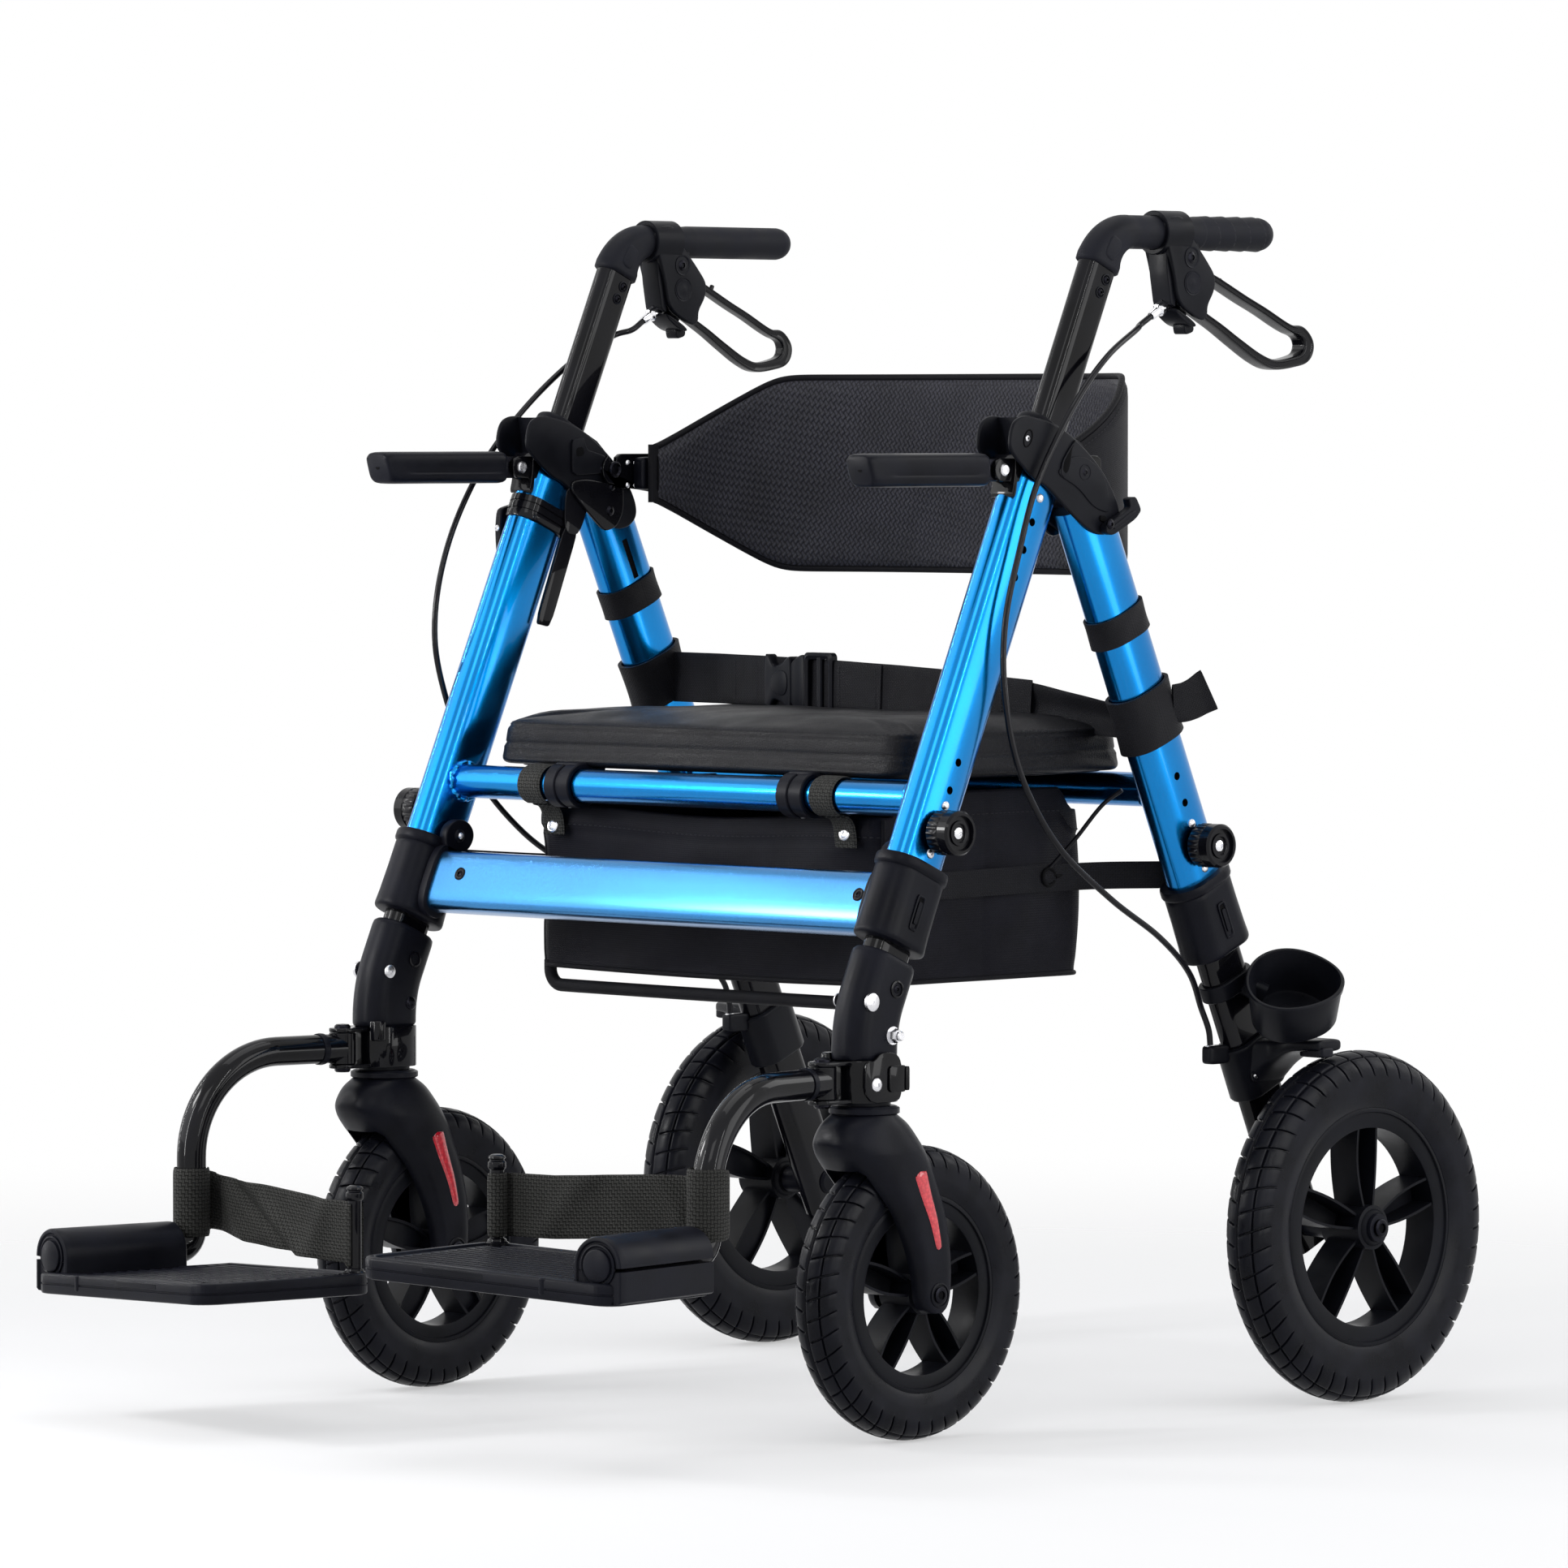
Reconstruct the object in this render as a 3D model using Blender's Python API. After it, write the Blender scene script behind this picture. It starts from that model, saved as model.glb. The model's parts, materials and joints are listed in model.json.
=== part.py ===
# Rollator transport chair: a four-wheeled walking frame with a seat, which a helper can also push
# as a light wheelchair. Metres, +Z up, wheels on z = 0. The front casters and footrests point to
# -Y and the push handles to +Y. +X is the left-hand side of somebody who faces forward.
import math

import bpy
import bmesh
from mathutils import Matrix, Vector

# Side frames
FRAME_HALF_WIDTH = 0.252      # from the middle plane to the axis of a side frame
LEAN = math.radians(24.0)     # front and rear legs lean by this much from the vertical
LEG_REFERENCE_Z = 0.620       # height at which the two leg lines below are given
FRONT_LEG_Y = 0.013
REAR_LEG_Y = 0.1123
LEG_DEPTH = 0.048             # flat-oval leg tube, fore and aft
LEG_WIDTH = 0.028
LEG_WALL = 0.002
FRONT_LEG_TOP_Z = 0.712
FRONT_LEG_BOTTOM_Z = 0.362
REAR_LEG_BOTTOM_Z = 0.345
REAR_LEG_PAST_PIVOT = 0.012
FOLD_PIVOT_Z = 0.655
SEAT_BAR_Z = 0.455
SEAT_BAR_RADIUS = 0.0125
TUBE_POINTS = 14              # points round every tube section
GAP = 0.0003                  # clearance between pieces that touch
RUNNING = 0.0003              # clearance of a pin in its hole

# Telescopic lower legs, their sleeves and knobs
TELESCOPE_CLEARANCE = 0.002   # between a leg's inner wall and the lower tube
LOWER_TUBE_DEPTH = LEG_DEPTH - 2 * (LEG_WALL + TELESCOPE_CLEARANCE)
LOWER_TUBE_WIDTH = LEG_WIDTH - 2 * (LEG_WALL + TELESCOPE_CLEARANCE)
LOWER_TUBE_WALL = 0.002
SLEEVE_WALL = 0.0045
FRONT_SLEEVE_TOP_Z = 0.410
REAR_SLEEVE_TOP_Z = 0.391
SLEEVE_LIP = 0.009            # part of a sleeve that reaches below its leg and guides the tube
FRONT_LOWER_TUBE_TOP_Z = 0.463
REAR_LOWER_TUBE_TOP_Z = 0.445
HOLE_RADIUS = 0.0030
HOLE_PITCH = 0.0215           # along the leg
HANDLE_HOLES = 4
LEG_HOLES = 3
HANDLE_HOLE_TOP_Z = 0.672
FRONT_HOLE_TOP_Z = 0.482
REAR_HOLE_TOP_Z = 0.466
FRONT_KNOB_Z = 0.433
REAR_KNOB_Z = 0.415
KNOB_RADIUS = 0.016
KNOB_LENGTH = 0.021
KNOB_NECK = 0.003
STEM_RADIUS = 0.0030

# Front crossbar between the sleeves
FASCIA_Z = 0.381
FASCIA_HEIGHT = 0.047
FASCIA_DEPTH = 0.022
FASCIA_WALL = 0.002

# Handles, grips and brakes
HANDLE_TUBE_DEPTH = 0.032
HANDLE_TUBE_WIDTH = 0.018
HANDLE_TUBE_BOTTOM_Z = 0.560
HANDLE_CORNER_Z = 0.862
HANDLE_BEND_RADIUS = 0.034
GRIP_SLEEVE_START_Z = 0.842
GRIP_TUBE_RADIUS = 0.0095
GRIP_RADIUS = 0.0123
GRIP_WALL = 0.0025
GRIP_END_Y = 0.294
RIGHT_CLAMP_SHIFT = -0.028    # the right brake is clamped nearer to its elbow
CLAMP_SHIFT = {"left": 0.0, "right": RIGHT_CLAMP_SHIFT}
CLAMP_START_Y = 0.182
CLAMP_LENGTH = 0.030
CLAMP_WALL = 0.0035
BRAKE_HALF_WIDTH = 0.0125
BRAKE_PIVOT_BACK = 0.015      # behind the start of the clamp
BRAKE_PIVOT_DROP = 0.040      # below the grip
BRAKE_PIVOT = (CLAMP_START_Y + BRAKE_PIVOT_BACK, HANDLE_CORNER_Z - BRAKE_PIVOT_DROP)
BRAKE_PIN_RADIUS = 0.0030
LEVER_LENGTH = 0.130          # from the pin to the end of the loop
LEVER_HALF_WIDTH = 0.0075
LEVER_SLOT_CLEARANCE = 0.0004

# Upper bracket, armrest and backrest
BRACKET_TOP_Z = 0.731
BRACKET_SLEEVE_BOTTOM_Z = 0.672
BRACKET_WALL = 0.0045
BRACKET_CHEEK = 0.0034
FOLD_PIN_RADIUS = 0.0045
ARMREST_HINGE_AHEAD = 0.041   # ahead of the front leg line
ARMREST_Z = 0.690
ARMREST_LENGTH = 0.138
ARMREST_WIDTH = 0.026
ARMREST_HEIGHT = 0.024
ARMREST_LUG_WIDTH = 0.011
ARMREST_EAR = 0.0035
ARMREST_PIN_RADIUS = 0.003
BACKREST_PIVOT_Y = 0.088
BACKREST_PIVOT_Z = 0.688
BACKREST_PIVOT = (BACKREST_PIVOT_Y, BACKREST_PIVOT_Z)
BACKREST_PIN_RADIUS = 0.005
BACKREST_CLIP_WALL = 0.004
BACKREST_CLIP_HEIGHT = 0.030
BACKREST_HEIGHT = 0.151
BACKREST_END_HEIGHT = 0.040
BACKREST_DEPTH = 0.176        # from the clips back to the middle of the band
BACKREST_START = 0.026        # behind the pivots, where the band leaves its clips
BACKREST_INSET = 0.0385       # from the side frame's axis to the middle of the band's thickness
BACKREST_HALF_WIDTH = FRAME_HALF_WIDTH - BACKREST_INSET
BACKREST_THICKNESS = 0.010
BACKREST_DROP = 0.003         # the band's middle below its pivots
BACKREST_MIDDLE_Z = BACKREST_PIVOT_Z - BACKREST_DROP

# Seat and bag
SEAT_INSET = 0.037            # from the side frame's axis to the side of the seat
SEAT_HALF_WIDTH = FRAME_HALF_WIDTH - SEAT_INSET
SEAT_FRONT_Y = -0.050
SEAT_REAR_Y = 0.184
SEAT_BASE_THICKNESS = 0.006
SEAT_BASE_INSET = 0.008
CUSHION_THICKNESS = 0.033
CUSHION_CROWN = 0.003
CUSHION_CORNER = 0.030
SEAT_CLIP_WIDTH = 0.026
SEAT_CLIP_WALL = 0.004
SEAT_BASE_REAR_Y = 0.190      # the board reaches over the rear seat bar
BAG_INSET = 0.037             # from the side of the seat to the side of the bag
BAG_HALF_WIDTH = SEAT_HALF_WIDTH - BAG_INSET
BAG_FRONT_Y = -0.037
BAG_REAR_Y = 0.170
BAG_TOP_Z = 0.440
BAG_BOTTOM_Z = 0.318
BAG_WALL = 0.003
BAG_LOOP_INSET = 0.025        # from the side of the bag to the middle of its loop
BAG_LOOP_X = BAG_HALF_WIDTH - BAG_LOOP_INSET
BAG_LOOP_WIDTH = 0.024
SEAT_CLIP_SPACING = 0.031     # from a loop of the bag to the seat's clip beside it
SEAT_CLIP_X = BAG_LOOP_X - SEAT_CLIP_SPACING
BAG_LOOP_WALL = 0.0022
BAG_ROD_RADIUS = 0.004
BAG_ROD_DROP = 0.014
BELT_HEIGHT = 0.038
BELT_THICKNESS = 0.002
BELT_LEFT_Z = 0.521           # the belt has slipped lower on the left leg
BELT_RIGHT_Z = 0.530
BELT_END_RISE = 0.0025        # the strap leaves its loops a little higher
BELT_BOW = 0.012
BELT_ARCH = 0.005

# Front wheels, casters and footrests
FRONT_WHEEL_RADIUS = 0.106
FRONT_WHEEL_HALF_WIDTH = 0.018
REAR_WHEEL_RADIUS = 0.131
REAR_WHEEL_HALF_WIDTH = 0.019
REAR_WHEEL_OUT = 0.055        # from the side frame's axis to the middle of the wheel
REAR_WHEEL_X = FRAME_HALF_WIDTH + REAR_WHEEL_OUT
WHEEL_SEGMENTS = 28
SPOKES = 5
CASTER_TRAIL = 0.045
HOUSING_BEND_Z = 0.300        # the caster axis stands under the front leg line at this height
HOUSING_TOP_Z = 0.345
HOUSING_DEPTH = 0.052
HOUSING_WIDTH = 0.034
HOUSING_SHOULDER_Z = 0.2745
HOUSING_BOTTOM_Z = 0.2415
SOCKET_BOTTOM_Z = 0.322
NECK_DEPTH = 0.040
NECK_WIDTH = 0.032
STEM_RADIUS_CASTER = 0.008
STEM_TOP_Z = 0.2610
CROWN_RADIUS = 0.0232
CROWN_THICKNESS = 0.007
FORK_HALF_WIDTH = 0.031
FORK_DEPTH = 0.055            # the fork's shoulder, fore and aft
AXLE_RADIUS = 0.005
REAR_AXLE_RADIUS = 0.006
LATCH_WALL = 0.005
LATCH_TOP_Z = 0.2740
LATCH_BOTTOM_Z = 0.2440
LATCH_EAR = 0.003
HANGER_AHEAD = 0.042          # hanger pin ahead of the caster axis
HANGER_PIN_RADIUS = 0.004
HANGER_EYE_RADIUS = 0.0100
HANGER_TUBE_RADIUS = 0.0108
HANGER_REACH = 0.134
HANGER_BEND = 0.075
HANGER_TOE_OUT = math.radians(8.0)
SPIGOT_BEND = 0.014
SPIGOT_LENGTH = 0.090
FOOTREST_Z = 0.132            # height of the spigot that the footplate turns on
LEFT_FOOTREST_RISE = 0.016    # the two sides are set to unlike heights
RIGHT_FOOTREST_RISE = -0.015
FOOTREST_SET = {"left": LEFT_FOOTREST_RISE, "right": RIGHT_FOOTREST_RISE}
BARREL_RADIUS = 0.021
BARREL_FLAT = 0.025
BARREL_START = HANGER_REACH + SPIGOT_BEND + 0.003
BARREL_LENGTH = 0.118
FOOTPLATE_WIDTH = 0.210
FOOTPLATE_REAR = 0.112        # ahead of the hanger pin
FOOTPLATE_FRONT = 0.262
FOOTPLATE_THICKNESS = 0.013
TUBE_NOTCH = 0.021            # keeps the plate clear of the hanger tube behind its barrel
FOOTPLATE_RISE = math.radians(2.0)
POST_RADIUS = 0.005
POST_HEIGHT = 0.063
HEEL_STRAP_HEIGHT = 0.043
HEEL_STRAP_THICKNESS = 0.002
HEEL_STRAP_EASE = 0.005       # room for the foot of the hanger's bend

# Rear brake bracket, cup holder and latch
BRAKE_COLLAR_TOP_Z = 0.270
BRAKE_COLLAR_BOTTOM_Z = 0.232
BRAKE_COLLAR_WALL = 0.0050
SHOE_GAP = 0.0020
CUP_CLAMP_TOP_Z = 0.320
CUP_CLAMP_BOTTOM_Z = 0.302
CUP_CLAMP_WALL = 0.0035
CUP_RADIUS = 0.0360
CUP_HEIGHT = 0.044
CUP_WALL = 0.0028
CUP_OUT = 0.0495              # from the leg line, sideways, backwards and up
CUP_BACK = 0.018
CUP_UP = -0.008
CUP_AXIS = Vector((0.40, -0.42, 0.82)).normalized()
CABLE_DIAMETER = 0.0045

MATERIALS = {
    "blue_anodised": ((0.012, 0.25, 0.78), 0.22, 0.85),
    "gloss_black": ((0.008, 0.008, 0.011), 0.12, 0.35),
    "moulded_black": ((0.020, 0.021, 0.028), 0.50, 0.0),
    "gloss_plastic": ((0.011, 0.011, 0.014), 0.18, 0.0),
    "tyre_rubber": ((0.013, 0.013, 0.018), 0.62, 0.0),
    "grip_rubber": ((0.018, 0.018, 0.024), 0.68, 0.0),
    "webbing": ((0.016, 0.016, 0.018), 0.85, 0.0),
    "leather_black": ((0.014, 0.014, 0.017), 0.48, 0.0),
    "mesh_fabric": ((0.015, 0.015, 0.018), 0.80, 0.0),
    "bag_oxford": ((0.014, 0.014, 0.019), 0.78, 0.0),
}

ACROSS = Vector((1, 0, 0))
UP = Vector((0, 0, 1))
FRONT_LEG_AXIS = Vector((0, math.sin(LEAN), math.cos(LEAN)))
REAR_LEG_AXIS = Vector((0, -math.sin(LEAN), math.cos(LEAN)))


def front_y(z):
    """The front leg line leans forward as it goes down."""
    return FRONT_LEG_Y + math.tan(LEAN) * (z - LEG_REFERENCE_Z)


def rear_y(z):
    """The rear leg line leans backward as it goes down."""
    return REAR_LEG_Y - math.tan(LEAN) * (z - LEG_REFERENCE_Z)


def flat_height(radius):
    """Height of the axle of a wheel that stands on one of its flat facets."""
    return radius * math.cos(math.pi / WHEEL_SEGMENTS)


CASTER_Y = front_y(HOUSING_BEND_Z)
HANGER_PIN_Y = CASTER_Y - HANGER_AHEAD
FRONT_AXLE_Z = flat_height(FRONT_WHEEL_RADIUS)
FRONT_AXLE_Y = CASTER_Y + CASTER_TRAIL
REAR_AXLE_Z = flat_height(REAR_WHEEL_RADIUS)
REAR_AXLE_Y = rear_y(REAR_AXLE_Z)
FOLD_PIVOT_Y = rear_y(FOLD_PIVOT_Z)
SEAT_BAR_Y = front_y(SEAT_BAR_Z)
SEAT_BASE_Z = SEAT_BAR_Z + SEAT_BAR_RADIUS + GAP
CUSHION_Z = SEAT_BASE_Z + SEAT_BASE_THICKNESS + GAP
HANGER_Z = (LATCH_TOP_Z + LATCH_BOTTOM_Z) / 2


# Outlines: lists of (a, b) pairs, in order round the section

def stadium(length, width, points=TUBE_POINTS):
    """A flat-oval section. The flats lie at exactly half the width."""
    step = math.pi / (points // 2)
    radius = width / 2 / math.cos(step / 2)
    straight = (length - width) / 2
    outline = []
    for side in (1, -1):
        for k in range(points // 2):
            angle = -math.pi / 2 + (k + 0.5) * step
            outline.append((side * (straight + radius * math.cos(angle)), side * radius * math.sin(angle)))
    return outline


def circle(radius, points=TUBE_POINTS):
    """A round section with its corners on the radius, in the order that stadium has."""
    step = 2 * math.pi / points
    return [(radius * math.cos((k + 0.5) * step - math.pi / 2),
             radius * math.sin((k + 0.5) * step - math.pi / 2)) for k in range(points)]


def bore(radius, points=TUBE_POINTS):
    """A round section whose flats touch the radius, for a hole round a pin."""
    return circle(radius / math.cos(math.pi / points), points)


def soft_square(length, width, squareness, points=TUBE_POINTS):
    """A superellipse: 2 is an ellipse, and more is squarer."""
    outline = []
    for a, b in circle(1.0, points):
        outline.append((math.copysign(abs(a) ** (2 / squareness), a) * length / 2,
                        math.copysign(abs(b) ** (2 / squareness), b) * width / 2))
    return outline


def arc(centre, radius, start, end, steps):
    """Points on a circle, in degrees, both ends included."""
    angles = [math.radians(start + (end - start) * k / steps) for k in range(steps + 1)]
    return [(centre[0] + radius * math.cos(t), centre[1] + radius * math.sin(t)) for t in angles]


# Bodies

def make_material(name):
    """A Principled material with the colour, roughness and metallic value of one finish."""
    colour, roughness, metallic = MATERIALS[name]
    material = bpy.data.materials.new(name)
    material.use_nodes = True
    shader = material.node_tree.nodes["Principled BSDF"]
    shader.inputs["Base Color"].default_value = (*colour, 1.0)
    shader.inputs["Roughness"].default_value = roughness
    shader.inputs["Metallic"].default_value = metallic
    material.diffuse_color = (*colour, 1.0)
    return material


def loft(rings, closed=False):
    """A body through rings of equally many points. Its ends are capped, or joined into a loop."""
    count = len(rings[0])
    total = len(rings)
    faces = []
    for i in range(total if closed else total - 1):
        j = (i + 1) % total
        for k in range(count):
            n = (k + 1) % count
            faces.append((i * count + k, i * count + n, j * count + n, j * count + k))
    if not closed:
        faces.append(tuple(reversed(range(count))))
        faces.append(tuple(range((total - 1) * count, total * count)))
    mesh = bpy.data.meshes.new("body")
    mesh.from_pydata([tuple(p) for ring in rings for p in ring], [], faces)
    face_outwards(mesh)
    body = bpy.data.objects.new("body", mesh)
    bpy.context.scene.collection.objects.link(body)
    return body


def face_outwards(mesh):
    """Turns the faces of a closed mesh to point out."""
    shape = bmesh.new()
    shape.from_mesh(mesh)
    bmesh.ops.recalc_face_normals(shape, faces=shape.faces)
    shape.to_mesh(mesh)
    shape.free()


def ring(centre, outline, along, across):
    """An outline set square to a direction: its second axis lies along across."""
    second = (across - across.dot(along) * along).normalized()
    first = second.cross(along)
    return [Vector(centre) + first * a + second * b for a, b in outline]


def prism(outline, start_x, end_x):
    """A (y, z) outline given a thickness along X."""
    return loft([[Vector((x, y, z)) for y, z in outline] for x in (start_x, end_x)])


def upright_prism(outline, start_z, end_z):
    """An (x, y) outline given a height."""
    return loft([[Vector((x, y, z)) for x, y in outline] for z in (start_z, end_z)])


def box(low, high):
    """A block between two corners."""
    corners = [(low[0], low[1]), (high[0], low[1]), (high[0], high[1]), (low[0], high[1])]
    return upright_prism(corners, low[2], high[2])


def rod(start, end, radius, points=12, across=UP, outline=None):
    """A straight bar between two points."""
    start, end = Vector(start), Vector(end)
    along = (end - start).normalized()
    section = outline or circle(radius, points)
    return loft([ring(p, section, along, across) for p in (start, end)])


def sweep_rings(path, outlines, across):
    """Sections carried along a path that lies in the plane square to across."""
    rings = []
    for i, point in enumerate(path):
        before = path[max(i - 1, 0)]
        after = path[min(i + 1, len(path) - 1)]
        rings.append(ring(point, outlines[i], (after - before).normalized(), across))
    return rings


def combine(base, tool, operation):
    """Joins, cuts or trims one body with another and keeps the result in the first."""
    cut = base.modifiers.new(operation.title(), "BOOLEAN")
    cut.operation = operation
    cut.object = tool
    bpy.context.view_layer.update()
    evaluated = base.evaluated_get(bpy.context.evaluated_depsgraph_get())
    mesh = bpy.data.meshes.new_from_object(evaluated)
    base.modifiers.clear()
    base.data = mesh
    bpy.data.objects.remove(tool)
    return base


def join(base, *tools):
    """One body from several that cross each other."""
    for tool in tools:
        combine(base, tool, "UNION")
    return base


def cut(base, *tools):
    """The first body less the others."""
    for tool in tools:
        combine(base, tool, "DIFFERENCE")
    return base


def finish(body, name, material, origin=(0, 0, 0), sharp=35):
    """Names a body, gives it its finish and puts its origin on its joint."""
    body.name = name
    body.data.name = name
    body.data.transform(Matrix.Translation(-Vector(origin)))
    body.location = origin
    body.data.materials.clear()
    body.data.materials.append(bpy.data.materials.get(material) or make_material(material))
    body.data.shade_smooth()
    body.data.set_sharp_from_angle(angle=math.radians(sharp))
    return body


def other_side(body, name):
    """The mirror image of a finished left-hand body, as its own object."""
    mesh = body.data.copy()
    mesh.transform(Matrix.Diagonal((-1, 1, 1, 1)))
    mesh.flip_normals()
    copy = bpy.data.objects.new(name, mesh)
    mesh.name = name
    copy.location = (-body.location.x, body.location.y, body.location.z)
    bpy.context.scene.collection.objects.link(copy)
    return copy


def to_right_hand(body):
    """Replaces a finished body with its mirror image on the other side."""
    name = body.name
    mirrored = other_side(body, "mirrored")
    bpy.data.objects.remove(body)
    mirrored.name = name


def pair(body, name, material, origin=(0, 0, 0), sharp=35):
    """Finishes a left-hand body and adds its right-hand twin."""
    finish(body, name + "_left", material, origin, sharp)
    other_side(body, name + "_right")


# Legs and telescopic tubes

def leg_ring(line, axis, z, outline):
    """A section of a leg, square to it, where its axis is at height z."""
    return ring((FRAME_HALF_WIDTH, line(z), z), outline, axis, ACROSS)


def front_ring(z, outline):
    return leg_ring(front_y, FRONT_LEG_AXIS, z, outline)


def rear_ring(z, outline):
    return leg_ring(rear_y, REAR_LEG_AXIS, z, outline)


def leg_tube(place, top_z, bottom_z, depth, width, wall):
    """An open flat-oval tube along a leg line."""
    outer = stadium(depth, width)
    inner = stadium(depth - 2 * wall, width - 2 * wall)
    return loft([place(top_z, outer), place(bottom_z, outer),
                 place(bottom_z, inner), place(top_z, inner)], closed=True)


def drill_leg(leg, line, top_z, count):
    """A row of button holes in the outer wall of a leg."""
    outside = FRAME_HALF_WIDTH + LEG_WIDTH / 2
    for k in range(count):
        z = top_z - k * HOLE_PITCH * math.cos(LEAN)
        cut(leg, rod((outside - 2 * LEG_WALL, line(z), z), (outside + LEG_WALL, line(z), z),
                     HOLE_RADIUS, 6))


def drill_knob_hole(leg, line, z):
    outside = FRAME_HALF_WIDTH + LEG_WIDTH / 2
    cut(leg, rod((outside - 2 * LEG_WALL, line(z), z), (outside + LEG_WALL, line(z), z), 0, 12,
                 outline=bore(STEM_RADIUS + RUNNING, 12)))


def front_frame():
    """The two front legs with the seat bar welded between them."""
    leg = leg_tube(front_ring, FRONT_LEG_TOP_Z, FRONT_LEG_BOTTOM_Z, LEG_DEPTH, LEG_WIDTH, LEG_WALL)
    drill_leg(leg, front_y, HANDLE_HOLE_TOP_Z, HANDLE_HOLES)
    drill_leg(leg, front_y, FRONT_HOLE_TOP_Z, LEG_HOLES - 1)
    drill_knob_hole(leg, front_y, FRONT_KNOB_Z)
    far_leg = other_side(leg, "far_leg")
    reach = FRAME_HALF_WIDTH - LEG_WIDTH / 2 + LEG_WALL / 2
    bar = rod((-reach, SEAT_BAR_Y, SEAT_BAR_Z), (reach, SEAT_BAR_Y, SEAT_BAR_Z), SEAT_BAR_RADIUS, 14)
    join(bar, leg, far_leg)
    finish(bar, "front_frame", "blue_anodised")


def rear_frame():
    """The two rear legs with the rear seat bar, hung on the upper brackets' fold pins."""
    top_z = FOLD_PIVOT_Z + REAR_LEG_PAST_PIVOT * math.cos(LEAN)
    leg = leg_tube(rear_ring, top_z, REAR_LEG_BOTTOM_Z, LEG_DEPTH, LEG_WIDTH, LEG_WALL)
    half = LEG_WIDTH
    cut(leg, rod((FRAME_HALF_WIDTH - half, FOLD_PIVOT_Y, FOLD_PIVOT_Z),
                 (FRAME_HALF_WIDTH + half, FOLD_PIVOT_Y, FOLD_PIVOT_Z), 0, 12,
                 outline=bore(FOLD_PIN_RADIUS + RUNNING, 12)))
    drill_leg(leg, rear_y, REAR_HOLE_TOP_Z, LEG_HOLES - 1)
    drill_knob_hole(leg, rear_y, REAR_KNOB_Z)
    far_leg = other_side(leg, "far_leg")
    reach = FRAME_HALF_WIDTH - LEG_WIDTH / 2 + LEG_WALL / 2
    bar_y = rear_y(SEAT_BAR_Z)
    bar = rod((-reach, bar_y, SEAT_BAR_Z), (reach, bar_y, SEAT_BAR_Z), SEAT_BAR_RADIUS, 14)
    join(bar, leg, far_leg)
    finish(bar, "rear_frame", "blue_anodised", (0, FOLD_PIVOT_Y, FOLD_PIVOT_Z))


def sleeve(place, top_z, leg_bottom_z):
    """A moulded collar round the foot of a leg, with a lip that guides the tube below."""
    outer = stadium(LEG_DEPTH + 2 * SLEEVE_WALL, LEG_WIDTH + 2 * SLEEVE_WALL)
    leg_bore = stadium(LEG_DEPTH + 2 * GAP, LEG_WIDTH + 2 * GAP)
    tube_bore = stadium(LOWER_TUBE_DEPTH + 2 * GAP, LOWER_TUBE_WIDTH + 2 * GAP)
    step_z = leg_bottom_z - GAP * math.cos(LEAN)
    bottom_z = step_z - SLEEVE_LIP * math.cos(LEAN)
    return loft([place(top_z, outer), place(bottom_z, outer), place(bottom_z, tube_bore),
                 place(step_z, tube_bore), place(step_z, leg_bore), place(top_z, leg_bore)],
                closed=True)


def sleeves():
    pair(sleeve(front_ring, FRONT_SLEEVE_TOP_Z, FRONT_LEG_BOTTOM_Z), "front_sleeve", "moulded_black")
    pair(sleeve(rear_ring, REAR_SLEEVE_TOP_Z, REAR_LEG_BOTTOM_Z), "rear_sleeve", "moulded_black",
         (FRAME_HALF_WIDTH, FOLD_PIVOT_Y, FOLD_PIVOT_Z))


def front_crossbar():
    """The wide oval bar between the two front sleeves."""
    reach = FRAME_HALF_WIDTH - LEG_WIDTH / 2 - SLEEVE_WALL - GAP
    centre_y = front_y(FASCIA_Z)
    outline = stadium(FASCIA_HEIGHT, FASCIA_DEPTH)
    hollow = stadium(FASCIA_HEIGHT - 2 * FASCIA_WALL, FASCIA_DEPTH - 2 * FASCIA_WALL)
    forward = FRONT_LEG_AXIS.cross(ACROSS)
    bar = loft([ring((x, centre_y, FASCIA_Z), section, ACROSS, forward)
                for x, section in ((-reach, outline), (reach, outline), (reach, hollow), (-reach, hollow))],
               closed=True)
    finish(bar, "front_crossbar", "blue_anodised")


def knobs():
    """The threaded clamping knobs of the four lower legs."""
    for place, line, z in (("front_knob", front_y, FRONT_KNOB_Z), ("rear_knob", rear_y, REAR_KNOB_Z)):
        tip = FRAME_HALF_WIDTH + LOWER_TUBE_WIDTH / 2 + GAP
        face = FRAME_HALF_WIDTH + LEG_WIDTH / 2 + GAP
        neck = face + KNOB_NECK
        end = neck + KNOB_LENGTH
        profile = [(tip, STEM_RADIUS), (face, STEM_RADIUS), (face, KNOB_RADIUS * 0.55),
                   (neck, KNOB_RADIUS * 0.55), (neck, KNOB_RADIUS), (end - 0.002, KNOB_RADIUS),
                   (end, KNOB_RADIUS - 0.002)]
        body = loft([ring((x, line(z), z), circle(r, 10), ACROSS, UP) for x, r in profile])
        pair(body, place, "gloss_plastic", (FRAME_HALF_WIDTH, line(z), z))


# Handles, grips and brakes

def handle_path():
    """Centre line of a handle, from inside the leg, round the elbow and back along the grip."""
    corner = Vector((FRAME_HALF_WIDTH, front_y(HANDLE_CORNER_Z), HANDLE_CORNER_Z))
    turn = math.pi / 2 - LEAN
    cut_back = HANDLE_BEND_RADIUS * math.tan(turn / 2)
    start = corner - FRONT_LEG_AXIS * cut_back
    side = Vector((0, math.cos(LEAN), -math.sin(LEAN)))
    centre = start + side * HANDLE_BEND_RADIUS
    steps = 4
    bend = []
    for k in range(steps + 1):
        t = turn * k / steps
        bend.append(centre - side * HANDLE_BEND_RADIUS * math.cos(t)
                    + FRONT_LEG_AXIS * HANDLE_BEND_RADIUS * math.sin(t))
    return bend


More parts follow.
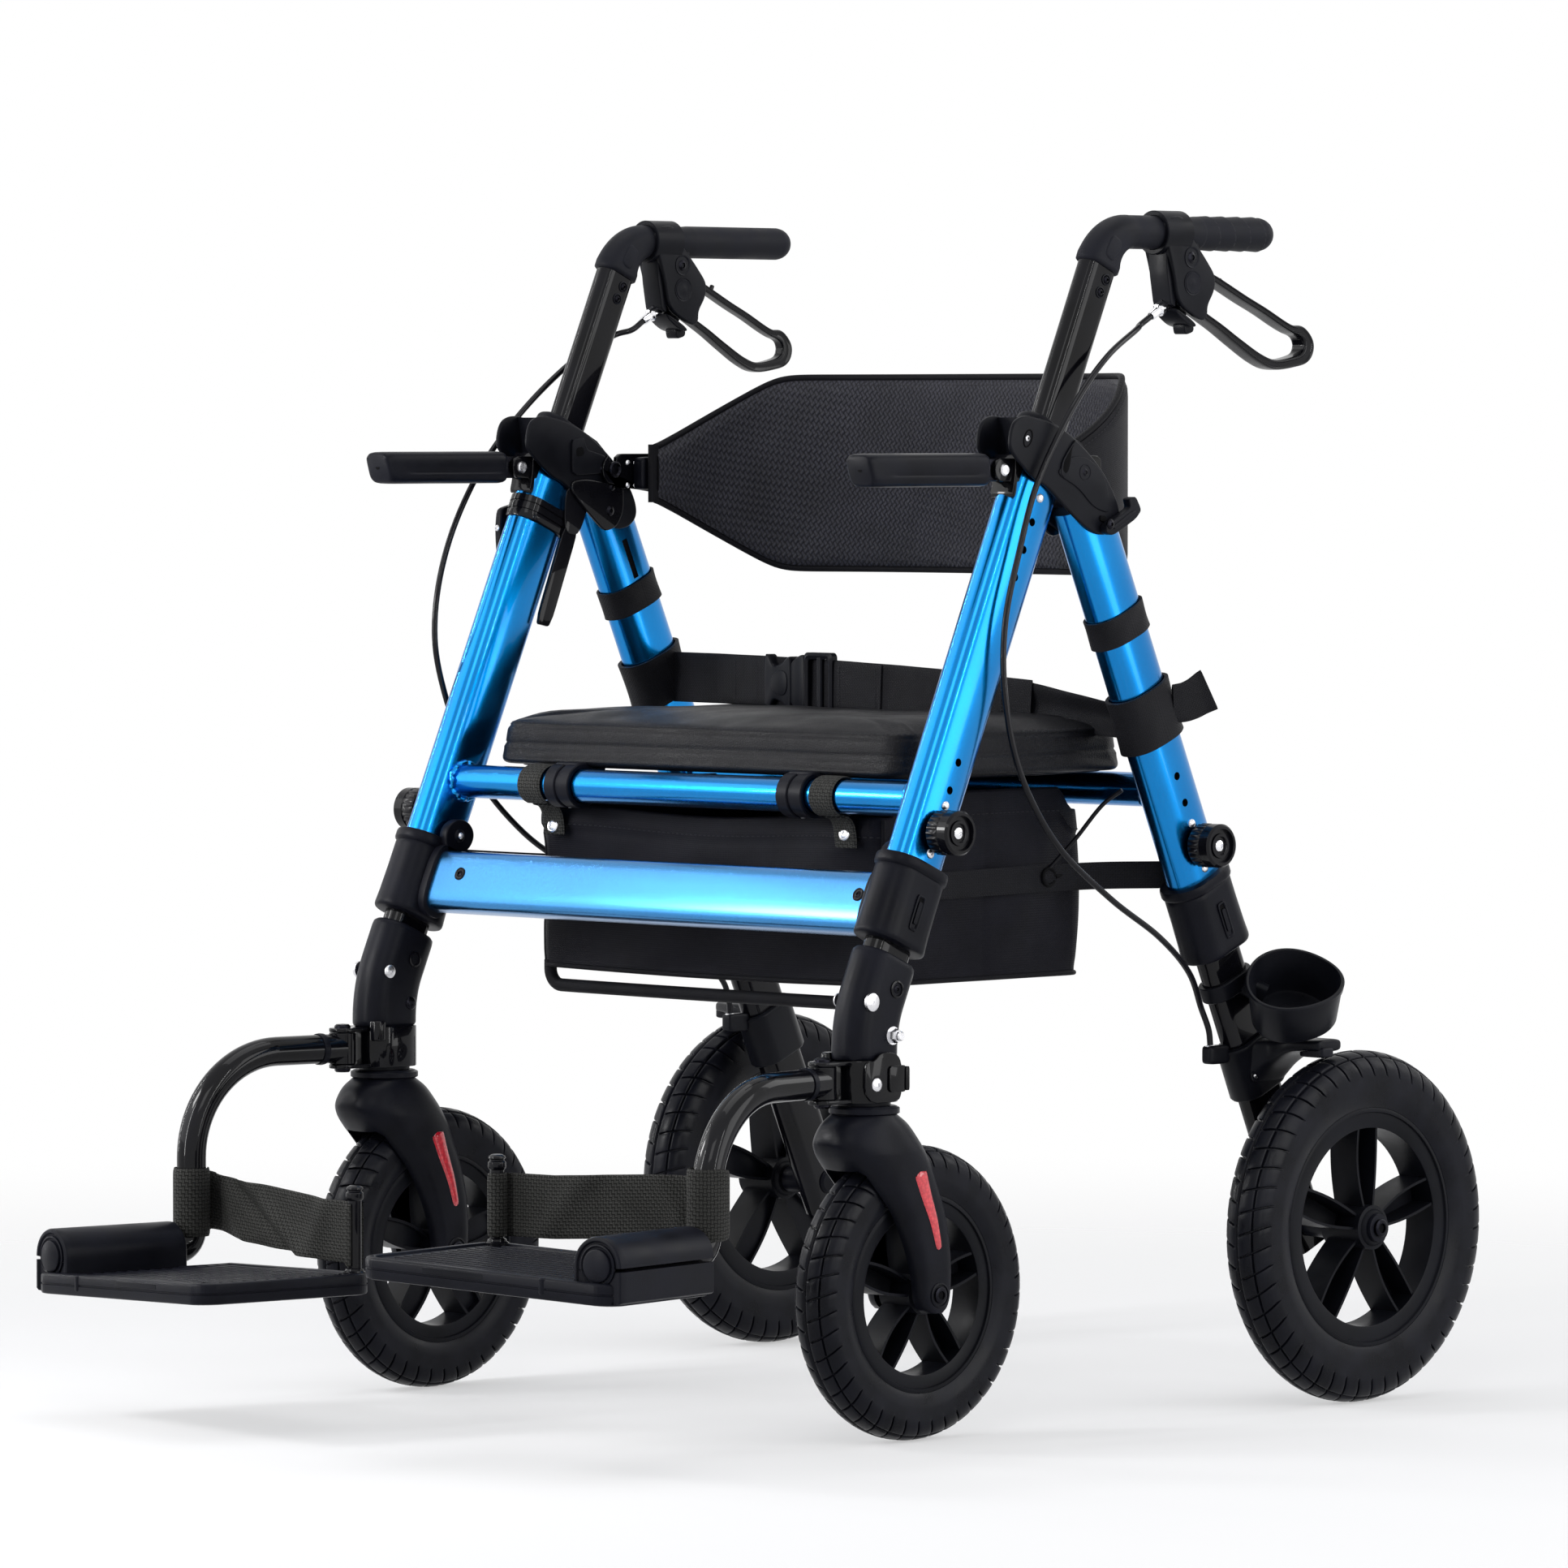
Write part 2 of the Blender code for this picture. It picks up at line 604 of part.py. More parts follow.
def blend_outlines(first, second, share):
    return [(a + (c - a) * share, b + (d - b) * share) for (a, b), (c, d) in zip(first, second)]


def handles():
    """The telescopic handle tubes with their rubber elbows and grips."""
    bend = handle_path()
    x = FRAME_HALF_WIDTH
    grip_z = HANDLE_CORNER_Z
    oval = stadium(HANDLE_TUBE_DEPTH, HANDLE_TUBE_WIDTH)
    round_tube = circle(GRIP_TUBE_RADIUS)
    tube_end = Vector((x, GRIP_END_Y - GRIP_RADIUS - GRIP_WALL, grip_z))
    bottom = Vector((x, front_y(HANDLE_TUBE_BOTTOM_Z), HANDLE_TUBE_BOTTOM_Z))
    path = [bottom] + bend + [tube_end]
    share = [0.0] + [k / (len(bend) - 1) for k in range(len(bend))] + [1.0]
    outlines = [blend_outlines(oval, round_tube, s) for s in share]
    tube = loft(sweep_rings(path, outlines, ACROSS))
    pair(tube, "handle_tube", "gloss_black")

    start = Vector((x, front_y(GRIP_SLEEVE_START_Z), GRIP_SLEEVE_START_Z))
    if start.z > bend[0].z:
        start = bend[0] - FRONT_LEG_AXIS * GRIP_WALL
    inner_path = [start] + bend + [tube_end + Vector((0, GAP, 0))]
    inner_share = [0.0] + share[1:-1] + [1.0]
    inner_oval = stadium(HANDLE_TUBE_DEPTH + 2 * GAP, HANDLE_TUBE_WIDTH + 2 * GAP)
    inner_round = circle(GRIP_TUBE_RADIUS + GAP)
    inner = sweep_rings(inner_path, [blend_outlines(inner_oval, inner_round, s) for s in inner_share],
                        ACROSS)
    outer_oval = stadium(HANDLE_TUBE_DEPTH + 2 * GRIP_WALL, HANDLE_TUBE_WIDTH + 2 * GRIP_WALL)
    outer_round = circle(GRIP_RADIUS)
    shoulder = Vector((x, GRIP_END_Y - 0.4 * GRIP_RADIUS, grip_z))
    outer_path = [start] + bend + [shoulder]
    outer = sweep_rings(outer_path, [blend_outlines(outer_oval, outer_round, s) for s in inner_share],
                        ACROSS)
    along = Vector((0, 1, 0))
    dome = [ring((x, GRIP_END_Y - GRIP_RADIUS * 0.1, grip_z), circle(GRIP_RADIUS * 0.82), along, ACROSS),
            ring((x, GRIP_END_Y, grip_z), circle(GRIP_RADIUS * 0.45), along, ACROSS)]
    grip = loft(list(reversed(inner)) + outer + dome)
    pair(grip, "hand_grip", "grip_rubber")


def lever_outlines():
    """The brake lever seen from the side: its outer edge and the opening for the fingers. Points
    are shares of the lever's length, back and up from its pin."""
    y, z = BRAKE_PIVOT
    outer = [(0.031, 0.065), (0.200, 0.008), (0.631, -0.169), (0.754, -0.212), (0.854, -0.181),
             (0.954, -0.200), (1.000, -0.269), (0.969, -0.354), (0.831, -0.431), (0.631, -0.477),
             (0.523, -0.454), (0.092, -0.254), (-0.031, -0.154), (-0.065, -0.023), (-0.046, 0.046)]
    inner = [(0.208, -0.054), (0.600, -0.208), (0.708, -0.254), (0.846, -0.246), (0.915, -0.277),
             (0.900, -0.338), (0.800, -0.392), (0.646, -0.427), (0.554, -0.408), (0.200, -0.231),
             (0.162, -0.138)]
    outer, inner = [[(y + a * LEVER_LENGTH, z + b * LEVER_LENGTH) for a, b in outline]
                    for outline in (outer, inner)]
    return outer, inner


def brakes():
    """The brake housings clamped on the grips, with their loop levers."""
    for side, shift in CLAMP_SHIFT.items():
        housing, lever = brake_side()
        for body in (housing, lever):
            body.data.transform(Matrix.Translation((0, shift, 0)))
        pivot = (FRAME_HALF_WIDTH, BRAKE_PIVOT[0] + shift, BRAKE_PIVOT[1])
        for body, name, material, origin in ((housing, "brake_housing_", "moulded_black", (0, 0, 0)),
                                             (lever, "brake_lever_", "gloss_plastic", pivot)):
            finish(body, name + side, material, origin)
            if side == "right":
                to_right_hand(body)


def brake_side():
    """One brake in its left-hand place: housing and lever."""
    x = FRAME_HALF_WIDTH
    grip_z = HANDLE_CORNER_Z
    y, z = BRAKE_PIVOT
    along = Vector((0, 1, 0))
    body = loft([ring((x, CLAMP_START_Y + d, grip_z), circle(GRIP_RADIUS + GAP + CLAMP_WALL), along, ACROSS)
                 for d in (0, CLAMP_LENGTH)])
    case = [(y - 0.024, grip_z - 0.006), (y - 0.022, z + 0.010), (y - 0.018, z - 0.013),
            (y + 0.007, z - 0.026), (y + 0.016, z - 0.018), (y + 0.022, z + 0.002),
            (y + 0.014, z + 0.022), (y + 0.012, grip_z - 0.006)]
    join(body, prism(case, x - BRAKE_HALF_WIDTH, x + BRAKE_HALF_WIDTH))
    pivot_gap = LEVER_HALF_WIDTH + LEVER_SLOT_CLEARANCE
    slot = [(y - 0.0125, z - 0.010), (y - 0.0125, z + 0.008), (y - 0.004, z + 0.0135),
            (y + 0.040, z + 0.0135), (y + 0.040, z - 0.034), (y - 0.004, z - 0.034)]
    cut(body, prism(slot, x - pivot_gap, x + pivot_gap),
        rod((x, 0, grip_z), (x, 1, grip_z), 0, TUBE_POINTS, ACROSS, bore(GRIP_RADIUS + GAP)))
    join(body, rod((x - BRAKE_HALF_WIDTH + 0.001, y, z), (x + BRAKE_HALF_WIDTH - 0.001, y, z),
                   BRAKE_PIN_RADIUS, 12))
    ferrule_start, ferrule_end = cable_ferrule()
    join(body, rod(ferrule_start, ferrule_end, CABLE_DIAMETER * 0.9, 10))

    outer, inner = lever_outlines()
    lever = prism(outer, x - LEVER_HALF_WIDTH, x + LEVER_HALF_WIDTH)
    cut(lever, prism(inner, x - 2 * LEVER_HALF_WIDTH, x + 2 * LEVER_HALF_WIDTH),
        rod((x - 2 * LEVER_HALF_WIDTH, y, z), (x + 2 * LEVER_HALF_WIDTH, y, z), 0, 12,
            outline=bore(BRAKE_PIN_RADIUS + RUNNING, 12)))
    return body, lever


def cable_ferrule():
    """The silver adjuster in front of a brake housing, from its root to its free end."""
    y, z = BRAKE_PIVOT
    root = Vector((FRAME_HALF_WIDTH, y - 0.014, z - 0.012))
    return root, root + Vector((0, -0.016, -0.009))


# The cables' routes: points (outside the side frame's axis, y, z) from below the ferrule to the lug on
# the rear collar
CABLE_POINTS = {
    "left": [(0.006, 0.145, 0.791), (0.019, 0.100, 0.771), (0.024, 0.062, 0.738), (0.0235, 0.024, 0.683),
             (0.023, 0.004, 0.630), (0.023, -0.010, 0.580), (0.023, -0.010, 0.530), (0.023, 0.006, 0.473),
             (0.023, 0.045, 0.420), (0.023, 0.100, 0.380), (0.020, 0.155, 0.350), (0.010, 0.198, 0.322)],
    "right": [(0.007, 0.112, 0.789), (0.018, 0.080, 0.769), (0.024, 0.036, 0.733), (0.025, -0.006, 0.690),
              (0.024, -0.040, 0.636), (0.023, -0.056, 0.580), (0.023, -0.050, 0.530), (0.023, -0.018, 0.463),
              (0.023, 0.035, 0.412), (0.023, 0.098, 0.378), (0.020, 0.155, 0.350), (0.010, 0.198, 0.322)],
}


def smooth_path(points, steps):
    """A Catmull-Rom curve through hand-placed points."""
    points = [Vector(p) for p in points]
    ends = [2 * points[0] - points[1]] + points + [2 * points[-1] - points[-2]]
    path = []
    for i in range(1, len(ends) - 2):
        a, b, c, d = ends[i - 1:i + 3]
        for k in range(steps):
            t = k / steps
            path.append(0.5 * ((2 * b) + (c - a) * t + (2 * a - 5 * b + 4 * c - d) * t * t
                               + (3 * b - a - 3 * c + d) * t * t * t))
    path.append(points[-1])
    return path


def brake_cables():
    """The Bowden cables, from the brake housings to the rear wheels."""
    for side, sign in (("left", 1), ("right", -1)):
        start, end = cable_ferrule()
        out = (end - start).normalized()
        first = end + out * GAP + Vector((0, CLAMP_SHIFT[side], 0))
        lug = cable_lug_top()
        points = [first, first + out * 3 * CABLE_DIAMETER]
        points += [Vector((FRAME_HALF_WIDTH + a, y, z)) for a, y, z in CABLE_POINTS[side]]
        points += [lug + Vector((0, -0.010, 0.028)), lug + Vector((0, -0.002, 0.012)),
                   lug + Vector((0, 0, GAP))]
        path = smooth_path(points, 3)
        curve = bpy.data.curves.new("brake_cable_" + side, "CURVE")
        curve.dimensions = "3D"
        curve.bevel_depth = CABLE_DIAMETER / 2
        curve.bevel_resolution = 2
        curve.use_fill_caps = True
        spline = curve.splines.new("POLY")
        spline.points.add(len(path) - 1)
        for point, p in zip(spline.points, path):
            point.co = (sign * p.x, p.y, p.z, 1)
        cable = bpy.data.objects.new("brake_cable_" + side, curve)
        curve.materials.append(bpy.data.materials["gloss_plastic"])
        bpy.context.scene.collection.objects.link(cable)


# Upper brackets, armrests and backrest

def armrest_pin():
    return Vector((FRAME_HALF_WIDTH, front_y(ARMREST_Z) - ARMREST_HINGE_AHEAD, ARMREST_Z))


def upper_brackets():
    """The moulded joint at the top of each side frame. It holds the front leg, takes the handle
    tube through its top, carries the fold pin and the pins of the armrest and backrest."""
    x = FRAME_HALF_WIDTH
    half = LEG_WIDTH / 2 + GAP + BRACKET_CHEEK
    depth = LEG_DEPTH + 2 * BRACKET_WALL
    shell = stadium(depth, 2 * half)
    body = loft([front_ring(z, shell) for z in (BRACKET_SLEEVE_BOTTOM_Z, BRACKET_TOP_Z)])
    y, z = FOLD_PIVOT_Y, FOLD_PIVOT_Z
    arm = [(y - 0.078, z + 0.075), (y - 0.045, z + 0.069), (y - 0.020, z + 0.056),
           (y - 0.002, z + 0.040), (y + 0.012, z + 0.022), (y + 0.022, z + 0.006),
           (y + 0.024, z - 0.007), (y + 0.014, z - 0.015), (y - 0.004, z - 0.014),
           (y - 0.024, z - 0.004), (y - 0.050, z + 0.012), (y - 0.074, z + 0.026)]
    join(body, prism(arm, x - half, x + half))
    pin = armrest_pin()
    ear_out = ARMREST_LUG_WIDTH / 2 + GAP + ARMREST_EAR
    ear = arc((pin.y, pin.z), 0.0085, 110, 250, 5) + [(pin.y + 0.026, pin.z - 0.0085),
                                                      (pin.y + 0.030, pin.z + 0.006)]
    join(body, prism(ear, x - ear_out, x + ear_out))
    lug_half = ARMREST_LUG_WIDTH / 2 + GAP
    lug_slot = [(pin.y - 0.020, pin.z - 0.020), (pin.y + 0.0092, pin.z - 0.020),
                (pin.y + 0.0092, pin.z + 0.030), (pin.y - 0.020, pin.z + 0.030)]
    cut(body, prism(lug_slot, x - lug_half, x + lug_half))
    leg_bore = stadium(LEG_DEPTH + 2 * GAP, LEG_WIDTH + 2 * GAP)
    tube_bore = stadium(HANDLE_TUBE_DEPTH + 2 * GAP, HANDLE_TUBE_WIDTH + 2 * GAP)
    top_of_leg = FRONT_LEG_TOP_Z + GAP
    cut(body, loft([front_ring(top, leg_bore) for top in (BRACKET_SLEEVE_BOTTOM_Z - 0.06, top_of_leg)]),
        loft([front_ring(top, tube_bore) for top in (top_of_leg - 0.004, BRACKET_TOP_Z + 0.03)]))
    swing = LEG_DEPTH / 2 + 0.004
    slot_half = LEG_WIDTH / 2 + GAP
    slot = arc((y, z), swing, 15, 165, 8) + [(y - swing - 0.004, z - 0.060), (y + swing + 0.02, z - 0.060)]
    cut(body, prism(slot, x - slot_half, x + slot_half))
    join(body, rod((x - half + 0.001, y, z), (x + half - 0.001, y, z), FOLD_PIN_RADIUS, 12),
         rod((x - ear_out + 0.001, pin.y, pin.z), (x + ear_out - 0.001, pin.y, pin.z),
             ARMREST_PIN_RADIUS, 12),
         rod((x - half + 0.002, *BACKREST_PIVOT),
             (x - half - BACKREST_CLIP_WALL - 2 * GAP - 0.002, *BACKREST_PIVOT), BACKREST_PIN_RADIUS, 12),
         rod((x - half - BACKREST_CLIP_WALL - 2 * GAP, *BACKREST_PIVOT),
             (x - half - BACKREST_CLIP_WALL - 2 * GAP - 0.0025, *BACKREST_PIVOT),
             BACKREST_PIN_RADIUS * 1.6, 12))
    pair(body, "upper_bracket", "moulded_black")


def armrests():
    """The padded bars that fold up in front of the brackets."""
    pin = armrest_pin()
    x = FRAME_HALF_WIDTH
    along = Vector((0, -1, 0))
    sections = [(0.0165, 0.90), (0.020, 1.0), (ARMREST_LENGTH - 0.014, 1.0), (ARMREST_LENGTH - 0.004, 0.88),
                (ARMREST_LENGTH, 0.62)]
    body = loft([ring((x, pin.y - d, pin.z), soft_square(ARMREST_HEIGHT * s, ARMREST_WIDTH * s, 3.2),
                      along, ACROSS) for d, s in sections])
    lug = arc((pin.y, pin.z), 0.0080, 100, -100, 8)
    lug = [(pin.y - 0.022, pin.z + 0.0080)] + lug + [(pin.y - 0.022, pin.z - 0.0080)]
    half = ARMREST_LUG_WIDTH / 2
    join(body, prism(lug, x - half, x + half))
    cut(body, rod((x - 0.02, pin.y, pin.z), (x + 0.02, pin.y, pin.z), 0, 12,
                  outline=bore(ARMREST_PIN_RADIUS + RUNNING, 12)))
    pair(body, "armrest", "moulded_black", tuple(pin))


def backrest_plan(share):
    """Middle of the band seen from above: a flattened half oval from one clip to the other."""
    angle = math.pi * share
    x = BACKREST_HALF_WIDTH * math.copysign(abs(math.cos(angle)) ** 0.70, math.cos(angle))
    y = BACKREST_PIVOT_Y + BACKREST_START + (BACKREST_DEPTH - BACKREST_START) * math.sin(angle) ** 0.86
    return Vector((x, y, 0))


def backrest():
    """The fabric band and the two clips that it turns on."""
    stations = 20
    shares = [k / stations for k in range(stations + 1)]
    rings = []
    for k, share in enumerate(shares):
        before = backrest_plan(max(share - 0.01, 0.0))
        after = backrest_plan(min(share + 0.01, 1.0))
        along = (after - before).normalized()
        from_end = min(share, 1 - share) / 0.26
        rise = min(from_end, 1.0)
        height = BACKREST_END_HEIGHT + (BACKREST_HEIGHT - BACKREST_END_HEIGHT) * rise
        centre = backrest_plan(share) + UP * BACKREST_MIDDLE_Z
        outline = soft_square(height, BACKREST_THICKNESS, 5.0, 10)
        rings.append(ring(centre, outline, along, along.cross(UP)))
    band = loft(rings)
    finish(band, "backrest_band", "mesh_fabric", (0, *BACKREST_PIVOT), 60)

    half = LEG_WIDTH / 2 + GAP + BRACKET_CHEEK
    outer = FRAME_HALF_WIDTH - half - GAP
    inner = outer - BACKREST_CLIP_WALL
    y, z = BACKREST_PIVOT
    tall = BACKREST_CLIP_HEIGHT / 2
    plate = arc((y, z), tall * 0.8, 120, 240, 6)
    plate += [(y + 0.016, BACKREST_MIDDLE_Z - tall), (y + 0.046, BACKREST_MIDDLE_Z - tall),
              (y + 0.046, BACKREST_MIDDLE_Z + tall), (y + 0.016, BACKREST_MIDDLE_Z + tall)]
    clip = prism(plate, inner, outer)
    band_outside = BACKREST_HALF_WIDTH + BACKREST_THICKNESS / 2 + GAP
    join(clip, box((band_outside, y + 0.020, BACKREST_MIDDLE_Z - tall * 0.8),
                   (inner + 0.001, y + 0.044, BACKREST_MIDDLE_Z + tall * 0.8)))
    cut(clip, rod((inner - 0.01, y, z), (outer + 0.01, y, z), 0, 12,
                  outline=bore(BACKREST_PIN_RADIUS + RUNNING, 12)))
    pair(clip, "backrest_clip", "moulded_black", (FRAME_HALF_WIDTH, y, z))


# Seat, bag and belt

def rounded_plan(half_x, low_y, high_y, corner, per_corner=5):
    """A rectangle with round corners, seen from above."""
    outline = []
    for cx, cy, start in ((half_x - corner, high_y - corner, 0), (corner - half_x, high_y - corner, 90),
                          (corner - half_x, low_y + corner, 180), (half_x - corner, low_y + corner, 270)):
        outline += arc((cx, cy), corner, start, start + 90, per_corner - 1)
    return outline


def seat():
    """The padded seat on its board, which turns on the front seat bar."""
    crown_rings = 4
    levels = [(0.004, 0.0), (0.001, 0.004), (0.0, 0.011), (0.0015, 0.0135), (0.0, 0.016),
              (0.0, 0.026), (0.003, 0.0315), (0.010, CUSHION_THICKNESS)]
    rings = []
    for inset, height in levels:
        plan = rounded_plan(SEAT_HALF_WIDTH - inset, SEAT_FRONT_Y + inset, SEAT_REAR_Y - inset,
                            CUSHION_CORNER - inset)
        rings.append([Vector((x, y, CUSHION_Z + height)) for x, y in plan])
    middle = Vector((0, (SEAT_FRONT_Y + SEAT_REAR_Y) / 2, CUSHION_Z + CUSHION_THICKNESS))
    edge = rings[-1]
    for k in range(1, crown_rings + 1):
        share = k / (crown_rings + 0.5)
        lift = CUSHION_CROWN * math.sin(share * math.pi / 2)
        rings.append([p + (middle - p) * share + UP * lift for p in edge])
    cushion = loft(rings)
    finish(cushion, "seat_cushion", "leather_black", (0, SEAT_BAR_Y, SEAT_BAR_Z), 50)

    plan = rounded_plan(SEAT_HALF_WIDTH - SEAT_BASE_INSET, SEAT_FRONT_Y + 0.002,
                        SEAT_BASE_REAR_Y, CUSHION_CORNER - SEAT_BASE_INSET, 4)
    board = upright_prism(plan, SEAT_BASE_Z, SEAT_BASE_Z + SEAT_BASE_THICKNESS)
    for side in (1, -1):
        middle_x = side * SEAT_CLIP_X
        ends = (middle_x - SEAT_CLIP_WIDTH / 2, middle_x + SEAT_CLIP_WIDTH / 2)
        join(board, box((ends[0], SEAT_BAR_Y, SEAT_BASE_Z + 0.0005),
                        (ends[1], SEAT_FRONT_Y + 0.012, SEAT_BAR_Z + SEAT_BAR_RADIUS + SEAT_CLIP_WALL)),
             loft([ring((end, SEAT_BAR_Y, SEAT_BAR_Z), circle(SEAT_BAR_RADIUS + SEAT_CLIP_WALL, 12),
                        ACROSS, UP) for end in ends]))
        cut(board, rod((ends[0] - 0.01, SEAT_BAR_Y, SEAT_BAR_Z), (ends[1] + 0.01, SEAT_BAR_Y, SEAT_BAR_Z),
                       0, 12, outline=bore(SEAT_BAR_RADIUS + GAP, 12)))
    finish(board, "seat_base", "moulded_black", (0, SEAT_BAR_Y, SEAT_BAR_Z))


def storage_bag():
    """The open bag under the seat, with its loops on the seat bar and the piped rod below it."""
    outer = rounded_plan(BAG_HALF_WIDTH, BAG_FRONT_Y, BAG_REAR_Y, 0.010, 2)
    inner = rounded_plan(BAG_HALF_WIDTH - BAG_WALL, BAG_FRONT_Y + BAG_WALL, BAG_REAR_Y - BAG_WALL,
                         0.007, 2)
    floor = BAG_BOTTOM_Z + BAG_WALL
    shell = loft([[Vector((x, y, z)) for x, y in plan] for plan, z in
                  ((outer, BAG_BOTTOM_Z), (outer, BAG_TOP_Z), (inner, BAG_TOP_Z), (inner, floor))])
    tab_rear = BAG_FRONT_Y + BAG_WALL / 2
    for side in (1, -1):
        ends = (side * BAG_LOOP_X - BAG_LOOP_WIDTH / 2, side * BAG_LOOP_X + BAG_LOOP_WIDTH / 2)
        reach = SEAT_BAR_RADIUS + GAP + BAG_LOOP_WALL
        join(shell, box((ends[0], SEAT_BAR_Y + 0.006, SEAT_BAR_Z - 0.022),
                        (ends[1], tab_rear, SEAT_BAR_Z - 0.016)),
             loft([ring((end, SEAT_BAR_Y, SEAT_BAR_Z), circle(reach, 12), ACROSS, UP) for end in ends]),
             box((ends[0], SEAT_BAR_Y + 0.006, SEAT_BAR_Z - 0.022),
                 (ends[1], SEAT_BAR_Y + 0.010, SEAT_BAR_Z - 0.006)))
        cut(shell, rod((ends[0] - 0.01, SEAT_BAR_Y, SEAT_BAR_Z), (ends[1] + 0.01, SEAT_BAR_Y, SEAT_BAR_Z),
                       0, 12, outline=bore(SEAT_BAR_RADIUS + GAP, 12)))
    rod_y = BAG_FRONT_Y + BAG_ROD_RADIUS
    rod_z = BAG_BOTTOM_Z - BAG_ROD_DROP
    edge = BAG_HALF_WIDTH - 2 * BAG_ROD_RADIUS
    corner = 0.012
    path = [Vector((-edge, rod_y, floor - BAG_WALL / 2))]
    path += [Vector((a, rod_y, b)) for a, b in arc((corner - edge, rod_z + corner), corner, 180, 270, 3)]
    path += [Vector((a, rod_y, b)) for a, b in arc((edge - corner, rod_z + corner), corner, 270, 360, 3)]
    path += [Vector((edge, rod_y, floor - BAG_WALL / 2))]
    outlines = [circle(BAG_ROD_RADIUS, 8)] * len(path)
    join(shell, loft(sweep_rings(path, outlines, Vector((0, 1, 0)))))
    finish(shell, "storage_bag", "bag_oxford")


def seat_belt():
    """The waist belt: a loop of webbing round each rear leg and the strap between them."""
    thick = BELT_THICKNESS
    rise = BELT_HEIGHT / 2 * math.cos(LEAN)
    bore_outline = stadium(LEG_DEPTH + 2 * GAP, LEG_WIDTH + 2 * GAP)
    loop_outline = stadium(LEG_DEPTH + 2 * GAP + 2 * thick, LEG_WIDTH + 2 * GAP + 2 * thick)
    loops = []
    for side, z in ((1, BELT_LEFT_Z), (-1, BELT_RIGHT_Z)):
        loop = loft([rear_ring(z + rise, loop_outline), rear_ring(z - rise, loop_outline),
                     rear_ring(z - rise, bore_outline), rear_ring(z + rise, bore_outline)], closed=True)
        if side < 0:
            to_right_hand(loop)
            loop = bpy.data.objects["body"]
        loop.name = "belt_loop"
        loops.append(loop)
    reach = FRAME_HALF_WIDTH - LEG_WIDTH / 2 - GAP - thick / 2
    stations = 16
    half = BELT_HEIGHT / 2 - 0.001
    rings = []
    for k in range(stations + 1):
        x = -reach + 2 * reach * k / stations
        share = x / reach
        level = (BELT_LEFT_Z * (1 + share) + BELT_RIGHT_Z * (1 - share)) / 2 + BELT_END_RISE
        z = level + BELT_ARCH * (1 - share ** 2)
        y = rear_y((BELT_LEFT_Z + BELT_RIGHT_Z) / 2 + BELT_END_RISE) - BELT_BOW * (1 - share ** 2)
        rings.append([Vector((x, y + a * thick / 2, z + b * half))
                      for a, b in ((-1, -1), (1, -1), (1, 1), (-1, 1))])
    strap = loft(rings)
    join(strap, *loops)
    finish(strap, "seat_belt", "webbing", (0, FOLD_PIVOT_Y, FOLD_PIVOT_Z))


# Wheels, casters and footrests

def turned(centre_x, y, z, profile, segments, closed):
    """A profile of (distance along X, radius) pairs turned round a wheel's axle."""
    outline = circle(1.0, segments)
    rings = [[Vector((centre_x + d, y + r * a, z + r * b)) for a, b in outline] for d, r in profile]
    return loft(rings, closed)


def tyre(centre_x, y, z, radius, half_width, inner):
    crown = half_width * 0.25
    bead = half_width * 0.74
    wall = radius - inner
    profile = [(-bead, inner), (-half_width, inner + wall * 0.50), (-half_width * 0.70, radius - wall * 0.09),
               (-crown, radius), (crown, radius), (half_width * 0.70, radius - wall * 0.09),
               (half_width, inner + wall * 0.50), (bead, inner)]
    return turned(centre_x, y, z, profile, WHEEL_SEGMENTS, True)


def rim(centre_x, y, z, outer, flange, half_width, hub_radius, hub_half, axle_radius):
    """A moulded wheel: a rim and a hub joined by channel-shaped spokes, open to the outside."""
    rim_half = half_width * 0.72
    ring_profile = [(-rim_half * 0.85, outer - flange), (-rim_half, outer), (rim_half, outer),
                    (rim_half * 0.85, outer - flange)]
    body = turned(centre_x, y, z, ring_profile, WHEEL_SEGMENTS, True)
    hub = turned(centre_x, y, z, [(-hub_half, hub_radius), (hub_half, hub_radius)], 14, False)
    width, wall, depth = hub_radius * 1.30, 0.0030, rim_half * 0.72
    start, end = hub_radius * 0.72, outer - flange * 0.55
    w, t = width / 2, width / 2 - wall
    section = [(-w, -depth), (w, -depth), (w, depth), (t, depth),
               (t, wall - depth), (-t, wall - depth), (-t, depth), (-w, depth)]
    for k in range(SPOKES):
        angle = 2 * math.pi * (k + 0.25) / SPOKES
        out = Vector((0, math.cos(angle), math.sin(angle)))
        side = Vector((0, -math.sin(angle), math.cos(angle)))
        middle = Vector((centre_x, y, z))
        join(hub, loft([[middle + out * r + side * a + ACROSS * b for a, b in section]
                        for r in (start, end)]))
    join(body, hub)
    cut(body, turned(centre_x, y, z, [(-0.05, bore_radius(axle_radius)), (0.05, bore_radius(axle_radius))],
                     12, False))
    return body


def bore_radius(axle_radius):
    return (axle_radius + RUNNING) / math.cos(math.pi / 12)


FRONT_RIM_RADIUS = 0.0775
REAR_RIM_RADIUS = 0.0960
RIM_FLANGE = 0.0130
FRONT_HUB_RADIUS = 0.0150
REAR_HUB_RADIUS = 0.0165
FRONT_HUB_HALF = FRONT_WHEEL_HALF_WIDTH + 0.0008
REAR_HUB_HALF = REAR_WHEEL_HALF_WIDTH + 0.0030


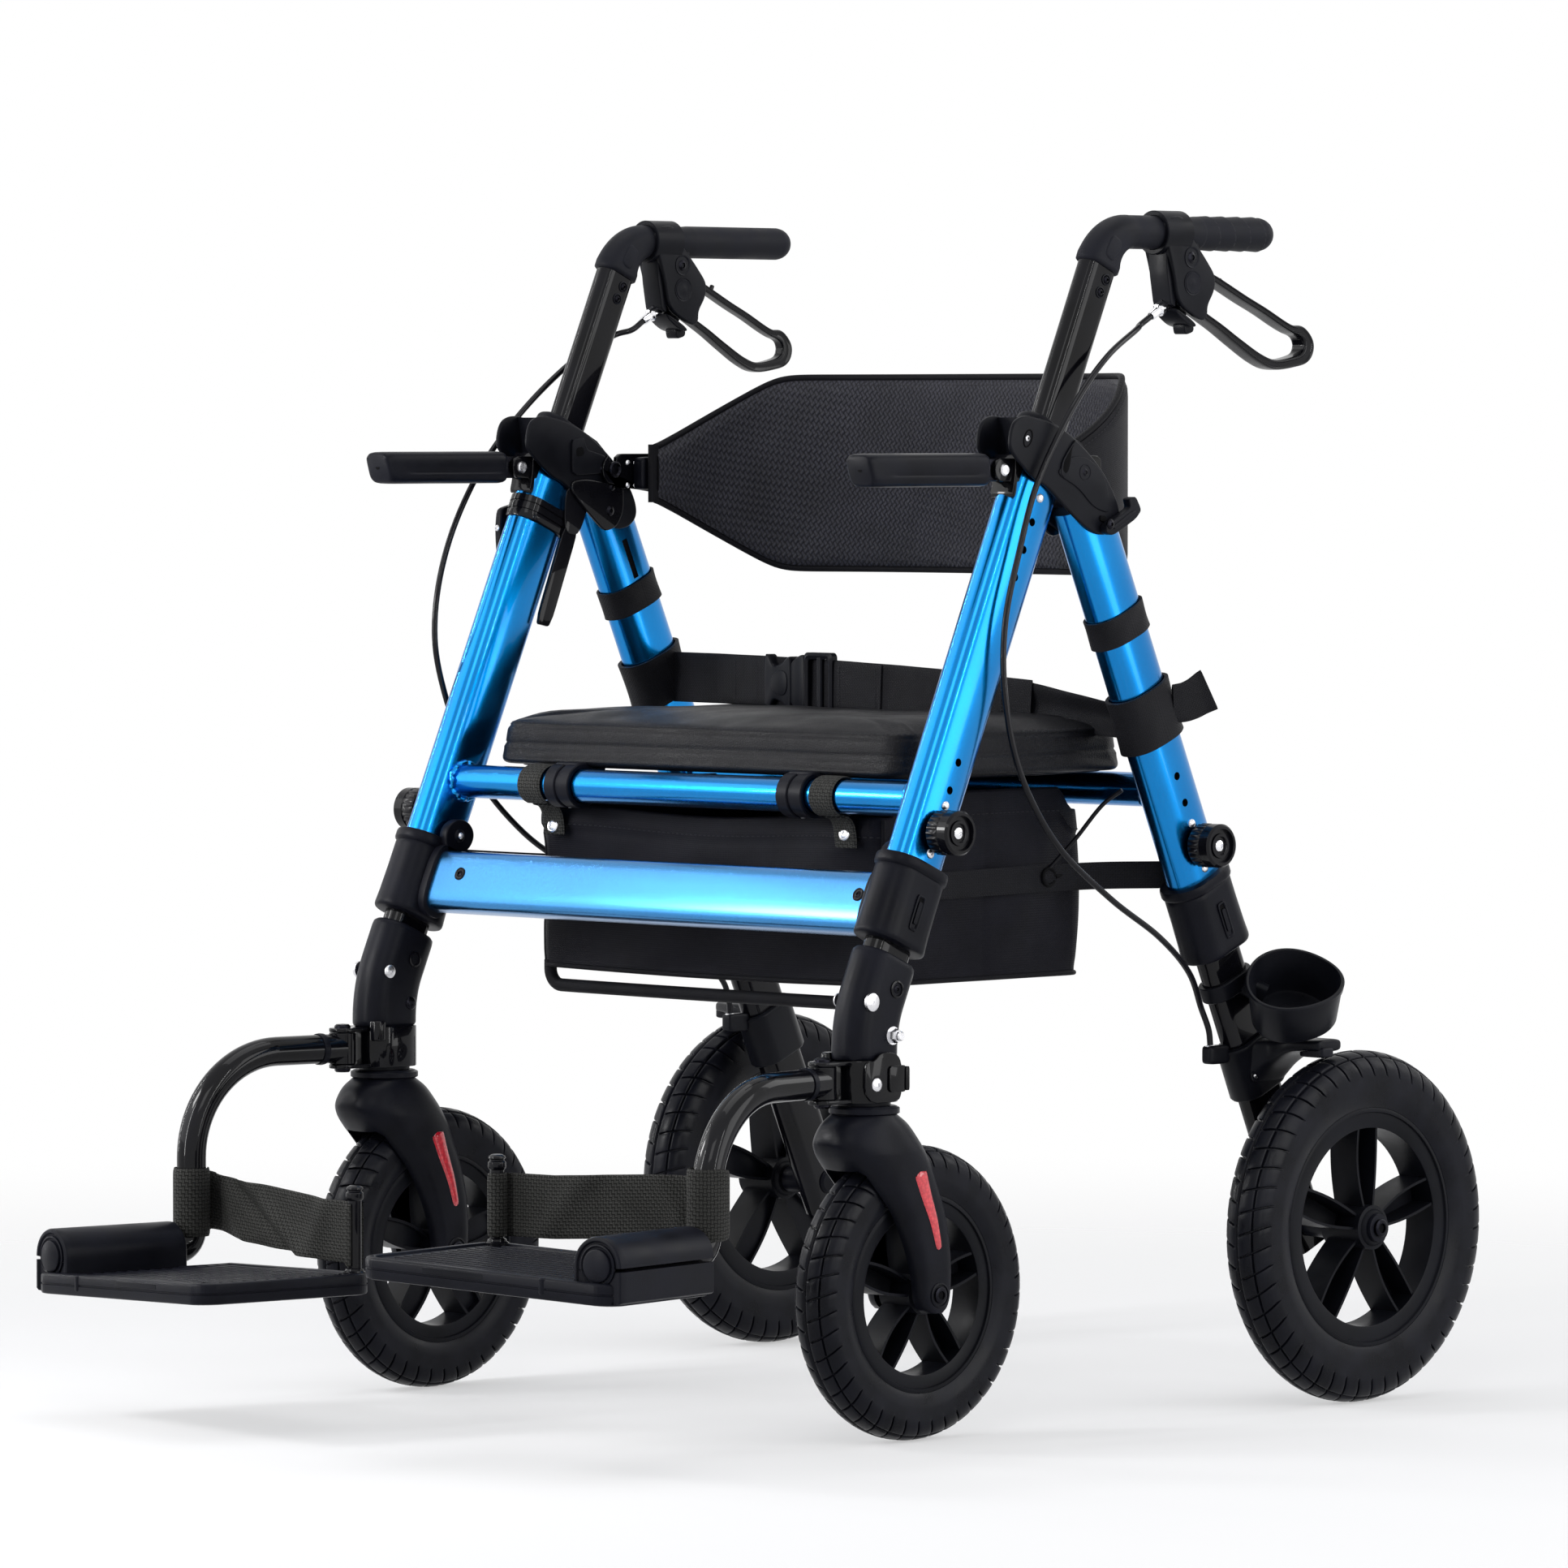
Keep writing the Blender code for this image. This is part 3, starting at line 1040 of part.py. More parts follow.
def wheels():
    """The four wheels: rubber tyres on moulded rims."""
    for place, x, y, z, radius, half, rim_radius, hub, hub_half, axle in (
            ("front", FRAME_HALF_WIDTH, FRONT_AXLE_Y, FRONT_AXLE_Z, FRONT_WHEEL_RADIUS,
             FRONT_WHEEL_HALF_WIDTH, FRONT_RIM_RADIUS, FRONT_HUB_RADIUS, FRONT_HUB_HALF, AXLE_RADIUS),
            ("rear", REAR_WHEEL_X, REAR_AXLE_Y, REAR_AXLE_Z, REAR_WHEEL_RADIUS,
             REAR_WHEEL_HALF_WIDTH, REAR_RIM_RADIUS, REAR_HUB_RADIUS, REAR_HUB_HALF, REAR_AXLE_RADIUS)):
        pair(tyre(x, y, z, radius, half, rim_radius + GAP), place + "_tyre", "tyre_rubber", (x, y, z))
        pair(rim(x, y, z, rim_radius, RIM_FLANGE, half, hub, hub_half, axle), place + "_rim",
             "moulded_black", (x, y, z), 30)


def front_lower_legs():
    """The telescopic tubes and the housings that end them, bent upright for the casters."""
    tube = leg_tube(front_ring, FRONT_LOWER_TUBE_TOP_Z, SOCKET_BOTTOM_Z + GAP, LOWER_TUBE_DEPTH,
                    LOWER_TUBE_WIDTH, LOWER_TUBE_WALL)
    pair(tube, "front_lower_tube", "gloss_black")
    x = FRAME_HALF_WIDTH
    half_lean = Vector((0, math.sin(LEAN / 2), math.cos(LEAN / 2)))
    body = stadium(HOUSING_DEPTH, HOUSING_WIDTH)
    neck = stadium(NECK_DEPTH, NECK_WIDTH)
    socket = stadium(LOWER_TUBE_DEPTH + 2 * GAP, LOWER_TUBE_WIDTH + 2 * GAP)
    stem = bore(STEM_RADIUS_CASTER + RUNNING)
    bend_low = HOUSING_SHOULDER_Z + 0.016
    bend_high = HOUSING_SHOULDER_Z + 0.032
    def flat(z, outline):
        return ring((x, CASTER_Y, z), outline, UP, ACROSS)
    housing = loft([flat(STEM_TOP_Z + 2 * GAP, stem), flat(HOUSING_BOTTOM_Z, stem), flat(HOUSING_BOTTOM_Z, neck),
                    flat(HOUSING_SHOULDER_Z, neck), flat(HOUSING_SHOULDER_Z, body),
                    ring((x, CASTER_Y + 0.001, bend_low), body, half_lean, ACROSS),
                    front_ring(bend_high, body), front_ring(HOUSING_TOP_Z, body),
                    front_ring(HOUSING_TOP_Z, socket), front_ring(SOCKET_BOTTOM_Z, socket)])
    pair(housing, "caster_housing", "moulded_black")


def footrest_brackets():
    """The steel brackets round the housings' necks, with the pins that the hangers turn on."""
    x = FRAME_HALF_WIDTH
    bore_outline = stadium(NECK_DEPTH + 2 * GAP, NECK_WIDTH + 2 * GAP)
    outer = stadium(NECK_DEPTH + 2 * LATCH_WALL, NECK_WIDTH + 2 * LATCH_WALL)
    def flat(z, outline):
        return ring((x, CASTER_Y, z), outline, UP, ACROSS)
    bracket = loft([flat(LATCH_TOP_Z, outer), flat(LATCH_BOTTOM_Z, outer),
                    flat(LATCH_BOTTOM_Z, bore_outline), flat(LATCH_TOP_Z, bore_outline)], closed=True)
    root_y = CASTER_Y - NECK_DEPTH / 2 - LATCH_WALL / 2
    ear = [(x + a, b) for a, b in arc((0, HANGER_PIN_Y), HANGER_EYE_RADIUS, 180, 360, 8)]
    ear += [(x + HANGER_EYE_RADIUS, root_y), (x - HANGER_EYE_RADIUS, root_y)]
    join(bracket, upright_prism(ear, LATCH_TOP_Z - LATCH_EAR, LATCH_TOP_Z),
         upright_prism(ear, LATCH_BOTTOM_Z, LATCH_BOTTOM_Z + LATCH_EAR),
         rod((x, HANGER_PIN_Y, LATCH_BOTTOM_Z + 0.001), (x, HANGER_PIN_Y, LATCH_TOP_Z - 0.001),
             HANGER_PIN_RADIUS, 12, ACROSS),
         box((x + NECK_WIDTH / 2 + 0.002, CASTER_Y + 0.003, LATCH_BOTTOM_Z + 0.007),
             (x + NECK_WIDTH / 2 + LATCH_WALL + 0.003, CASTER_Y + 0.022, LATCH_TOP_Z - 0.003)))
    pair(bracket, "footrest_bracket", "gloss_black")


def caster_forks():
    """The swivelling forks: stem, crown ring and an arched crown that splits into two blades."""
    x = FRAME_HALF_WIDTH
    top = HOUSING_BOTTOM_Z - GAP
    levels = [(STEM_TOP_Z, 0, circle(STEM_RADIUS_CASTER)), (top, 0, circle(STEM_RADIUS_CASTER)),
              (top, 0, circle(CROWN_RADIUS)), (top - CROWN_THICKNESS, 0, circle(CROWN_RADIUS))]
    drop = top - CROWN_THICKNESS - FRONT_AXLE_Z
    # shares of the drop above the axle, of the trail, the depth and the width, and the squareness
    for up, back, depth, width, square in (
            (0.968, -0.02, 0.91, 0.81, 2.4), (0.851, -0.07, 1.00, 1.0, 3.0), (0.696, 0.09, 0.85, 1.0, 4.0),
            (0.424, 0.51, 0.65, 1.0, 5.0), (0.114, 0.93, 0.49, 1.0, 6.0), (-0.058, 1.0, 0.44, 1.0, 6.0),
            (-0.100, 1.0, 0.25, 1.0, 6.0)):
        levels.append((FRONT_AXLE_Z + drop * up, CASTER_TRAIL * back,
                       soft_square(FORK_DEPTH * depth, 2 * FORK_HALF_WIDTH * width, square)))
    fork = loft([ring((x, CASTER_Y + back, z), outline, UP, ACROSS) for z, back, outline in levels])
    wheel_space = FRONT_WHEEL_RADIUS + 0.0045
    half = FRONT_HUB_HALF + 0.0007
    cut(fork, turned(x, FRONT_AXLE_Y, FRONT_AXLE_Z, [(-half, wheel_space), (half, wheel_space)], WHEEL_SEGMENTS, False))
    head = FORK_HALF_WIDTH + 0.0015
    join(fork, turned(x, FRONT_AXLE_Y, FRONT_AXLE_Z,
                      [(-head, 0.0085), (-FORK_HALF_WIDTH + 0.001, 0.0085),
                       (-FORK_HALF_WIDTH + 0.001, AXLE_RADIUS), (FORK_HALF_WIDTH - 0.001, AXLE_RADIUS),
                       (FORK_HALF_WIDTH - 0.001, 0.0085), (head, 0.0085)], 12, False))
    pair(fork, "caster_fork", "moulded_black", (x, CASTER_Y, HOUSING_BOTTOM_Z))


def footrest_frame(side):
    """Turns a (sideways, forward, up) point of a footrest into the object's frame."""
    toe = Matrix.Rotation(HANGER_TOE_OUT, 3, "Z")
    pin = Vector((FRAME_HALF_WIDTH, HANGER_PIN_Y, 0))
    lift = FOOTREST_SET[side]

    def place(across, forward, up, lifted=True):
        return pin + toe @ Vector((across, -forward, 0)) + UP * (up + (lift if lifted else 0))
    return place, toe


def footrests():
    """The swing-away hangers with their flip-up footplates and heel straps."""
    for side in ("left", "right"):
        place, toe = footrest_frame(side)
        hanger, strap, plate = footrest_side(place, toe)
        pin = (FRAME_HALF_WIDTH, HANGER_PIN_Y, HANGER_Z)
        spigot = tuple(place(0, BARREL_START, FOOTREST_Z))
        pieces = ((hanger, "footrest_hanger_", "gloss_black", pin),
                  (strap, "heel_strap_", "webbing", pin),
                  (plate, "footplate_", "moulded_black", spigot))
        for body, name, material, origin in pieces:
            finish(body, name + side, material, origin)
            if side == "right":
                to_right_hand(body)


def footrest_side(place, toe):
    """One footrest in its left-hand place: hanger, heel strap and footplate."""
    across = toe @ ACROSS
    forward = toe @ Vector((0, -1, 0))
    eye_half = (LATCH_TOP_Z - LATCH_BOTTOM_Z) / 2 - LATCH_EAR - GAP
    pin = place(0, 0, HANGER_Z, lifted=False)
    hanger = loft([ring(pin + UP * d, circle(HANGER_EYE_RADIUS), UP, ACROSS)
                   for d in (-eye_half, eye_half)])
    drop = HANGER_REACH
    path = [place(0, 0.002, HANGER_Z, False)]
    path += [place(0, f, HANGER_Z + u, False)
             for f, u in arc((drop - HANGER_BEND, -HANGER_BEND), HANGER_BEND, 90, 0, 6)]
    path += [place(0, f, FOOTREST_Z + u)
             for f, u in arc((drop + SPIGOT_BEND, SPIGOT_BEND), SPIGOT_BEND, 180, 270, 3)]
    path += [place(0, BARREL_START - 0.002, FOOTREST_Z),
             place(0, drop + SPIGOT_BEND + SPIGOT_LENGTH, FOOTREST_Z)]
    outlines = [circle(HANGER_TUBE_RADIUS, 10)] * len(path)
    join(hanger, loft(sweep_rings(path, outlines, across)))
    cut(hanger, loft([ring(pin + UP * d, bore(HANGER_PIN_RADIUS + RUNNING, 12), UP, ACROSS)
                      for d in (-0.03, 0.03)]))

    radius = BARREL_RADIUS
    section = [(-radius, -BARREL_FLAT), (radius, -BARREL_FLAT)] + arc((0, 0), radius, 0, 180, 8)
    barrel = loft([[place(a, BARREL_START + d, FOOTREST_Z + b) for a, b in section]
                   for d in (0, BARREL_LENGTH)])
    inner_end = -FOOTPLATE_WIDTH
    outer_end = radius * 0.8
    rise = math.tan(FOOTPLATE_RISE)
    corner = 0.018
    outline = [(outer_end, BARREL_START + 0.003)]
    outline += arc((outer_end - corner, FOOTPLATE_FRONT - corner), corner, 0, 90, 3)
    outline += arc((inner_end + corner, FOOTPLATE_FRONT - corner), corner, 90, 180, 3)
    outline += arc((inner_end + corner, FOOTPLATE_REAR + corner), corner, 180, 270, 3)
    outline += [(-TUBE_NOTCH, FOOTPLATE_REAR), (-TUBE_NOTCH, BARREL_START + 0.003)]
    def plate_z(a, top):
        thick = FOOTPLATE_THICKNESS if top else 0
        return FOOTREST_Z - BARREL_FLAT + 0.0005 - (a - radius) * rise + thick
    deck = loft([[place(a, b, plate_z(a, top)) for a, b in outline] for top in (False, True)])
    join(barrel, deck)
    post_base = (inner_end + 0.014, FOOTPLATE_REAR + 0.010)
    post_z = plate_z(post_base[0], True)
    join(barrel, loft([ring(place(*post_base, post_z + d), circle(POST_RADIUS, 10), UP, ACROSS)
                       for d in (-0.004, POST_HEIGHT)]))
    spigot_end = drop + SPIGOT_BEND + SPIGOT_LENGTH + 0.002
    cut(barrel, loft([ring(place(0, f, FOOTREST_Z), bore(HANGER_TUBE_RADIUS + RUNNING, 12), forward, across)
                      for f in (BARREL_START - 0.02, spigot_end)]))

    thick = HEEL_STRAP_THICKNESS
    half = HEEL_STRAP_HEIGHT / 2
    centre_z = FOOTREST_Z + SPIGOT_BEND + 0.001 + half
    wrap = (HANGER_TUBE_RADIUS + 2 * GAP) / math.cos(math.radians(12)) + thick / 2
    post_wrap = (POST_RADIUS + GAP) / math.cos(math.radians(16)) + thick / 2
    line = list(reversed(arc(post_base, post_wrap, -90, 120, 7)))
    line += arc((0, drop - HEEL_STRAP_EASE), wrap, -100, 0, 4) + arc((0, drop), wrap, 0, 120, 5)
    rings = []
    for i, (a, b) in enumerate(line):
        before = Vector(line[max(i - 1, 0)])
        after = Vector(line[min(i + 1, len(line) - 1)])
        tangent = (after - before).normalized()
        normal = Vector((-tangent.y, tangent.x)) * thick / 2
        rings.append([place(a + s * normal.x, b + s * normal.y, centre_z + h)
                      for s, h in ((-1, -half), (1, -half), (1, half), (-1, half))])
    return hanger, loft(rings), barrel


# Rear lower legs

def rear_lower_legs():
    """The telescopic rear tubes with the stub axles of the rear wheels."""
    x = FRAME_HALF_WIDTH
    foot_z = REAR_AXLE_Z - 0.018
    tube = leg_tube(rear_ring, REAR_LOWER_TUBE_TOP_Z, foot_z, LOWER_TUBE_DEPTH, LOWER_TUBE_WIDTH,
                    LOWER_TUBE_WALL)
    face = LOWER_TUBE_WIDTH / 2
    hub_in = REAR_WHEEL_X - x - REAR_HUB_HALF - 2 * GAP
    hub_out = REAR_WHEEL_X - x + REAR_HUB_HALF + 2 * GAP
    axle = turned(x, REAR_AXLE_Y, REAR_AXLE_Z,
                  [(-face + LOWER_TUBE_WALL / 2, REAR_AXLE_RADIUS), (face, REAR_AXLE_RADIUS),
                   (face, 0.0095), (hub_in, 0.0095), (hub_in, REAR_AXLE_RADIUS), (hub_out, REAR_AXLE_RADIUS),
                   (hub_out, 0.0095), (hub_out + 0.003, 0.0095)], 12, False)
    join(tube, axle)
    pair(tube, "rear_lower_tube", "gloss_black")


def cable_lug_top():
    """Top of the lug on the brake collar where the cable ends."""
    z = BRAKE_COLLAR_TOP_Z - 0.004
    front = (LOWER_TUBE_DEPTH / 2 + BRAKE_COLLAR_WALL) / math.cos(LEAN)
    return Vector((FRAME_HALF_WIDTH, rear_y(z) - front - 0.010, z))


def brake_collars():
    """The brackets on the rear tubes whose arms hold a brake shoe over each rear tyre."""
    x = FRAME_HALF_WIDTH
    outer = stadium(LOWER_TUBE_DEPTH + 2 * BRAKE_COLLAR_WALL, LOWER_TUBE_WIDTH + 2 * BRAKE_COLLAR_WALL)
    inner = stadium(LOWER_TUBE_DEPTH + 2 * GAP, LOWER_TUBE_WIDTH + 2 * GAP)
    low, high = BRAKE_COLLAR_BOTTOM_Z, BRAKE_COLLAR_TOP_Z
    collar = loft([rear_ring(high, outer), rear_ring(low, outer), rear_ring(low, inner),
                   rear_ring(high, inner)], closed=True)
    side = x + LOWER_TUBE_WIDTH / 2 + BRAKE_COLLAR_WALL
    tyre_in = REAR_WHEEL_X - REAR_WHEEL_HALF_WIDTH
    shoe_y = rear_y(BRAKE_COLLAR_BOTTOM_Z) + 0.006
    tyre_top = REAR_AXLE_Z + math.sqrt(REAR_WHEEL_RADIUS ** 2 - (REAR_AXLE_Y - shoe_y) ** 2)
    arm_z = tyre_top + SHOE_GAP + 0.009
    middle_z = (low + high) / 2
    stations = [(side - 0.003, rear_y(middle_z) + 0.006, middle_z, 0.036, 0.028),
                (side + 0.008, rear_y(middle_z) + 0.010, middle_z + 0.009, 0.036, 0.022),
                (tyre_in - 0.001, shoe_y - 0.002, arm_z, 0.036, 0.011),
                (REAR_WHEEL_X + 0.010, shoe_y + 0.002, arm_z, 0.026, 0.009)]
    arm = loft([ring((sx, sy, sz), soft_square(depth, height, 4.0, 12), ACROSS, UP)
                for sx, sy, sz, height, depth in [(a, b, c, e, d) for a, b, c, d, e in stations]])
    shoe = box((REAR_WHEEL_X - 0.012, shoe_y - 0.010, tyre_top + SHOE_GAP),
               (REAR_WHEEL_X + 0.012, shoe_y + 0.004, arm_z))
    lug = cable_lug_top()
    ear = box((x - 0.005, lug.y - 0.005, lug.z - 0.014), (x + 0.005, lug.y + 0.016, lug.z))
    join(collar, arm, shoe, ear)
    bore_tool = loft([rear_ring(z, inner) for z in (low - 0.03, high + 0.03)])
    cut(collar, bore_tool)
    pair(collar, "brake_collar", "moulded_black")


def cup_holder():
    """The open cup on the left rear tube, tipped forward and out on its clamp."""
    x = FRAME_HALF_WIDTH
    outer = stadium(LOWER_TUBE_DEPTH + 2 * CUP_CLAMP_WALL, LOWER_TUBE_WIDTH + 2 * CUP_CLAMP_WALL)
    inner = stadium(LOWER_TUBE_DEPTH + 2 * GAP, LOWER_TUBE_WIDTH + 2 * GAP)
    low, high = CUP_CLAMP_BOTTOM_Z, CUP_CLAMP_TOP_Z
    clamp = loft([rear_ring(high, outer), rear_ring(low, outer), rear_ring(low, inner),
                  rear_ring(high, inner)], closed=True)
    middle_z = (low + high) / 2
    centre = Vector((x + CUP_OUT, rear_y(middle_z) + CUP_BACK, middle_z + CUP_UP))
    def cup_outline(scale):
        return [(a * scale * lobe(a, b), b * scale * lobe(a, b)) for a, b in circle(1.0, 24)]
    def lobe(a, b):
        return 1 + 0.045 * math.cos(3 * math.atan2(b, a))
    taper = 0.86
    half = CUP_HEIGHT / 2
    def level(height, scale):
        return ring(centre + CUP_AXIS * height, cup_outline(scale), CUP_AXIS, ACROSS)
    cup = loft([level(-half, CUP_RADIUS * taper), level(half, CUP_RADIUS),
                level(half, CUP_RADIUS - CUP_WALL), level(-half + CUP_WALL, CUP_RADIUS * taper - CUP_WALL)])
    face = x + LOWER_TUBE_WIDTH / 2 + CUP_CLAMP_WALL
    arm_ends = (Vector((face - 0.002, rear_y(middle_z) + 0.004, middle_z)),
                centre - Vector((CUP_RADIUS * 0.70, 0, 0)))
    arm = loft([ring(end, circle(0.006, 10), ACROSS, UP) for end in arm_ends])
    solid_inside = loft([level(half + 0.02, CUP_RADIUS - CUP_WALL), level(-half + CUP_WALL, CUP_RADIUS * taper - CUP_WALL)])
    join(cup, arm)
    cut(cup, solid_inside)
    join(cup, clamp)
    finish(cup, "cup_holder", "moulded_black")


def fold_latch():
    """The hook on the left bracket that keeps the folded frame shut."""
    start = FRAME_HALF_WIDTH + LEG_WIDTH / 2 + GAP + BRACKET_CHEEK + GAP
    y, z = FOLD_PIVOT_Y, FOLD_PIVOT_Z
    outline = [(y - 0.006, z - 0.012), (y + 0.012, z - 0.013), (y + 0.032, z - 0.002),
               (y + 0.047, z + 0.009), (y + 0.050, z + 0.017), (y + 0.046, z + 0.023),
               (y + 0.040, z + 0.022), (y + 0.039, z + 0.014), (y + 0.026, z + 0.006),
               (y + 0.010, z + 0.004), (y - 0.005, z + 0.003)]
    hook = prism(outline, start, start + 0.008)
    finish(hook, "fold_latch", "moulded_black", (start, y, z))


def build():
    for old in list(bpy.data.objects):
        bpy.data.objects.remove(old)
    front_frame()
    rear_frame()
    sleeves()
    front_crossbar()
    knobs()
    handles()
    brakes()
    brake_cables()
    upper_brackets()
    armrests()
    backrest()
    seat()
    storage_bag()
    seat_belt()
    wheels()
    front_lower_legs()
    footrest_brackets()
    caster_forks()
    footrests()
    rear_lower_legs()
    brake_collars()
    cup_holder()
    fold_latch()


build()
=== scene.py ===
import json
from math import cos, pi, radians, sin, tan

import bmesh
import bpy
import numpy as np
from mathutils import Matrix

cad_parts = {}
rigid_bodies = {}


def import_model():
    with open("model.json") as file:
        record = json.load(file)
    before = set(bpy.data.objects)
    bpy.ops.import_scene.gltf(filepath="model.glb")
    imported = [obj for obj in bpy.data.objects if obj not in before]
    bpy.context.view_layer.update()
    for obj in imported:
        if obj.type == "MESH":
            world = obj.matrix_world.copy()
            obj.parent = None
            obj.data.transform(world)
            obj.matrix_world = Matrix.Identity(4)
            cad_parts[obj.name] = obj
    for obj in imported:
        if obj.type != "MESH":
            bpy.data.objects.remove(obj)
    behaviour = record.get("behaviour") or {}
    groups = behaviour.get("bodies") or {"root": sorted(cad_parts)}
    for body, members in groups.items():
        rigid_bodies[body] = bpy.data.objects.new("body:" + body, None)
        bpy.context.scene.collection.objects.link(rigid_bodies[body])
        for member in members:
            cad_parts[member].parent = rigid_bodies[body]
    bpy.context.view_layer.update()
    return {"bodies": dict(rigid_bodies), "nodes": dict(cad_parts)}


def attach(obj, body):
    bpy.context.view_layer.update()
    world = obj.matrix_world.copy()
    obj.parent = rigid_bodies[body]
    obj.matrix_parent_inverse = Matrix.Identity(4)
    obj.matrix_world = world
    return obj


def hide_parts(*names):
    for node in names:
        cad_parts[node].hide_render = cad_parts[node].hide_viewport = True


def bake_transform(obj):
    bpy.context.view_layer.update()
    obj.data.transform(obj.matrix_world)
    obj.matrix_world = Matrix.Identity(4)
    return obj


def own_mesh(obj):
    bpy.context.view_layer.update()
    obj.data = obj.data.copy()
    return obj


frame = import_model()

# measures shared by several pieces, in metres; +x is the side that is nearer to the camera
chair = {
    "halfWidth": 0.252,        # middle plane to the axis of a side frame
    "lean": radians(24),  # legs against the vertical
    "legDepth": 0.048,
    "legWidth": 0.028,
    "foldPivot": (0.09672, 0.655),
    "seatBar": (-0.06046, 0.455),
}
sides = (("left", 1), ("right", -1))
sideX, legLean = chair["halfWidth"], chair["lean"]


def frontY(z):
    return 0.013 + tan(legLean) * (z - 0.62)


def rearY(z):
    return 0.1123 - tan(legLean) * (z - 0.62)


frontAxis = np.array([0, sin(legLean), cos(legLean)])
rearAxis = np.array([0, -sin(legLean), cos(legLean)])
across = np.array([1.0, 0, 0])
upward = np.array([0, 0, 1.0])


# sections: arrays of (first, second) offsets, in order round the shape

def roundSection(radius, count=40):
    # circle
    angle = circle(count, -pi / 2)
    return np.stack([radius * np.cos(angle), radius * np.sin(angle)], -1)


def ovalSection(length, width, count=48):
    # two half circles of half the width, moved apart by half of what the length is longer
    angle = (np.arange(count) + 0.5) / count * 2 * pi - pi / 2
    shift = (length - width) / 2
    return np.stack([width / 2 * np.cos(angle) + shift * np.sign(np.cos(angle)), width / 2 * np.sin(angle)], -1)


def signedPower(value, power):
    return np.sign(value) * np.abs(value) ** power


def squareSection(length, width, power, count=48):
    # superellipse: cosine and sine raised to 2/power, keeping their signs
    angle = (np.arange(count) + 0.5) / count * 2 * pi - pi / 2
    return np.stack([signedPower(np.cos(angle), 2 / power) * length / 2,
                     signedPower(np.sin(angle), 2 / power) * width / 2], -1)


def pairs(*numbers):
    # millimetres in rows of two, as metres
    return np.array(numbers, float).reshape(-1, 2) / 1000


def triples(*numbers):
    return np.array(numbers, float).reshape(-1, 3) / 1000


def spots(x, y, z):
    # points from three coordinates, each of them a list or one number
    return np.stack(np.broadcast_arrays(x, y, z), -1).astype(float)


def running(points):
    # distance from the first point, measured along the line
    return np.concatenate([[0], np.cumsum(np.linalg.norm(np.diff(points, axis=0), axis=1))])


def bell(value, middle, width, power=2):
    # 1 at the middle, falling off as exp of minus the power of the distance over the width
    return np.exp(-((value - middle) / width) ** power)


def ramp(value, start, length):
    # 0 before start, 1 from start + length on, even between them; a negative length turns it round
    return np.clip((value - start) / length, 0, 1)


def circle(count, start=0.0):
    return np.arange(count) / count * 2 * pi + start


def rounded(outline, passes=2, share=0.25):
    # corner cutting: each edge keeps the part between share and 1 - share of its length
    points = np.array(outline, float)
    for _ in range(passes):
        ahead = np.roll(points, -1, 0)
        points = np.stack([points + (ahead - points) * share, ahead - (ahead - points) * share], 1).reshape(-1, 2)
    return points


def smoothLine(points, steps):
    # Catmull-Rom: a cubic between every two points whose slopes come from their neighbours
    p = np.array(points, float)
    p = np.vstack([2 * p[0] - p[1], p, 2 * p[-1] - p[-2]])
    t = np.arange(steps)[:, None] / steps
    a, b, c, d = (p[i:len(p) - 3 + i][:, None] for i in range(4))
    curve = 0.5 * (2 * b + (c - a) * t + (2 * a - 5 * b + 4 * c - d) * t ** 2 + (3 * b - a - 3 * c + d) * t ** 3)
    return np.vstack([curve.reshape(-1, p.shape[1]), p[-2]])


def arcLine(centre, radius, start, end, steps):
    # points of a circle between two angles in degrees
    angle = np.radians(np.linspace(start, end, steps + 1))
    return np.stack([centre[0] + radius * np.cos(angle), centre[1] + radius * np.sin(angle)], -1)


def unit(v):
    return v / np.maximum(np.linalg.norm(v, axis=-1, keepdims=True), 1e-12)


# shapes: each gives (points, faces, corner uvs or None, tone), where tone numbers the finish

def gridQuads(rows, cols, loopRows, loopCols):
    # every cell between neighbouring rows and columns
    r = np.arange(rows if loopRows else rows - 1)[:, None]
    c = np.arange(cols if loopCols else cols - 1)[None, :]
    r2, c2 = (r + 1) % rows, (c + 1) % cols
    return np.stack([r * cols + c, r * cols + c2, r2 * cols + c2, r2 * cols + c], -1).reshape(-1, 4)


def surface(points, loopRows=False, loopCols=True, caps=True, tone=0, uv=None):
    # a grid of points as one skin; open ends of a tube are closed flat
    rows, cols = points.shape[:2]
    faces = gridQuads(rows, cols, loopRows, loopCols).tolist()
    corners = None
    if uv is not None:  # uv has one more column where the columns close, and one more row where rows do
        r = np.arange(rows if loopRows else rows - 1)[:, None]
        c = np.arange(cols if loopCols else cols - 1)[None, :]
        corners = [np.stack([uv[r, c], uv[r, c + 1], uv[r + 1, c + 1], uv[r + 1, c]], 2).reshape(-1, 2)]
    if caps and loopCols and not loopRows:
        ring = np.arange(cols)
        for base in (0, (rows - 1) * cols):
            faces.append((ring + base).tolist())
            if corners is not None:
                corners.append(points.reshape(-1, 3)[ring + base][:, :2])
    return points.reshape(-1, 3), faces, None if corners is None else np.vstack(corners), tone


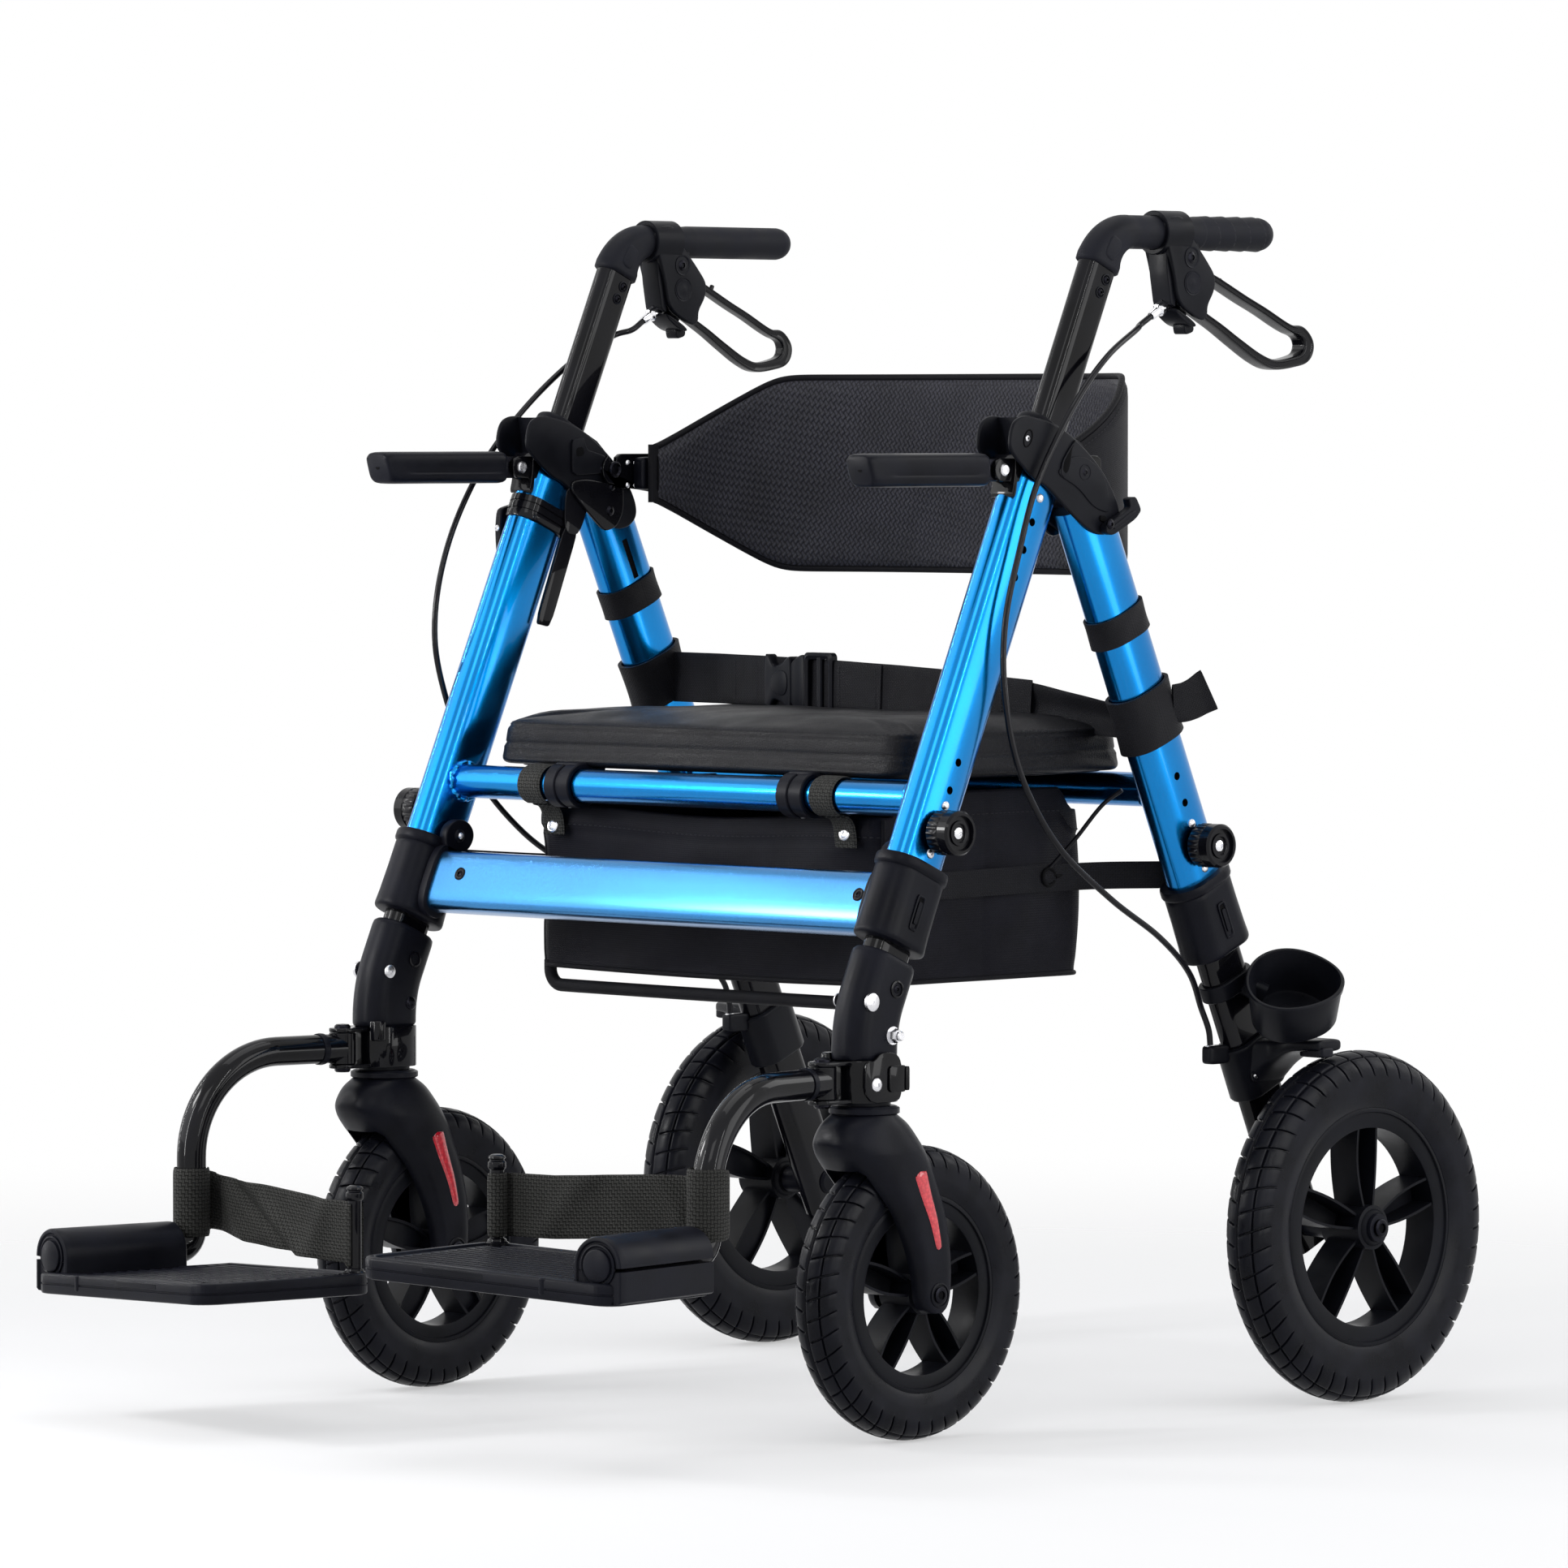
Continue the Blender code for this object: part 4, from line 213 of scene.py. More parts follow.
def carry(path, section, side=across, caps=True, loop=False, tone=0, uvScale=None):
    # a section (or one for each station) carried square to a path; its second axis stays near side
    path = np.array(path, float)
    if loop:
        tangent = unit(np.roll(path, -1, 0) - np.roll(path, 1, 0))
    else:
        tangent = unit(np.gradient(path, axis=0))
    second = unit(side - (tangent @ np.array(side, float))[:, None] * tangent)
    first = np.cross(second, tangent)
    section = np.array(section, float)
    if section.ndim == 2:
        section = np.repeat(section[None], len(path), 0)
    points = (path[:, None] + first[:, None] * section[..., :1] + second[:, None] * section[..., 1:])
    uv = None
    if uvScale:  # u runs round the section and v along the path, both in metres
        lengths = running(path)
        girth = running(np.vstack([section[0], section[0][:1]]))
        if loop:
            lengths = np.append(lengths, lengths[-1] + np.linalg.norm(path[0] - path[-1]))
        uv = np.stack(np.broadcast_arrays(girth[None, :], lengths[:, None]), -1)
    return surface(points, loopRows=loop, caps=caps, tone=tone, uv=uv)


def turned(profile, centre, axis, count=40, tone=0, caps=True):
    # a profile of (distance along the axis, radius) pairs spun round it
    axis = unit(np.array(axis, float))
    slanted = np.array([0.31, 0.57, 0.76])
    first = unit(np.cross(axis, slanted if abs(axis @ slanted) < 0.9 else across))
    profile = np.array(profile, float)
    angle = circle(count)
    spin = np.cos(angle)[:, None] * first + np.sin(angle)[:, None] * np.cross(axis, first)
    points = np.array(centre, float) + profile[:, None, :1] * axis + profile[:, None, 1:] * spin
    return surface(points, caps=caps, tone=tone)


def ringRound(centre, profile, count=56, tone=0):
    # a closed profile of (distance along x, radius) pairs spun round the x axis
    p, angle = np.array(profile), circle(count)
    x, y, z = centre
    return surface(spots(x + p[:, :1], y + p[:, 1:] * np.cos(angle), z + p[:, 1:] * np.sin(angle)),
                   loopRows=True, caps=False, tone=tone)


def layers(x, rows):
    # sections laid flat one above the other: height, middle and section of each
    return np.stack([spots(x + s[:, 1], y + s[:, 0], z) for z, y, s in rows])


def outlineNormals(outline):
    # unit vectors square to a closed outline, pointing outwards
    tangent = unit(np.roll(outline, -1, 0) - np.roll(outline, 1, 0))
    normal = np.stack([tangent[:, 1], -tangent[:, 0]], -1)
    x, y = outline.T
    return -normal if (x * np.roll(y, -1) - np.roll(x, -1) * y).sum() < 0 else normal


def plate(outline, low, high, edge=0.0006, plane="yz", tone=0):
    # an outline given a thickness, its edge rounded over by moving the outline in along its normals
    outline = np.array(outline, float)
    turn = np.radians([0, 30, 60, 90])
    inset, depth = edge * (1 - np.sin(turn)), edge * (1 - np.cos(turn))
    levels = np.concatenate([low + depth, high - depth[::-1]])
    insets = np.concatenate([inset, inset[::-1]])
    flat = outline[None] - outlineNormals(outline)[None] * insets[:, None, None]
    level = np.broadcast_to(levels[:, None, None], flat.shape[:2] + (1,))
    order = {"yz": (2, 0, 1), "xz": (0, 2, 1), "xy": (0, 1, 2)}[plane]
    return surface(np.concatenate([flat, level], -1)[..., list(order)], tone=tone)


def pressed(outline, low, high, edge=0.0006, smooth=2, share=0.25, plane="yz", tone=0):
    # a plate whose outline is first rounded
    return plate(rounded(outline, smooth, share), low, high, edge, plane, tone)


def slab(outline, levels, tone=0):
    # an outline moved in along its normals by each level's inset, at that level's height
    outline = np.array(outline, float)
    normal = outlineNormals(outline)
    return surface(np.stack([spots(*(outline - normal * inset).T, level) for inset, level in levels]), tone=tone)


def softBlock(centre, size, power=5, tone=0):
    # superellipsoid: an ellipsoid whose sines and cosines are raised to 2/power
    u, v = circle(40), np.linspace(-pi / 2, pi / 2, 20)[:, None]
    x, y, z = (signedPower(value, 2 / power) for value in (np.cos(u), np.sin(u), np.sin(v)))
    wide = signedPower(np.cos(v), 2 / power)
    return surface(spots(wide * x, wide * y, z) * np.array(size) / 2 + np.array(centre, float), caps=False, tone=tone)


def domeHead(centre, axis, radius, height, tone=0, hole=0.0, count=24):
    # a rivet: a quarter-ellipse profile, with a small pit in the middle where hole is its radius
    t = np.linspace(0, pi / 2, 7)
    profile = [(-0.001, radius)] + [(height * sin(a), radius * cos(a)) for a in t[:-1]]
    if hole:
        profile = [p for p in profile if p[1] > hole * 1.2] + [(height, hole), (height * 0.3, hole * 0.8)]
    profile.append((profile[-1][0], 0))
    return turned([(-0.001, 0)] + profile, centre, axis, count, tone)


def socketHead(centre, axis, radius, height, tone=0, pit=1):
    # a cap screw: a cylinder with a rounded rim and a six-sided recess, which takes the tone pit; both callers give it
    # the near-black pit finish, painted shade in the recess
    def spun(rows, count, finish):
        # distances as shares of the height, radii as shares of the radius; 1 mm below the face is -1
        return turned([(-0.001 if a < 0 else height * a, radius * b) for a, b in rows], centre, axis, count, finish)
    return [spun([(-1, 0), (-1, 1), (0.8, 1), (1, 0.86), (1, 0.55), (0.45, 0.5), (0.45, 0)], 30, tone),
            spun([(0.46, 0), (0.46, 0.48), (0.5, 0.46), (0.5, 0)], 6, pit)]


def hexHead(centre, axis, radius, height, tone=0):
    # a six-sided bolt head with a chamfered top and a washer under it
    def spun(rows, count):
        return turned([(height * a, radius * b) for a, b in rows], centre, axis, count, tone)
    return [spun([(0, 0), (0, 1.25), (0.15, 1.25), (0.15, 0)], 32),
            spun([(0.15, 0), (0.15, 1), (0.85, 1), (1, 0.85), (1, 0)], 6)]


def mirrored(parts):
    return [(points * [-1, 1, 1], faces, uv, tone) for points, faces, uv, tone in flatParts(parts)]


def moved(parts, shift):
    return [(points + np.array(shift), faces, uv, tone) for points, faces, uv, tone in flatParts(parts)]


def flatParts(parts):
    found = []
    for part in parts:
        found += flatParts(part) if isinstance(part, list) else [part]
    return found


def makeMesh(name, parts, used, sharp=38):
    # joins the shapes of a piece into one mesh in its final place; used names its finishes in order
    parts = flatParts(parts)
    points, faces, tones, corners, base = [], [], [], [], 0
    anyUv = any(part[2] is not None for part in parts)
    for partPoints, partFaces, uv, tone in parts:
        points.append(partPoints)
        faces += [[i + base for i in face] for face in partFaces]
        tones += tone if isinstance(tone, list) else [tone] * len(partFaces)
        if anyUv:
            corners.append(uv if uv is not None else np.zeros((sum(map(len, partFaces)), 2)))
        base += len(partPoints)
    mesh = bpy.data.meshes.new(name)
    mesh.from_pydata(np.vstack(points).tolist(), [], faces)
    if anyUv:
        layer = mesh.uv_layers.new(name="weave")
        layer.data.foreach_set("uv", np.vstack(corners).astype(np.float32).ravel())
    for finish in used.split():
        mesh.materials.append(finishes[finish])
    mesh.polygons.foreach_set("material_index", tones)
    shape = bmesh.new()
    shape.from_mesh(mesh)
    bmesh.ops.remove_doubles(shape, verts=shape.verts, dist=2e-6)
    bmesh.ops.recalc_face_normals(shape, faces=shape.faces)
    shape.to_mesh(mesh)
    shape.free()
    mesh.shade_smooth()
    mesh.set_sharp_from_angle(angle=radians(sharp))
    piece = bpy.data.objects.new(name, mesh)
    bpy.context.scene.collection.objects.link(piece)
    return piece


def place(piece, body, nodes=(), slotName=None):
    # hands a finished piece to the body that it moves with
    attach(piece, body)
    if nodes:
        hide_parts(*nodes)
    return piece


def dress(name, parts, used, body, nodes=(), slotName=None, sharp=38):
    # makes a piece and hands it over in one go
    return place(makeMesh(name, parts, used, sharp), body, nodes, slotName)


def bothSides(name, parts, used, body, slotName, node=None, sharp=38):
    # the left piece and its mirror image; parts may be a function of the side's name
    for side, sign in sides:
        own = flatParts(parts(side) if callable(parts) else parts)
        riding = body if body in frame["bodies"] else f"{body}_{side}"
        dress(f"{name}_{side}", own if sign > 0 else mirrored(own), used, riding,
              (f"{node}_{side}",) if node else (), slotName, sharp)


def applyModifiers(piece):
    # keeps what the modifiers made
    evaluated = piece.evaluated_get(bpy.context.evaluated_depsgraph_get())
    mesh = bpy.data.meshes.new_from_object(evaluated)
    piece.modifiers.clear()
    piece.data = mesh
    return piece


def vertexArray(mesh):
    co = np.empty(len(mesh.vertices) * 3)
    mesh.vertices.foreach_get("co", co)
    return co.reshape(-1, 3)


def setVertices(mesh, points):
    mesh.vertices.foreach_set("co", np.ascontiguousarray(points, np.float32).ravel())
    mesh.update()


# finishes

def hexColour(code):
    # an sRGB code as linear red, green and blue
    values = [int(code[i:i + 2], 16) / 255 for i in (1, 3, 5)]
    return tuple(v / 12.92 if v <= 0.04045 else ((v + 0.055) / 1.055) ** 2.4 for v in values) + (1.0,)


def addNode(tree, kind, settings=None, **links):
    # a node with its settings; a link or a value goes to the input of that name or number
    node = tree.nodes.new(kind)
    for name, value in (settings or {}).items():
        setattr(node, name, value)
    for name, value in links.items():
        key = int(name[1:]) if name[0] == "i" and name[1:].isdigit() else name.replace("_", " ")
        if isinstance(value, bpy.types.NodeSocket):
            tree.links.new(value, node.inputs[key])
        else:
            node.inputs[key].default_value = value
    return node


def startFinish(name, colour, roughness, metallic=0.0, coat=0.0, coatRoughness=0.06, sheen=0.0, specular=0.5):
    material = bpy.data.materials.new(name)
    material.use_nodes = True
    tree = material.node_tree
    shader = tree.nodes["Principled BSDF"]
    for key, value in (("Base Color", hexColour(colour)), ("Roughness", roughness), ("Metallic", metallic),
                       ("Coat Weight", coat), ("Coat Roughness", coatRoughness), ("Sheen Weight", sheen),
                       ("Specular IOR Level", specular)):
        shader.inputs[key].default_value = value
    material.diffuse_color = hexColour(colour)
    coords = addNode(tree, "ShaderNodeTexCoord")
    return material, tree, shader, coords


def mixColours(tree, factor, first, second):
    ramp = addNode(tree, "ShaderNodeMix", {"data_type": "RGBA"}, Factor=factor)
    ramp.inputs[6].default_value = hexColour(first)
    ramp.inputs[7].default_value = hexColour(second)
    return ramp.outputs[2]


def spread(tree, value, low, high, start=0.3, end=0.7):
    # a noise value between start and end turned into a number between low and high
    node = addNode(tree, "ShaderNodeMapRange", Value=value)
    for key, number in (("From Min", start), ("From Max", end), ("To Min", low), ("To Max", high)):
        node.inputs[key].default_value = number
    return node.outputs["Result"]


def noise(tree, coords, size, detail=3.0, stretch=None):
    # grain whose lumps are about size metres apart; stretch draws it out along an axis
    vector = coords
    if stretch:
        vector = addNode(tree, "ShaderNodeMapping", Vector=coords, Scale=stretch).outputs["Vector"]
    return addNode(tree, "ShaderNodeTexNoise", Vector=vector, Scale=1 / size, Detail=detail).outputs["Fac"]


def bump(tree, shader, height, depth, strength=1.0, under=None):
    # depth is the relief in metres
    node = addNode(tree, "ShaderNodeBump", Height=height, Distance=depth, Strength=strength)
    if under is not None:
        tree.links.new(under, node.inputs["Normal"])
    tree.links.new(node.outputs["Normal"], shader.inputs["Normal"])
    return node.outputs["Normal"]


def drawnMetal(name, dark, light, roughness, sparkle, axis, coat=0.3, coatRoughness=0.03):
    # anodised aluminium: the dye a little uneven from place to place, drawing marks that only show as
    # long faint changes of polish, and flakes as a very fine sparkle
    material, tree, shader, coords = startFinish(name, light, roughness, 1.0, coat, coatRoughness)
    streaks = noise(tree, coords.outputs["Object"], 0.004, 3, axis)
    flakes = addNode(tree, "ShaderNodeTexVoronoi", Vector=coords.outputs["Object"], Scale=1 / 0.0007)
    cloud = noise(tree, coords.outputs["Object"], 0.12, 2)
    colour = mixColours(tree, spread(tree, cloud, 0.1, 0.9), dark, light)
    glint = addNode(tree, "ShaderNodeSeparateColor", Color=flakes.outputs["Color"])
    lifted = addNode(tree, "ShaderNodeHueSaturation", Color=colour,
                     Value=spread(tree, glint.outputs["Red"], 1 - sparkle, 1 + sparkle, 0, 1))
    tree.links.new(lifted.outputs["Color"], shader.inputs["Base Color"])
    tree.links.new(spread(tree, streaks, roughness - 0.02, roughness + 0.03), shader.inputs["Roughness"])
    return material


def grained(name, colour, second, roughness, fine, depth, broad, low, high, mix=(0.3, 0.7), **more):
    # fine noise gives the relief; broad noise mixes the two colours and moves the roughness between
    # the factors or steps low and high
    material, tree, shader, coords = startFinish(name, colour, roughness, **more)
    fineFac = noise(tree, coords.outputs["Object"], *fine)
    broadFac = noise(tree, coords.outputs["Object"], *broad)
    tree.links.new(mixColours(tree, spread(tree, broadFac, 0, 1, *mix), colour, second), shader.inputs["Base Color"])
    tree.links.new(spread(tree, broadFac, low, high), shader.inputs["Roughness"])
    bump(tree, shader, fineFac, depth)
    return material


def glossPaint(name, colour, roughness=0.16):
    # baked gloss enamel: a clear skin with a slow orange peel and a few dull smears
    return grained(name, colour, "#0D0D13", roughness, (0.0035, 2), 0.000035, (0.05, 4), roughness * 0.7,
                   roughness * 1.9, coat=0.3, coatRoughness=0.03, specular=0.06)


def mouldedNylon(name, colour="#0C0D13", second="#14151D", roughness=0.36, grain=0.0009, depth=0.00007):
    # moulded nylon: the mould's spark-eroded grain, a little paler where it has been rubbed
    return grained(name, colour, second, roughness, (grain, 2), depth, (0.035, 4), roughness - 0.07,
                   roughness + 0.1, specular=0.085)


def rubberFinish(name, colour, second, roughness, grain, depth):
    # vulcanised rubber: dull, with a dusty bloom in patches and a very fine skin
    return grained(name, colour, second, roughness, (grain, 3), depth, (0.022, 5), roughness - 0.08,
                   roughness + 0.12, (0.35, 0.75), sheen=0.01, specular=0.11)


def wovenCloth(name, colour, second, pitch, depth, roughness=0.82, diagonal=0.0, sheen=0.06, gloss=0.25,
               stretch=(1, 1, 1)):
    # woven cloth on the piece's own uv, which is in metres: two rows of threads that pass over and
    # under each other, each thread a rounded ridge
    material, tree, shader, coords = startFinish(name, colour, roughness, sheen=sheen, specular=gloss)
    uv = addNode(tree, "ShaderNodeUVMap", {"uv_map": "weave"})
    turnedUv = addNode(tree, "ShaderNodeMapping", Vector=uv.outputs["UV"], Rotation=(0, 0, diagonal),
                       Scale=tuple(s / pitch for s in stretch))
    split = addNode(tree, "ShaderNodeSeparateXYZ", Vector=turnedUv.outputs["Vector"])

    def ridge(socket, phase):
        # absolute sine of pi times the coordinate
        scaled = addNode(tree, "ShaderNodeMath", {"operation": "MULTIPLY_ADD"}, i0=socket, i1=pi, i2=phase)
        wave = addNode(tree, "ShaderNodeMath", {"operation": "SINE"}, i0=scaled.outputs[0])
        return addNode(tree, "ShaderNodeMath", {"operation": "ABSOLUTE"}, i0=wave.outputs[0]).outputs[0]
    warp, weft = ridge(split.outputs["X"], 0.0), ridge(split.outputs["Y"], 0.0)
    over = addNode(tree, "ShaderNodeTexChecker", Vector=turnedUv.outputs["Vector"], Scale=1.0)
    height = addNode(tree, "ShaderNodeMix", {"data_type": "FLOAT"}, i0=over.outputs["Fac"])
    tree.links.new(warp, height.inputs[2])
    tree.links.new(weft, height.inputs[3])
    soil = noise(tree, coords.outputs["Object"], 0.03, 4)
    fuzz = noise(tree, coords.outputs["Object"], pitch * 0.35, 3)
    level = addNode(tree, "ShaderNodeMath", {"operation": "MULTIPLY"}, i0=height.outputs[0],
                    i1=spread(tree, fuzz, 0.65, 1.15))
    # the colour runs from colour in the hollows between the threads to second on their crowns: painted shade between
    # the threads and a painted highlight on the crowns
    base = mixColours(tree, level.outputs[0], colour, second)
    worn = addNode(tree, "ShaderNodeHueSaturation", Color=base, Value=spread(tree, soil, 0.78, 1.2))
    tree.links.new(worn.outputs["Color"], shader.inputs["Base Color"])
    tree.links.new(spread(tree, height.outputs[0], min(roughness + 0.1, 1), roughness - 0.12, 0, 1),
                   shader.inputs["Roughness"])
    bump(tree, shader, level.outputs[0], depth)
    return material


def pebbledLeather(name, colour, second, cell, depth, roughness=0.42):
    # coated cover cloth: rounded pebbles with creases between them, over slow unevenness
    material, tree, shader, coords = startFinish(name, colour, roughness, sheen=0.01, specular=0.11)
    warp = addNode(tree, "ShaderNodeTexNoise", Vector=coords.outputs["Object"], Scale=1 / (cell * 3), Detail=2.0)
    bent = addNode(tree, "ShaderNodeVectorMath", {"operation": "MULTIPLY_ADD"})
    tree.links.new(warp.outputs["Color"], bent.inputs[0])
    bent.inputs[1].default_value = (cell * 0.8,) * 3
    tree.links.new(coords.outputs["Object"], bent.inputs[2])
    cells = addNode(tree, "ShaderNodeTexVoronoi", {"feature": "DISTANCE_TO_EDGE"}, Vector=bent.outputs["Vector"],
                    Scale=1 / cell)
    crease = spread(tree, cells.outputs["Distance"], 0, 1, 0.0, 0.22)
    slow = noise(tree, coords.outputs["Object"], 0.04, 4)
    # the creases take the darker colour and the pebble tops the lighter one: painted shade in the creases
    tree.links.new(mixColours(tree, crease, colour, second), shader.inputs["Base Color"])
    tree.links.new(spread(tree, slow, roughness - 0.06, roughness + 0.12), shader.inputs["Roughness"])
    bump(tree, shader, crease, depth)
    return material


def bareMetal(name, colour, roughness, brushed=0.0006):
    # zinc plate and chrome: cloudy plating with fine turning marks
    material, tree, shader, coords = startFinish(name, colour, roughness, 1.0)
    marks = noise(tree, coords.outputs["Object"], brushed, 3)
    cloud = noise(tree, coords.outputs["Object"], 0.004, 3)
    tree.links.new(spread(tree, cloud, roughness * 0.7, roughness * 1.5), shader.inputs["Roughness"])
    bump(tree, shader, marks, 0.00002)
    return material


def reflectorFinish(name, colour, deep):
    # moulded acrylic reflector: clear skin over small prisms
    material, tree, shader, coords = startFinish(name, colour, 0.22, coat=0.9, coatRoughness=0.03)
    prisms = addNode(tree, "ShaderNodeTexVoronoi", {"distance": "MANHATTAN"}, Vector=coords.outputs["Object"],
                     Scale=1 / 0.0028)
    # each prism is colour in its middle and deep towards its edges: painted shade between the prisms
    tree.links.new(mixColours(tree, prisms.outputs["Distance"], colour, deep), shader.inputs["Base Color"])
    bump(tree, shader, prisms.outputs["Distance"], 0.0002, 0.5)
    return material


finishes = {
    "blueTube": drawnMetal("anodised aluminium azure", "#0270B4", "#0482CA", 0.21, 0.03, (1.0, 0.25, 0.06)),
    "blueBar": drawnMetal("anodised aluminium azure satin", "#026EAC", "#047CBC", 0.24, 0.08, (0.05, 1.0, 1.0),
                          1.0, 0.22),
    "glossTube": glossPaint("gloss enamel black", "#050507", 0.14),
    "glossNylon": glossPaint("polished nylon black", "#08080B", 0.2),
    "nylon": mouldedNylon("moulded nylon black"),
    "nylonSmooth": mouldedNylon("moulded nylon fine", "#0D0E13", "#14151B", 0.34, 0.0006, 0.00003),
    "rim": mouldedNylon("moulded wheel nylon", "#0B0C10", "#111218", 0.38, 0.0008, 0.00004),
    "tyre": rubberFinish("vulcanised rubber tyre", "#0A0B11", "#12131B", 0.31, 0.001, 0.00005),
    "grip": rubberFinish("soft grip rubber", "#121319", "#1B1C24", 0.52, 0.0007, 0.00008),
    "webbing": wovenCloth("woven nylon webbing", "#020202", "#3A3A38", 0.0024, 0.0005, 0.7, 0.0, 0.02, 0.12),
    "beltWebbing": wovenCloth("fine nylon webbing", "#050506", "#1B1B20", 0.0013, 0.0002, 0.58, 0.0, 0.01, 0.1),
    "leather": pebbledLeather("pebbled coated fabric", "#08080A", "#131318", 0.0017, 0.00013, 0.36),
    "meshCloth": wovenCloth("spacer mesh fabric", "#010102", "#36363F", 0.003, 0.0007, 0.5, radians(38),
                            0.01, 0.2, (1.0, 0.72, 1)),
    "backCloth": wovenCloth("laminated backing cloth", "#0A0A0D", "#15151B", 0.001, 0.00009, 0.6, 0.6, 0.01, 0.08),
    "piping": wovenCloth("bound edge tape", "#08080A", "#16161B", 0.001, 0.00012, 0.6, 0.0, 0.01, 0.08),
    "oxford": wovenCloth("oxford bag cloth", "#07070A", "#181820", 0.0012, 0.00016, 0.5, radians(45),
                         0.0, 0.07),
    "steel": bareMetal("zinc plated steel", "#D9D9DC", 0.28),
    "chrome": bareMetal("chrome plated steel", "#EDEDF0", 0.1),
    "darkSteel": bareMetal("black oxide steel", "#1A1A1F", 0.28),
    "reflector": reflectorFinish("red acrylic reflector", "#F0323F", "#C4142A"),
    "sheath": glossPaint("extruded cable sheath", "#0D0D12", 0.28),
    "thread": wovenCloth("bonded polyester thread", "#1A1A20", "#3A3A44", 0.001, 0.0001, 0.6),
    # pit: a near-black matte finish laid on the walls and floors of holes, slots, pockets and screw sockets, standing
    # in for their shade: painted shade
    "pit": mouldedNylon("unlit recess", "#050507", "#08080A", 0.8),
}
print("finishes made:", len(finishes))


# camera, light and floor

view = {
    "azimuth": radians(45.17),
    "elevation": radians(2.302),
    "distance": 6.7551,
    "acrossShift": -0.04187,
    "lookAt": (0.0, 0.1, 0.45497),
    "lens": 36 * 11185.5 / 1932,
}


def setCamera():
    a, e = view["azimuth"], view["elevation"]
    right = np.array([cos(a), sin(a), 0])
    back = np.array([sin(a) * cos(e), -cos(a) * cos(e), sin(e)])
    top = np.cross(back, right)
    spot = right * view["acrossShift"] + view["lookAt"] + back * view["distance"]
    data = bpy.data.cameras.new("studioCamera")
    data.lens, data.sensor_width, data.clip_end = view["lens"], 36, 40
    camera = bpy.data.objects.new("studioCamera", data)
    bpy.context.scene.collection.objects.link(camera)
    turn = Matrix(np.stack([right, top, back], 1).tolist()).to_4x4()
    camera.matrix_world = Matrix.Translation(spot.tolist()) @ turn
    bpy.context.scene.camera = camera


studio = {
    "worldLight": 0.34,      # strength of the pale room that lights the object
    "roomColour": "#F2F4F8",
    "floorColour": "#F7F7F9",
    "floorRadius": 2.6,
    "floorClear": 0.45,      # share of the white room that shows through the floor at its middle
    "softboxes": [            # name, place, aim, width, height, watts
        ("leftSoftbox", (-1.55, -2.05, 1.45), (0.0, 0.0, 0.45), 2.3, 2.0, 20),
        ("barSoftbox", (-0.56, -0.815, 0.756), (0.2, -0.1, 0.36), 0.2, 0.2, 3.4),
        ("leftStrip", (-0.55, -2.75, 1.1), (0, 0.0, 0.5), 0.07, 2.0, 24),
        ("sideStrip", (-2.6, -0.75, 1.1), (0, 0.0, 0.5), 0.03, 2.0, 12),
        ("keySoftbox", (2.3, -2.6, 2.6), (0, 0.0, 0.45), 1.2, 1.2, 12),
        ("rightSoftbox", (2.51, 0.97, 1.1), (0, 0.1, 0.5), 1.5, 2.0, 27),
        ("rightStrip", (2.85, -0.35, 1.1), (0, 0.1, 0.5), 0.03, 2.0, 10),
        ("backSoftbox", (1.6, 2.8, 2.0), (0, 0.1, 0.5), 1.2, 1.6, 16),
        ("topSoftbox", (0, 0.1, 3.2), (0, 0.1, 0), 2.0, 2.0, 20),
    ],
}


